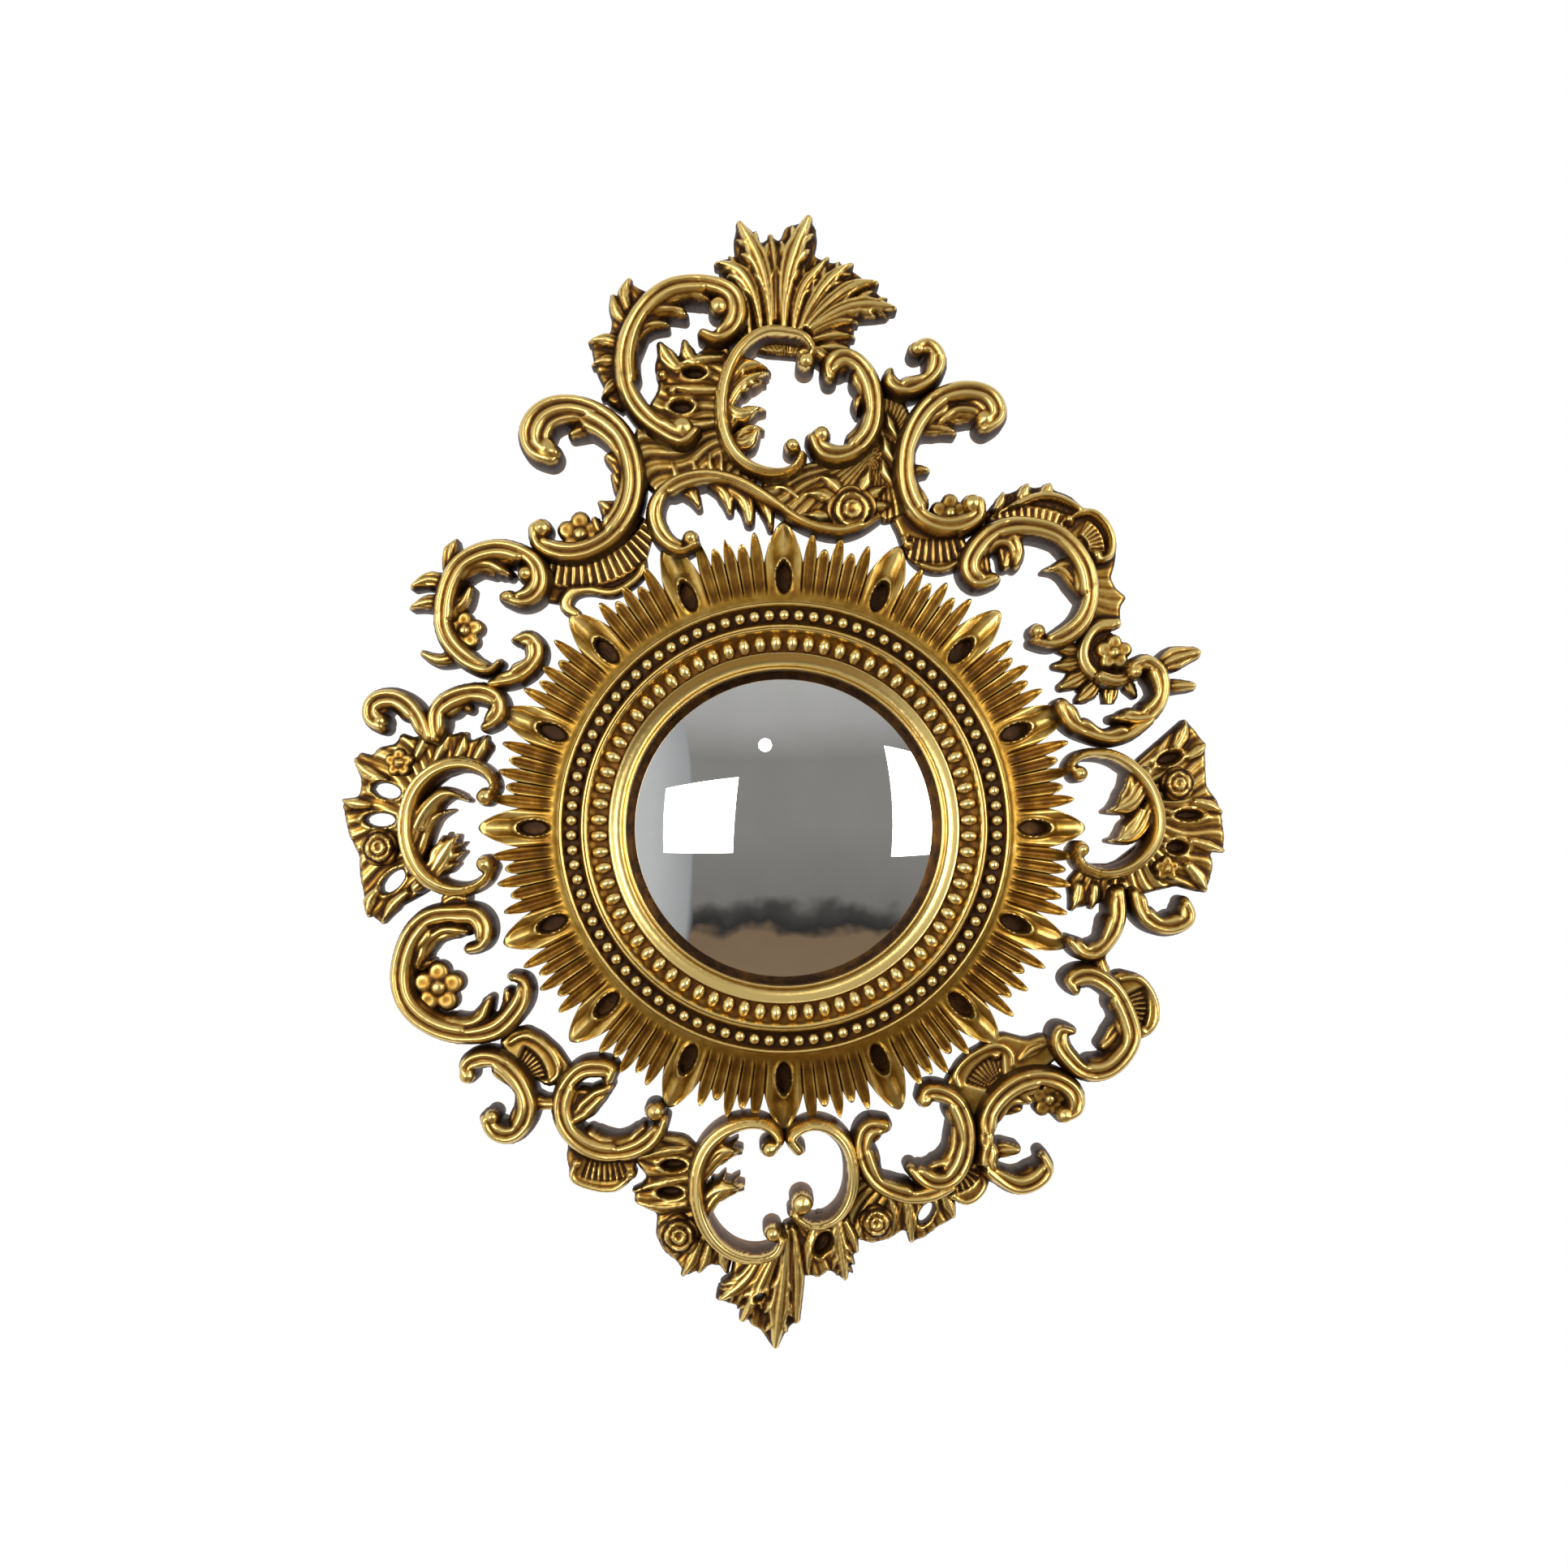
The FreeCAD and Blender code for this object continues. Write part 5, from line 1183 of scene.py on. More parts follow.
@dataclass(frozen=True)
class Plainer:
    """A finish mottled between two colours.

    Attributes:
        name: Name of the material.
        low: Darker colour.
        high: Lighter colour.
        metallic: 1 for bare metal.
        roughness: Least roughness; it varies upward by a fifth.
        scale: Fineness of the mottling.
        bump: Depth of the grain in metres.
    """

    name: str
    low: tuple
    high: tuple
    metallic: float = 0.0
    roughness: float = 0.6
    scale: float = 400.0
    bump: float = 0.0001

    def build(self) -> bpy.types.Material:
        """Builds the material."""
        material, graph = new_material(self.name)
        grain = graph.noise(self.scale, 4)
        colour = graph.ramp(grain, ((0.32, linear(*self.low)), (0.68, linear(*self.high))))
        rough = graph.spread(grain, 0.3, 0.7, self.roughness, self.roughness * 1.2)
        graph.surface([("Base Color", colour), ("Metallic", self.metallic), ("Roughness", rough)],
                      grain, self.bump)
        return material


class Finish(Enum):
    """Finishes of the mirror and of the floor."""

    GILT = Gilding("antique_gilding", burnish=-0.03)
    BRIGHT = Gilding("burnished_gilding", leaf=(178, 140, 66), ridge=(230, 202, 128), burnish=0.1,
                     smooth=0.29)
    BEAD = Gilding("bead_gilding", leaf=(182, 146, 76), ridge=(240, 216, 146), burnish=0.02, smooth=0.3)
    BURST = Gilding("sunburst_gilding", glaze=(112, 74, 26), leaf=(168, 130, 54), burnish=0.0)
    GLASS = Plainer("silvered_glass", (214, 214, 212), (220, 220, 219), 1.0, 0.012, 30.0, 0.0)
    PACKING = Plainer("cork_packing", (96, 66, 40), (150, 112, 74), 0.0, 0.85, 900.0, 0.0003)
    BOARD = Plainer("hardboard", (92, 62, 38), (120, 84, 54), 0.0, 0.7, 1200.0, 0.0001)
    PAD = Plainer("felt", (150, 146, 136), (182, 178, 168), 0.0, 0.95, 1500.0, 0.0004)
    STEEL = Plainer("zinc_plate", (150, 152, 154), (190, 191, 192), 1.0, 0.3, 500.0, 0.00003)
    BRASS = Plainer("hanger_brass_plate", (176, 138, 66), (206, 170, 96), 1.0, 0.28, 350.0, 0.00003)
    BUTTON = Plainer("pressed_brass", (166, 130, 60), (198, 162, 88), 1.0, 0.34, 350.0, 0.00003)
    FLOOR = Plainer("pale_floor", (206, 201, 193), (214, 209, 201), 0.0, 0.6, 3.0, 0.0)


NODE_FINISHES = {
    "glass_spacer": Finish.PACKING,
    "backing_board": Finish.BOARD,
    "wall_pads": Finish.PAD,
    "button_screws": Finish.STEEL,
    "hanger_screw": Finish.STEEL,
    "hanger_strap": Finish.BRASS,
    "hanger_ring": Finish.BRASS,
    "turn_button_1": Finish.BUTTON,
    "turn_button_2": Finish.BUTTON,
    "turn_button_3": Finish.BUTTON,
    "turn_button_4": Finish.BUTTON,
}


# ---------------------------------------------------------------- sub-assemblies


@dataclass(frozen=True)
class CarvedGroup:
    """Carved pieces that lie together on one side of the frame."""

    pieces: tuple = ()
    seat: float = SEAT_STEP

    def build(self, materials: dict) -> None:
        """Builds each piece with the finish of its slot, its back a little in front of the last one's.

        Args:
            materials: Material of each finish.
        """
        for number, piece in enumerate(self.pieces):
            bright = piece.slot == "bright_gilt"
            piece.build(materials[Finish.BRIGHT if bright else Finish.GILT], self.seat + number * SEAT_STEP)


@dataclass(frozen=True)
class Mouldings:
    """The turned rings with their beads, the sunburst and the glass."""

    # The sight ring's first two corners, at the glass's edge, have tone 0: a painted shadow for the dark gap
    # between the glass and the lip.
    sight_ring: Turning = Turning("sight_ring", (
        (96.0, 25.0, 0.0), (96.0, 29.0, 0.0), (96.5, 30.0, 0.6), (97.3, 30.2, 1.0), (98.0, 29.7, 0.75),
        (98.3, 28.9, 0.3), (99.2, 28.3, 0.55), (101.0, 28.4, 0.8), (103.4, 29.6, 0.9), (105.0, 31.0, 0.95),
        (106.0, 32.0, 1.0), (106.6, 32.0, 0.7), (107.0, 31.2, 0.2), (109.0, 30.6, 0.05), (112.0, 30.4, 0.05),
        (115.0, 30.8, 0.1), (117.6, 32.4, 0.3), (118.4, 34.0, 0.6), (119.2, 36.6, 0.7), (120.0, 37.8, 0.95),
        (120.5, 38.0, 1.0), (120.9, 37.8, 0.95), (121.0, 37.0, 0.6), (121.0, 6.0, 0.1), (96.0, 6.0, 0.1),
    ), slot="bright_gilt")
    pearl_moulding: Turning = Turning("pearl_moulding", (
        (121.0, 6.0, 0.1), (121.0, 36.0, 0.3), (121.6, 36.4, 0.6), (122.2, 36.5, 0.9), (122.9, 36.2, 0.8),
        (123.6, 34.8, 0.4), (124.6, 32.8, 0.1), (127.0, 32.1, 0.03), (131.0, 32.1, 0.03), (133.4, 32.8, 0.1),
        (134.2, 34.2, 0.4), (134.9, 35.7, 0.8), (135.6, 36.3, 0.95), (136.3, 36.1, 0.8), (137.0, 35.0, 0.4),
        (137.0, 6.0, 0.1),
    ))
    eggs: BeadString = BeadString("egg_beads", 72, 112.5, (5.1, 3.75, 4.6), EGG_FRONT - 4.6)
    pearls: BeadString = BeadString("pearl_beads", 90, 129.0, (3.35, 3.35, 3.35), PEARL_FRONT - 3.35)
    burst: Burst = Burst()
    glass: ConvexGlass = ConvexGlass()

    def build(self, materials: dict) -> None:
        """Builds the rings from the glass outward."""
        self.glass.build(materials[Finish.GLASS])
        self.sight_ring.build(materials[Finish.BRIGHT])
        self.eggs.build(materials[Finish.BEAD])
        self.pearl_moulding.build(materials[Finish.GILT])
        self.pearls.build(materials[Finish.BEAD])
        self.burst.build(materials[Finish.BURST])


@dataclass(frozen=True)
class Flowers:
    """Roses and florets laid on the carving: (x, z, radius) of each."""

    roses: tuple = ((42, 195, 16), (-248, -12, 12), (242, 27, 11), (-64, -250, 13), (57, -242, 11))
    panel_florets: tuple = ((-236, 40, 9), (235, -25, 8))
    corner_florets: tuple = (
        (-125, 180, 14), (-196, 121, 12), (102, 193, 12), (-212, -98, 16), (163, -166, 12),
    )

    def build(self, materials: dict) -> None:
        """Builds each kind as one piece, in place of its CAD node."""
        finish = materials[Finish.GILT]
        for node, places, form in (
            ("roses", self.roses, Rose),
            ("panel_florets", self.panel_florets, Floret),
            ("corner_florets", self.corner_florets, Floret),
        ):
            flowers = tuple(form(x, z, radius) for x, z, radius in places)
            Carving(node, flowers).build(finish, FLOWER_SEAT)


@dataclass(frozen=True)
class Crest(CarvedGroup):
    """Scrolls, panels and leaf spray above the glass."""

    pieces: tuple = (
        Carving("crest_c_scroll", (
            *leaves((-32, 272, -24, 282, -8, 280, 5, 10, 1), (-35, 258, -27, 252, -15, 255, 7, 11, 1),
                (-32, 236, -25, 234, -15, 244, 7, 11, 3)),
            Plain((12, 284, 17, 289, 14, 297, 4, 301, -8, 302, -20, 297, -30, 286, -36, 271, -38, 256,
                -36, 241, -29, 227, -18, 219, -5, 216, 6, 219, 11, 227), (6, 9, 10, 10, 10, 10, 9, 7)),
            Eye(13, 283, 5.5), Eye(5, 232, 5),
            Frond((-36, 250, -32, 262, -24, 272, -10, 278), (7, 10, 9, 3), 0.8),
            Leaf((-36, 240, -30, 250, -22, 255, -12, 256), (7, 9, 8, 3), 0.75),
            Leaf((-32, 230, -27, 239, -21, 244, -13, 244), (7, 9, 7, 3), 0.75),
        ), slot="bright_gilt"),
        Carving("crest_s_scroll", (
            *leaves((52, 265, 46, 262, 45, 253, 7, 8, 1), (12, 291, 20, 291, 28, 285, 9, 10, 9)),
            Scroll((28, 275, 28, 283, 36, 288, 46, 284, 54, 272, 56, 256, 53, 241, 45, 231, 34, 226,
                22, 229, 17, 238), (10, 12, 12, 12, 12, 11, 10, 8)),
            Eye(23, 240, 5.5),
        )),
        Carving("crest_left_scroll", (
            Ground((-98, 255, -109, 262, -110, 270, -116, 282, -119, 298, -107, 304, -105, 320, -101, 330,
                -94, 336, -83, 330, -80, 310, -92, 280), share=0.55, rays=Rays(-60, 285, 44)),
            *leaves((-90, 310, -78, 317, -61, 314, 9, 12, 6), (-92, 296, -84, 307, -72, 308, 7, 10, 5)),
            Scroll((-49, 302, -40, 299, -31, 304, -27, 315, -31, 327, -42, 332, -56, 333, -70, 330,
                -83, 321, -93, 307, -98, 290, -97, 272, -92, 259, -83, 248, -72, 240, -61, 236, -54, 242),
                (8, 10, 11, 11, 12, 13, 13, 12, 12, 12, 12, 11, 10, 8)),
            Eye(-40, 318, 6), Eye(-62, 244, 7),
            *leaves((-96, 320, -98, 329, -95, 337, 7, 9, 4), (-97, 310, -103, 318, -105, 327, 7, 9, 4),
                (-100, 297, -110, 300, -119, 299, 9, 10, 3), (-100, 286, -109, 287, -117, 285, 8, 9, 3),
                (-99, 276, -106, 271, -111, 265, 8, 9, 3), lift=0.66),
            Scroll((-80, 322, -70, 326, -57, 326, -47, 323), (6, 9, 9, 6), 0.9, inner=3, lobes=1),
            Scroll((-93, 300, -86, 311, -74, 317, -62, 317), (5, 9, 9, 5), 0.86, inner=3, lobes=1),
        )),
        Carving("crest_left_hook", (
            *leaves((-108, 250, -118, 246, -129, 241, 12, 13, 7),
                (-92, 212, -100, 222, -107, 227, 9, 14, 7), (-92, 200, -99, 208, -104, 216, 9, 12, 5),
                (-95, 186, -104, 193, -113, 200, 9, 16, 3), (-104, 176, -112, 181, -116, 189, 9, 10, 5)),
            Scroll((-143, 228, -151, 232, -154, 242, -147, 253, -135, 257, -120, 255, -107, 248, -97, 236,
                -92, 220, -92, 203, -98, 187, -110, 174, -125, 167, -140, 167, -151, 174, -153, 183),
                (16, 18, 18, 17, 16, 15, 15, 14, 13, 11, 9, 8)),
            Eye(-145, 231, 7), Eye(-148, 183, 6),
        )),
        Carving("crest_right_hook", (
            Ground((66, 190, 70, 182, 73, 173, 82, 161, 94, 156, 106, 158, 114, 165, 116, 172, 110, 180,
                90, 186, 78, 198), share=0.55),
            *leaves((95, 256, 104, 253, 114, 251, 9, 14, 7), (80, 242, 91, 245, 104, 242, 9, 12, 5),
                (76, 214, 82, 219, 87, 219, 9, 10, 6)),
            Scroll((123, 246, 130, 252, 128, 261, 118, 267, 105, 267, 93, 262, 83, 252, 76, 239, 73, 224,
                74, 208, 79, 195, 88, 186, 100, 182, 112, 184, 120, 191, 120, 199),
                (14, 14, 13, 13, 13, 12, 12, 12, 11, 10, 9, 8)),
            Eye(123, 249, 6), Eye(115, 198, 6),
            Scroll((96, 248, 104, 254, 116, 254, 126, 249), (7, 10, 10, 6), 0.9, inner=3, lobes=1),
            Cord((74, 178, 80, 166, 92, 159, 104, 161, 111, 170), (4, 5, 5, 5, 4), lift=0.62),
            Shell(92, 222, 44, 60, -110, -70, 8, share=0.55), Eye(77, 174, 3, share=0.62),
            Eye(110, 168, 3, share=0.62),
        )),
        Carving("crest_right_curl", (
            Scroll((80, 292, 87, 296, 94, 291, 95, 282, 90, 274, 80, 268, 69, 267, 63, 273, 65, 279),
                (8, 9, 10, 10, 10, 8, 6)),
            Eye(81, 292, 5),
        )),
        Carving("vine_scroll", (
            *leaves((-68, 205, -60, 207, -52, 197, 7, 11, 5), (-44, 210, -37, 206, -33, 194, 7, 11, 5),
                (-32, 206, -24, 200, -21, 188, 7, 11, 7), (-18, 203, -11, 196, -8, 184, 5, 9, 4)),
            Scroll((-54, 173, -63, 169, -72, 173, -79, 183, -80, 195, -73, 207, -61, 214, -46, 216,
                -31, 213, -16, 206, -3, 197, 9, 188, 22, 182, 36, 180, 49, 184, 58, 190),
                (7, 8, 9, 9, 9, 9, 8, 7, 6, 5)),
            Eye(-57, 177, 5),
        )),
        Carving("crest_spray", (
            Ground((-27, 299, -30, 318, -31, 335, -38, 341, -42, 347, -39, 351, -30, 352, -31, 362,
                -29, 370, -23, 372, -18, 367, -15, 361, -8, 364, -2, 363, 1, 371, 8, 373, 15, 374.5,
                20, 371, 21, 362, 19, 353, 28, 349, 35, 349, 46, 342, 58, 331, 68, 319, 64, 314, 57, 313,
                43, 312, 44, 306, 41, 298, 41, 290, 28, 284, 10, 290, -14, 292), share=0.66, rays=Rays(2,
                282, 46)),
            Frond((-14, 306, -20, 332, -30, 344, -41, 347), (5, 8, 12, 4), 0.9),
            Leaf((-20, 300, -23, 318, -27, 333, -34, 339), (4, 7, 7, 3), 0.8),
            Frond((-8, 306, -13, 343, -20, 359, -27, 371), (5, 9, 14, 5), 1.0),
            Leaf((-5, 312, -5, 338, -6, 352, -8, 364), (4, 7, 9, 4), 0.9),
            Frond((6, 306, 14, 336, 22, 345, 27, 351), (5, 9, 9, 3), 0.85),
            Frond((0, 306, 3, 343, 9, 361, 15, 374), (5, 10, 15, 6), 1.0),
            Leaf((18, 294, 30, 296, 42, 294), (4, 8, 3), 0.8),
            Leaf((18, 300, 30, 303, 43, 302), (4, 8, 3), 0.85),
            Leaf((18, 304, 32, 311, 45, 311), (5, 9, 3), 0.9),
            Frond((10, 306, 24, 332, 34, 342, 42, 347), (5, 9, 11, 3), 0.9),
            Frond((16, 306, 38, 319, 55, 321, 68, 319), (5, 10, 13, 4), 1.0),
            Leaf((14, 308, 32, 326, 47, 334, 57, 335), (5, 10, 11, 4), 0.95),
        )),
        Carving("crest_left_panel", (
            Ground((-34, 300, -45, 299, -50, 296, -56, 291, -62, 298, -67, 287, -76, 299, -80, 285,
                -77, 272, -85, 258, -92, 246, -93, 230, -86, 212, -76, 203, -60, 208, -36, 208, -18, 210,
                -16, 218, -30, 232, -35, 256, -30, 285), share=0.8, rays=Rays(5, 256, 54, sway=0.9)),
            *leaves((-66, 284, -72, 291, -76, 298, 9, 12, 5), (-55, 287, -59, 293, -61, 300, 8, 10, 4),
                lift=1.0),
            *leaves((-60, 210, -66, 217, -69, 226, 5, 7, 2), (-50, 210, -54, 219, -56, 229, 5, 7, 2),
                (-40, 210, -44, 220, -46, 232, 5, 7, 2), (-36, 214, -38, 222, -38, 232, 4, 6, 2), lift=0.9),
            *leaves((-38, 290, -50, 289, -64, 286, 6, 8, 3), (-38, 270, -54, 270, -72, 272, 6, 8, 3),
                (-40, 250, -58, 248, -74, 251, 6, 8, 3), lift=1.0),
            Eye(-75, 279, 3.5), Eye(-69, 269, 3), Hollow(-55, 281, 13, 6, 0), Hollow(-63, 260, 13, 7, 0),
        )),
        Carving("crest_right_panel", (
            Ground((-10, 218, -16, 208, -4, 199, 20, 184, 40, 182, 56, 190, 64, 188, 76, 193, 74, 212,
                76, 238, 80, 252, 76, 262, 64, 268, 54, 264, 54, 240, 40, 228, 22, 228), share=0.8,
                rays=Rays(60, 235, 60)),
            *leaves((34, 200, 25, 205, 14, 206, 6, 10, 2), (36, 206, 30, 213, 22, 217, 5, 9, 2),
                (32, 192, 24, 192, 13, 193, 5, 9, 2), (46, 206, 50, 213, 53, 222, 5, 9, 2),
                (50, 202, 57, 207, 63, 210, 5, 8, 2), (52, 197, 58, 198, 66, 199, 5, 8, 2),
                (67, 212, 63, 219, 60, 228, 4, 8, 2), (68, 226, 64, 233, 61, 242, 4, 8, 2),
                (70, 241, 66, 248, 63, 257, 4, 8, 2), lift=1.0),
            Leaf((8, 204, 2, 209, -6, 211), (4, 6, 2), 0.9),
        ), margin=16),
    )


@dataclass(frozen=True)
class LeftSide(CarvedGroup):
    """Scrolls, hooks, shell and leafy panel on the left."""

    pieces: tuple = (
        Carving("upper_left_scroll", (
            *leaves((-200, 158, -190, 160, -178, 156, 8, 10, 6),
                (-205, 160, -204, 168, -201, 177, 10, 12, 2), (-205, 149, -217, 152, -227, 148, 10, 12, 5),
                (-207, 138, -219, 138, -228, 135, 11, 11, 4), (-203, 104, -212, 103, -221, 107, 10, 9, 5),
                (-204, 132, -196, 138, -192, 146, 8, 10, 6)),
            Scroll((-170, 141, -161, 138, -151, 142, -147, 151, -150, 162, -160, 169, -173, 172, -187, 169,
                -199, 161, -206, 148, -209, 132, -207, 117, -200, 106, -190, 98, -180, 96, -174, 101),
                (9, 11, 10, 10, 11, 12, 12, 12, 12, 10, 8, 6)),
            Eye(-168, 141, 4.5), Eye(-158, 155, 5),
            Scroll((-200, 150, -190, 159, -178, 160, -168, 155), (6, 10, 10, 6), 0.9, inner=3, lobes=1),
        )),
        Carving("upper_left_leaf_hook", (
            Scroll((-178, 88, -163, 92, -153, 100, -150, 110, -156, 117, -164, 115),
                (8, 10, 11, 11, 10, 6)),
        )),
        Carving("left_upper_hook", (
            Scroll((-246, 62, -252, 67, -251, 76, -242, 80, -231, 77, -223, 69, -217, 56),
                (10, 12, 13, 13, 12, 11, 10)),
            Eye(-246, 65, 5),
        )),
        Carving("left_upper_arch", (
            Leaf((-208, 70, -200, 76, -193, 73), (9, 10, 7)),
            Scroll((-213, 55, -213, 71, -205, 79, -194, 83, -183, 84, -175, 81, -172, 73, -176, 65,
                -182, 62), (9, 10, 12, 12, 11, 9, 9, 8)),
        )),
        Carving("left_c_scroll", (
            *leaves((-220, 0, -215, 14, -202, 20, 7, 12, 3), (-216, -30, -211, -20, -201, -5, 7, 16, 2),
                (-218, 12, -209, 21, -196, 20, 7, 9, 3)),
            Plain((-182, 20, -177, 24, -179, 31, -187, 37, -199, 39, -212, 35, -223, 25, -229, 11, -230, -4,
                -226, -19, -217, -31, -205, -37, -192, -37, -182, -31, -178, -24),
                (6, 9, 11, 12, 12, 12, 11, 9, 7)),
            Eye(-182, 19, 5.5), Eye(-182, -22, 5.5),
            Leaf((-229, -22, -225, -2, -216, 14, -206, 21, -193, 17), (7, 9, 11, 9, 3), 0.85),
            Leaf((-227, -26, -220, -8, -213, 6, -203, 11), (7, 9, 8, 2), 0.75),
            Frond((-224, -36, -216, -28, -208, -18, -200, -5), (9, 15, 12, 3), 0.8),
        ), slot="bright_gilt"),
        Carving("left_panel", (
            Ground((-240, 52, -236, 59, -228, 56, -218, 61, -207, 57, -198, 60, -193, 54, -184, 58,
                -178, 50, -186, 38, -210, 30, -225, 8, -224, -18, -212, -34, -222, -41, -235, -48,
                -243, -53, -247, -60, -254, -55, -258, -48, -262, -30, -262, -18, -269, -4, -273, 16,
                -262, 20, -261, 30, -265, 40, -262, 47, -254, 45, -250, 50), share=0.8, rays=Rays(-200, 2,
                46, sway=0.8)),
            *leaves((-226, 44, -222, 52, -218, 60, 6, 8, 3), (-214, 42, -210, 50, -206, 57, 6, 8, 3),
                (-202, 42, -198, 50, -196, 58, 6, 8, 3), (-190, 42, -186, 49, -183, 56, 6, 8, 3),
                (-246, 30, -256, 34, -264, 42, 6, 10, 3), (-256, 14, -264, 15, -272, 17, 5, 8, 2),
                (-232, -40, -240, -47, -247, -58, 6, 9, 3), (-250, -38, -255, -45, -256, -54, 6, 9, 3),
                lift=1.0),
            Hollow(-245, 23, 17, 9, -12, through=True), Hollow(-249, 5, 18, 8, 0, through=True),
            Hollow(-241, -33, 18, 9, 45, through=True),
        ), margin=16),
        Carving("upper_left_shell", (
            Ground((-150, 158, -148, 140, -136, 138, -120, 146, -106, 144, -94, 150, -86, 162, -82, 176,
                -80, 186, -88, 194, -96, 190, -108, 176, -124, 168, -138, 168), share=0.55),
            Cord((-128, 132, -134, 137, -131, 144, -120, 147, -106, 145, -95, 150, -87, 159, -87, 167),
                (7, 9, 8, 6, 6, 6, 6, 5)),
            Shell(-128, 213, 47, 65, -112, -26, 17),
        )),
    )


@dataclass(frozen=True)
class LowerLeft(CarvedGroup):
    """Flower scroll, small scrolls and shells at the lower left."""

    pieces: tuple = (
        Carving("lower_left_scroll", (
            *leaves((-222, -66, -212, -60, -202, -63, 8, 10, 7),
                (-190, -122, -184, -116, -182, -107, 8, 10, 7),
                (-174, -118, -169, -110, -169, -101, 8, 10, 7),
                (-205, -44, -200, -42, -196, -43, 11, 11, 8)),
            Scroll((-192, -74, -185, -72, -181, -62, -187, -52, -200, -51, -215, -53, -226, -62, -233, -77,
                -235, -94, -230, -109, -218, -120, -204, -126, -189, -127, -175, -124, -164, -115,
                -157, -103, -159, -93, -166, -91), (8, 10, 11, 12, 13, 13, 13, 13, 12, 12, 11, 9, 7)),
            Scroll((-224, -84, -217, -70, -206, -63, -194, -63), (6, 10, 11, 7), 0.9, inner=3, lobes=1),
            Scroll((-205, -117, -192, -119, -184, -114, -180, -105), (7, 9, 10, 6), 0.9, inner=3, lobes=1),
            Leaf((-229, -84, -222, -84, -216, -82), (8, 9, 4), 0.7),
        )),
        Carving("base_left_scroll", (
            Ground((-132, -190, -134, -203, -131, -216, -118, -223, -100, -223, -92, -216, -90, -200,
                -110, -192), share=0.55),
            Leaf((-131, -172, -124, -166, -118, -166), (10, 15, 14)),
            Scroll((-107, -153, -105, -147, -113, -144, -124, -146, -132, -154, -137, -167, -135, -180,
                -127, -191, -114, -198, -100, -199, -87, -196, -77, -188, -73, -178),
                (9, 9, 10, 11, 12, 12, 12, 11, 9, 8)),
            Eye(-79, -173, 6),
            Scroll((-128, -178, -120, -170, -112, -162, -106, -158), (9, 15, 13, 6), 0.92, inner=2,
                lobes=1),
            Scroll((-118, -186, -106, -192, -94, -190, -86, -183), (7, 10, 9, 6), 0.88, inner=2, lobes=1),
            Cord((-127, -206, -130, -214, -118, -221, -102, -221, -94, -213), (4, 5, 5, 5, 4), lift=0.62),
            Shell(-110, -176, 28, 42, -112, -68, 8, share=0.55), Eye(-127, -206, 3.5, share=0.62),
            Eye(-94, -213, 3.5, share=0.62),
        )),
        Carving("lower_left_small_scroll", (
            Leaf((-152, -168, -146, -169, -142, -169), (12, 9, 9)),
            Scroll((-195, -150, -195, -144, -187, -139, -176, -140, -166, -147, -158, -159, -155, -171,
                -159, -183, -168, -189, -178, -186, -182, -178), (7, 9, 11, 12, 12, 11, 10, 9)),
            Eye(-193, -151, 5.5), Eye(-178, -176, 5),
        )),
        Carving("lower_left_shell", (
            Ground((-176, -132, -168, -124, -158, -122, -148, -127, -138, -136, -130, -148, -136, -158,
                -146, -160, -158, -152, -168, -144)),
            Cord((-168, -132, -160, -128, -148, -133, -140, -143, -139, -152, -143, -156), (4, 5, 5, 5, 4)),
            Shell(-170, -157, 11, 25, 66, 4, 8),
        )),
    )


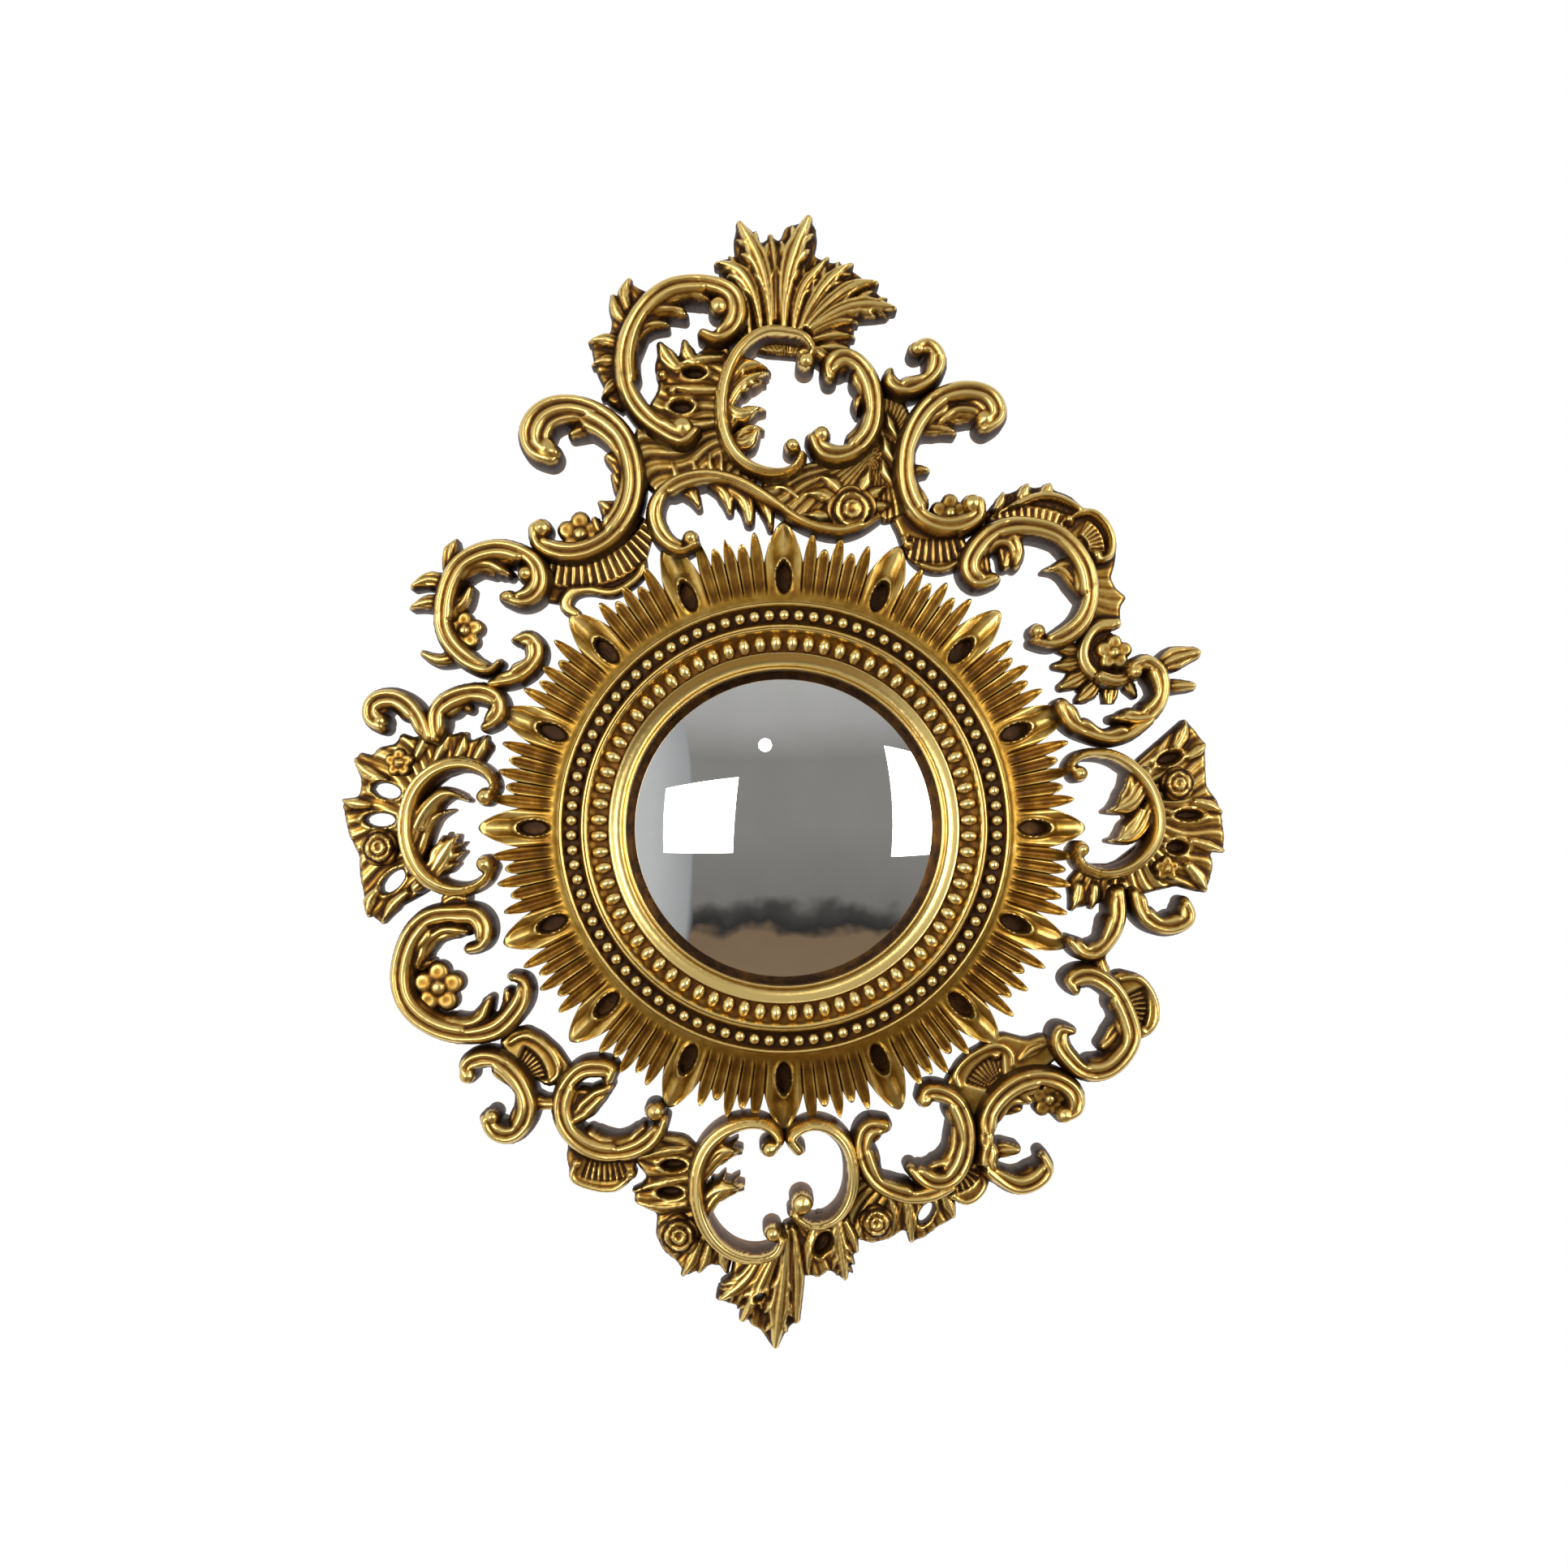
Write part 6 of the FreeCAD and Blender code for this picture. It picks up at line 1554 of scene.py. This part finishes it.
@dataclass(frozen=True)
class Base(CarvedGroup):
    """Plain scrolls, pendant leaf and leafy panels below the glass."""

    pieces: tuple = (
        Carving("base_c_scroll", (
            *leaves((-46, -204, -40, -197, -27, -197, 7, 10, 2),
                (-48, -226, -39, -220, -26, -219, 7, 10, 3)),
            Plain((-8, -196, -3, -191, -7, -184, -16, -180, -28, -181, -40, -187, -49, -198, -53, -211,
                -53, -225, -49, -240, -41, -252, -29, -260, -16, -262, -5, -258, -1, -250),
                (7, 9, 11, 11, 11, 11, 10, 9, 8)),
            Eye(-9, -195, 5.5), Eye(-7, -246, 5.5),
            Frond((-52, -216, -44, -205, -36, -198, -26, -197), (8, 10, 9, 3), 0.8),
            Frond((-50, -240, -44, -228, -36, -221, -25, -219), (8, 10, 9, 3), 0.8),
        ), slot="bright_gilt"),
        Carving("base_s_scroll", (
            Plain((9, -196, 5, -189, 11, -183, 21, -181, 31, -185, 39, -195, 42, -208, 41, -222, 35, -234,
                25, -241, 14, -241, 6, -235), (9, 9, 10, 10, 10, 9, 8, 8)),
            Eye(11, -228, 7),
        ), slot="bright_gilt"),
        Carving("base_right_leaf_scroll", (
            Scroll((61, -182, 52, -182, 47, -191, 48, -203, 54, -215, 66, -223, 80, -226, 92, -225,
                103, -219), (11, 12, 11, 10, 10, 10, 8, 7)),
        )),
        Carving("base_right_scroll", (
            Scroll((84, -166, 86, -160, 97, -160, 107, -168, 112, -182, 112, -197, 107, -210, 98, -217,
                87, -216, 78, -208), (6, 9, 11, 12, 12, 12, 11, 9)),
            Eye(86, -166, 5),
            Scroll((104, -178, 104, -192, 98, -204, 88, -207), (6, 9, 9, 5), 0.88, inner=3, lobes=1),
        )),
        Carving("base_pendant", (
            Ground((-30, -260, -33, -278, -41, -285, -42, -291, -35, -293, -28, -295, -22, -303, -20, -307,
                -14, -310, -8, -319, -3, -320, 2, -310, 8, -304, 11, -297, 12, -285, 11, -275, 16, -276,
                22, -278, 28, -273, 38, -279, 39, -266, 44, -262, 46, -254, 40, -240, 28, -236, 10, -240,
                0, -244, -4, -256), share=0.7, rays=Rays(4, -236, 34)),
            Frond((-14, -262, -22, -276, -38, -289), (9, 13, 5), 0.9),
            Frond((-4, -258, -14, -280, -25, -302), (8, 12, 5), 0.95),
            Leaf((22, -240, 16, -258, 15, -275), (6, 9, 3), 0.85),
            Frond((32, -240, 35, -258, 38, -277), (8, 11, 4), 0.9),
            Leaf((38, -242, 42, -251, 45, -261), (6, 8, 3), 0.85),
            Leaf((6, -246, 8, -275, 8, -303), (5, 11, 5), 0.9),
            Frond((2, -246, 0, -272, -3, -297, -5, -318), (5, 9, 15, 5), 1.0), Hollow(24, -256, 15, 9, 60),
            Hollow(-15, -288, 6, 3, 30, through=True),
        )),
        Carving("base_left_panel", (
            Ground((-90, -192, -76, -188, -60, -190, -50, -200, -49, -225, -46, -244, -36, -254, -30, -262,
                -34, -275, -38, -271, -45, -270, -52, -273, -60, -277, -66, -268, -74, -262, -79, -252,
                -78, -238, -92, -232, -92, -225, -84, -216, -92, -206, -95, -198), share=0.8, rays=Rays(-10,
                -222, 58, sway=0.8)),
            *leaves((-52, -256, -56, -266, -62, -276, 6, 9, 3), (-46, -258, -48, -266, -52, -274, 6, 8, 3),
                (-38, -258, -37, -266, -35, -274, 6, 8, 3), lift=0.95),
            *leaves((-60, -198, -76, -200, -90, -204, 6, 8, 3), (-58, -216, -76, -219, -92, -224, 5, 7, 3),
                (-60, -232, -76, -234, -90, -231, 6, 9, 3), lift=0.9),
            Hollow(-68, -208, 14, 6, 0), Hollow(-70, -225, 14, 6, 0),
        )),
        Carving("base_right_panel", (
            Ground((38, -218, 46, -206, 56, -214, 70, -222, 92, -222, 104, -216, 106, -230, 106, -238,
                103, -243, 95, -247, 88, -253, 79, -256, 79, -250, 73, -249, 66, -254, 55, -257, 44, -254,
                38, -240), share=0.8, rays=Rays(78, -190, 50, sway=0.7)),
            *leaves((76, -228, 78, -240, 79, -255, 7, 9, 3), (98, -224, 102, -232, 105, -240, 6, 9, 3),
                lift=0.95),
            Leaf((66, -228, 68, -238, 66, -252), (5, 8, 3), 0.9), Hollow(88, -238, 14, 7, 60, through=True),
        )),
    )


@dataclass(frozen=True)
class LowerRight(CarvedGroup):
    """Flower scrolls and shells at the lower right."""

    pieces: tuple = (
        Carving("lower_right_flower_scroll", (
            Ground((108, -204, 118, -200, 126, -206, 125, -220, 120, -229, 110, -231, 101, -229, 99, -220),
                share=0.55),
            *leaves((130, -166, 137, -170, 144, -172, 10, 14, 6),
                (126, -197, 133, -197, 142, -197, 9, 12, 8)),
            Scroll((171, -177, 179, -173, 180, -163, 171, -154, 155, -151, 140, -156, 128, -167, 123, -181,
                124, -194, 122, -204, 130, -213, 142, -219, 153, -217, 161, -208, 158, -200),
                (7, 9, 10, 11, 12, 12, 12, 11, 9, 10, 12, 11, 8)),
            Eye(171, -175, 5.5),
            Scroll((128, -180, 134, -168, 142, -164, 150, -166), (8, 13, 14, 8), 0.92, inner=2, lobes=1),
            Cord((119, -208, 124, -218, 120, -226, 112, -230, 104, -226), (4, 5, 5, 5, 4), lift=0.62),
            Shell(104, -206, 8, 19, 0, -95, 7, share=0.55), Eye(117, -207, 3.5, share=0.62),
            Eye(104, -226, 3.5, share=0.62),
        )),
        Carving("lower_right_scroll", (
            Leaf((206, -118, 202, -127, 196, -133), (10, 13, 8)),
            Scroll((178, -99, 174, -93, 182, -88, 194, -91, 204, -101, 210, -114, 213, -127, 207, -141,
                195, -150, 182, -149, 172, -141, 166, -131, 168, -123, 176, -124),
                (8, 10, 11, 12, 13, 13, 12, 11, 11, 10, 9, 7)),
        )),
        Carving("lower_right_outer_shell", (
            Ground((196, -92, 208, -87, 220, -90, 230, -103, 233, -117, 228, -127, 220, -131, 208, -130,
                200, -112)),
            Cord((208, -93, 217, -92, 226, -100, 230, -113, 228, -122, 222, -127), (4, 5, 5, 5, 4)),
            Shell(196, -111, 15, 29, 28, -30, 8), Eye(221, -125, 3.5),
        )),
        Carving("lower_right_inner_shell", (
            Ground((98, -160, 103, -150, 112, -143, 123, -132, 135, -126, 150, -130, 160, -127, 169, -130,
                170, -142, 158, -152, 140, -156, 124, -174, 112, -184, 106, -170)),
            Cord((108, -159, 106, -153, 112, -143, 123, -136, 133, -134, 140, -139, 141, -146),
                (5, 5, 5, 5, 4, 4)),
            Shell(136, -164, 10, 25, 165, 92, 9), Leaf((146, -142, 152, -137, 162, -133), (6, 10, 4), 1.0),
            Eye(131, -140, 3),
        )),
    )


@dataclass(frozen=True)
class RightSide(CarvedGroup):
    """Scrolls, hooks, shell and leafy panel on the right."""

    pieces: tuple = (
        Carving("right_c_scroll", (
            *leaves((212, 32, 211, 20, 200, 11, 8, 14, 3), (218, 10, 213, 0, 202, -8, 7, 13, 2)),
            Plain((180, 33, 175, 36, 178, 42, 187, 45, 199, 44, 212, 37, 221, 27, 227, 13, 228, -1,
                223, -13, 214, -22, 203, -27, 191, -27, 181, -21, 178, -14), (6, 8, 10, 10, 10, 10, 9, 7)),
            Eye(180, 33, 5), Eye(181, -13, 5),
            Leaf((222, 34, 218, 26, 212, 16, 198, 10), (8, 12, 12, 3), 0.85),
            Leaf((225, 18, 220, 4, 211, -6, 200, -8), (8, 11, 10, 3), 0.8),
        ), slot="bright_gilt"),
        Carving("upper_right_scroll", (
            *leaves((134, 178, 137, 170, 136, 161, 12, 14, 8), (182, 154, 174, 161, 162, 158, 7, 9, 3)),
            Scroll((128, 152, 118, 150, 112, 158, 115, 169, 124, 179, 137, 185, 152, 185, 166, 181,
                178, 171, 186, 157, 188, 142, 184, 127, 175, 117, 163, 112, 153, 114),
                (10, 12, 12, 12, 12, 12, 12, 12, 11, 10, 9, 7)),
            Eye(155, 120, 5),
            Scroll((122, 168, 128, 176, 138, 176, 143, 168, 142, 160), (8, 12, 13, 11, 6), 0.95, inner=3,
                lobes=1),
            Scroll((118, 158, 122, 166, 124, 156, 127, 150), (7, 9, 9, 6), 0.8, inner=2, lobes=1),
            Leaf((182, 142, 176, 152, 170, 158, 160, 158), (7, 10, 9, 3), 0.8),
        )),
        Carving("right_upper_scroll", (
            *leaves((228, 98, 240, 104, 252, 107, 9, 16, 9), (230, 86, 240, 87, 250, 87, 9, 10, 7),
                (214, 94, 205, 90, 195, 92, 7, 10, 10)),
            Scroll((212, 99, 221, 103, 229, 97, 232, 87, 230, 77, 223, 68, 212, 66, 202, 67),
                (6, 8, 10, 10, 10, 9, 8, 6)),
            Eye(214, 95, 5),
        )),
        Carving("right_upper_arch", (
            Scroll((170, 74, 175, 64, 187, 57, 200, 54, 212, 57, 224, 66), (12, 10, 9, 9, 8, 7)),
        )),
        Carving("upper_right_shell", (
            Ground((118, 186, 124, 194, 130, 201, 136, 206, 150, 211, 163, 211, 178, 206, 186, 198,
                198, 191, 206, 178, 206, 165, 203, 155, 206, 149, 213, 143, 209, 137, 209, 127, 192, 122,
                182, 125, 180, 160, 160, 180, 140, 180), share=0.55, rays=Rays(150, 150, 50, depth=1.0)),
            Cord((205, 126, 193, 124, 186, 115, 185, 104, 191, 95), (7, 8, 8, 8, 7)),
            Cord((128, 189, 145, 200, 160, 205, 172, 203, 184, 196), (4, 5, 5, 5, 4), lift=1.0),
            Shell(152, 148, 41, 51, 118, 58, 11),
            Cord((180, 193, 190, 195, 198, 189, 203, 177, 200, 167, 193, 165), (4, 5, 5, 5, 4)),
            Shell(178, 172, 10, 21, 62, -12, 8), Eye(193, 168, 4), Eye(176, 190, 3.5),
            Ground((188, 122, 182, 114, 178, 106, 179, 97, 184, 90, 192, 85, 203, 84, 213, 88, 216, 97,
                213, 104, 206, 118, 198, 124), share=0.5),
            *leaves((186, 112, 178, 110, 169, 111, 8, 9, 5), (185, 103, 177, 101, 168, 100, 8, 10, 5),
                (187, 95, 180, 91, 172, 87, 8, 11, 6), (194, 90, 189, 84, 183, 79, 8, 11, 6),
                (204, 90, 202, 83, 201, 76, 8, 11, 6), (211, 92, 214, 87, 217, 82, 7, 9, 5), lift=0.8),
            Cord((202, 124, 192, 123, 185, 114, 184, 103, 190, 94, 200, 89, 210, 91),
                (5, 6, 6, 6, 6, 6, 5)),
            *leaves((131, 196, 134, 201, 136, 207, 4, 7, 2), (146, 204, 149, 208, 151, 212, 5, 8, 2),
                (160, 206, 163, 209, 165, 212, 5, 8, 2), lift=1.0),
            Floret(204, 108, 11),
        ), margin=16),
        Carving("right_panel", (
            Ground((218, 42, 232, 54, 240, 61, 248, 68, 255, 60, 261, 52, 261, 42, 262, 25, 268, 18, 271, 8,
                273, -5, 272, -14, 264, -15, 266, -22, 264, -33, 258, -40, 250, -38, 243, -36, 226, -40,
                215, -44, 207, -41, 198, -46, 190, -48, 178, -50, 175, -33, 184, -22, 204, -22, 222, -8,
                224, 12, 214, 34), share=0.8, rays=Rays(196, 8, 48, sway=0.8)),
            *leaves((240, 48, 245, 56, 248, 66, 7, 10, 2), (250, 44, 256, 48, 260, 51, 6, 8, 3),
                (182, -36, 181, -43, 178, -50, 7, 9, 3), (192, -36, 192, -42, 190, -49, 6, 8, 3),
                (201, -36, 202, -42, 199, -47, 6, 8, 3), (210, -34, 212, -39, 213, -45, 6, 8, 3),
                (250, -24, 256, -31, 260, -38, 8, 10, 4), (252, -8, 262, -11, 271, -14, 6, 8, 3),
                (254, 16, 262, 14, 270, 10, 6, 8, 3), lift=1.0),
            Hollow(238, 43, 14, 7, 20), Hollow(250, 8, 15, 6, 0), Hollow(243, -12, 12, 8, 0),
        )),
        Carving("right_lower_stem", (
            Leaf((194, -74, 194, -82, 196, -88), (9, 9, 10)),
            Scroll((204, -40, 204, -56, 199, -68, 190, -77, 181, -76, 175, -69), (11, 12, 12, 10, 9, 8)),
        )),
        Carving("right_lower_hook", (
            Scroll((214, -40, 219, -54, 228, -60, 239, -60, 247, -54, 245, -46), (9, 10, 11, 12, 12, 9)),
        )),
    )


# ---------------------------------------------------------------- room, lights and camera


# The camera's place in metres, its lens and sensor in millimetres, and its upward shift.
CAMERA_PLACE = Vector((-0.02, -1.034, 0.0))
CAMERA_LENS = 37.86
SENSOR = 36.0
CAMERA_SHIFT = 0.028


def reflected(x: float, z: float) -> tuple:
    """The ray that the camera sees at a place in the glass.

    Args:
        x: Place to the right of the glass's middle, in millimetres.
        z: Place above it.

    Returns:
        The place on the glass and the ray's direction, in metres.
    """
    low = -cad_reach("mirror_glass", 1, True)
    rise = GLASS_FRONT - low - ConvexGlass.rim
    sphere = (GLASS_RADIUS**2 + rise**2) / (2 * rise)
    middle = Vector((0, sphere - GLASS_FRONT, 0)) * MM
    depth = GLASS_FRONT - sphere + math.sqrt(sphere**2 - x**2 - z**2)
    place = Vector((x, -depth, z)) * MM
    normal = (place - middle).normalized()
    sight = (place - CAMERA_PLACE).normalized()
    return place, sight - 2 * sight.dot(normal) * normal


def studio_object(name: str, points: list, faces: list, material: bpy.types.Material,
                  hidden: tuple) -> bpy.types.Object:
    """Makes an object of the studio.

    Args:
        name: Name of the object.
        points: Vertices in metres.
        faces: Vertex indices of each face.
        material: Its material.
        hidden: Kinds of ray that don't see it.

    Returns:
        The object.
    """
    mesh = bpy.data.meshes.new(name)
    mesh.from_pydata(points, [], faces)
    mesh.materials.append(material)
    made = bpy.data.objects.new(name, mesh)
    for ray in hidden:
        setattr(made, "visible_" + ray, False)
    bpy.context.collection.objects.link(made)
    return made


@dataclass(frozen=True)
class SoftBox:
    """A glowing panel that shows at a chosen place in the glass.

    Attributes:
        name: Name of the panel.
        corners: (x, z) of its corners as seen in the glass, in millimetres.
        away: Distance from the glass, in metres.
        strength: Brightness.
    """

    name: str
    corners: tuple
    away: float
    strength: float

    def build(self) -> None:
        """Builds the panel."""
        seen = [reflected(x, z) for x, z in self.corners]
        corners = [place + self.away * way for place, way in seen]
        material, graph = new_material(self.name)
        graph.glow(linear(255, 252, 246), self.strength)
        panel = studio_object(self.name, corners, [range(len(corners))], material, ("camera",))


@dataclass
class Room:
    """The grey room in front of the glass: half a dome that only reflections show.

    Attributes:
        radius: Radius of the dome.
        rows: Rows of quads from bottom to top.
    """

    radius: float = 5.0
    rows: int = 32

    def build_material(self) -> bpy.types.Material:
        """A pale ceiling, grey walls, a dark row of furniture and a brown floor, by direction."""
        material, graph = new_material("room")
        place = graph.node("ShaderNodeTexCoord").outputs["Object"]
        parts = graph.node("ShaderNodeSeparateXYZ", [("Vector", place)])
        height = graph.spread(parts.outputs["Z"], -self.radius, self.radius, 0, 1)
        clutter = graph.node("ShaderNodeTexNoise", [("Vector", place), ("Scale", 1.1), ("Detail", 2.0)])
        shift = graph.spread(clutter.outputs["Fac"], 0.3, 0.7, -0.02, 0.02)
        low = graph.spread(height, 0.3, 0.4, 1, 0)
        moved = graph.node("ShaderNodeMath", [(0, shift), (1, low)], operation="MULTIPLY").outputs[0]
        walls = graph.ramp(graph.sum(height, moved), (
            (0.0, linear(150, 128, 102)), (0.2, linear(140, 118, 94)), (0.225, linear(58, 56, 56)),
            (0.26, linear(80, 78, 76)), (0.3, linear(136, 134, 131)), (0.5, linear(152, 150, 147)),
            (0.7, linear(150, 149, 146)), (0.8, linear(186, 185, 184)), (1.0, linear(212, 212, 211)),
        ))
        left = graph.ramp(graph.spread(parts.outputs["X"], -self.radius, self.radius, 0, 1), (
            (0.0, linear(232, 234, 236)), (0.14, linear(212, 214, 216)), (0.24, linear(176, 178, 180)),
            (0.26, linear(0, 0, 0)), (1.0, linear(0, 0, 0)),
        ))
        mixed = graph.node("ShaderNodeMix", [(0, 1.0), (6, walls), (7, left)],
                           data_type="RGBA", blend_type="LIGHTEN")
        graph.glow(mixed.outputs[2])
        material.cycles.emission_sampling = "NONE"
        return material

    def build(self) -> None:
        """Builds the half dome and shows it to glossy rays alone."""
        rise = np.linspace(-math.pi / 2, math.pi / 2, self.rows + 1)[:, None]
        turn = np.linspace(0, math.pi, self.rows + 1)[None, :]
        flat = np.cos(rise)
        points = np.stack((flat * np.cos(turn), -flat * np.sin(turn), np.sin(rise) + 0 * turn), axis=2)
        number = np.arange((self.rows + 1) ** 2).reshape(self.rows + 1, -1)
        corners = (number[:-1, :-1], number[1:, :-1], number[1:, 1:], number[:-1, 1:])
        quads = np.stack([corner.ravel() for corner in corners], axis=1)
        places = (points.reshape(-1, 3) * self.radius).tolist()
        room = studio_object("room", places, quads.tolist(), self.build_material(),
                             ("camera", "diffuse", "transmission", "shadow", "volume_scatter"))


@dataclass(frozen=True)
class Studio:
    """Floor, soft lights, surroundings and camera."""

    floor_height: float = -0.95
    floor_radius: float = 1.05
    boxes: tuple = (
        SoftBox("left_soft_box", ((-73, -15), (-31, -15), (-27.5, 30.5), (-71.5, 24)), 1.5, 9.0),
        SoftBox("right_soft_box", ((65, -17.5), (91, -16), (93, 42), (61, 50)), 1.3, 9.0),
        SoftBox("bare_bulb", tuple(
            (-11.5 + 4 * math.cos(turn), 50 + 4 * math.sin(turn)) for turn in np.linspace(0, 2 * math.pi, 20)
        ), 2.2, 22.0),
    )

    def build_floor(self, finish: bpy.types.Material) -> None:
        """Builds a round floor under the mirror."""
        turn = np.linspace(0, 2 * math.pi, 96, endpoint=False)
        ring = np.stack((np.cos(turn), np.sin(turn)), axis=1) * self.floor_radius
        corners = [(x, y, self.floor_height) for x, y in ring]
        floor = studio_object("floor", corners, [range(len(ring))], finish, ("glossy",))

    def build_lamp(self, name: str, place: tuple, size: float, power: float) -> None:
        """Builds an area light that faces the glass."""
        lamp = bpy.data.lights.new(name, "AREA")
        lamp.size = size
        lamp.energy = power
        holder = bpy.data.objects.new(name, lamp)
        holder.location = place
        holder.rotation_euler = (-Vector(place)).to_track_quat("-Z", "Y").to_euler()
        holder.visible_camera = False
        holder.visible_glossy = False
        bpy.context.collection.objects.link(holder)

    def build_world(self) -> None:
        """White for the camera, for metal and for glass, and a plain grey light for the rest."""
        world = bpy.data.worlds.new("backdrop")
        world.use_nodes = True
        graph = Graph(world.node_tree)
        around = graph.node("ShaderNodeBackground", [("Color", linear(158, 157, 155)), ("Strength", 1.0)])
        white = graph.node("ShaderNodeBackground", [("Color", (1, 1, 1, 1)), ("Strength", 1.0)])
        path = graph.node("ShaderNodeLightPath").outputs
        seen = graph.sum(graph.sum(path["Is Camera Ray"], path["Is Glossy Ray"]), path["Is Transmission Ray"])
        chosen = graph.node("ShaderNodeMixShader", [
            (0, seen), (1, around.outputs["Background"]), (2, white.outputs["Background"]),
        ])
        graph.node("ShaderNodeOutputWorld", [("Surface", chosen.outputs["Shader"])])
        bpy.context.scene.world = world

    def build_camera(self) -> None:
        """Places the camera in front of the glass."""
        camera = bpy.data.cameras.new("camera")
        camera.sensor_width = SENSOR
        camera.lens = CAMERA_LENS
        camera.shift_y = CAMERA_SHIFT
        camera.shift_x = -CAMERA_PLACE.x * CAMERA_LENS / SENSOR
        holder = bpy.data.objects.new("camera", camera)
        holder.location = CAMERA_PLACE
        holder.rotation_euler = (math.pi / 2, 0, 0)
        bpy.context.collection.objects.link(holder)
        bpy.context.scene.camera = holder

    def build(self, materials: dict) -> None:
        """Builds the whole studio."""
        self.build_floor(materials[Finish.FLOOR])
        for box in self.boxes:
            box.build()
        self.build_lamp("key_light", (-1.1, -1.3, 1.2), 0.9, 13.0)
        self.build_lamp("fill_light", (1.3, -1.2, 0.3), 0.9, 5.5)
        self.build_lamp("back_light", (0.9, 1.5, 0.9), 1.2, 40.0)
        Room().build()
        self.build_world()
        self.build_camera()
        bpy.context.scene.view_settings.view_transform = "Standard"


def main() -> None:
    """Builds the mirror's looks and the studio."""
    materials = {finish: finish.value.build() for finish in Finish}
    for node, finish in NODE_FINISHES.items():
        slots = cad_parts[node].data.materials
        slots.clear()
        slots.append(materials[finish])
    Mouldings().build(materials)
    for number, group in enumerate((Crest, LeftSide, LowerLeft, Base, LowerRight, RightSide), start=6):
        group(seat=number * SEAT_STEP / 6).build(materials)
    Flowers().build(materials)
    Studio().build(materials)


if __name__ == "__main__":
    main()
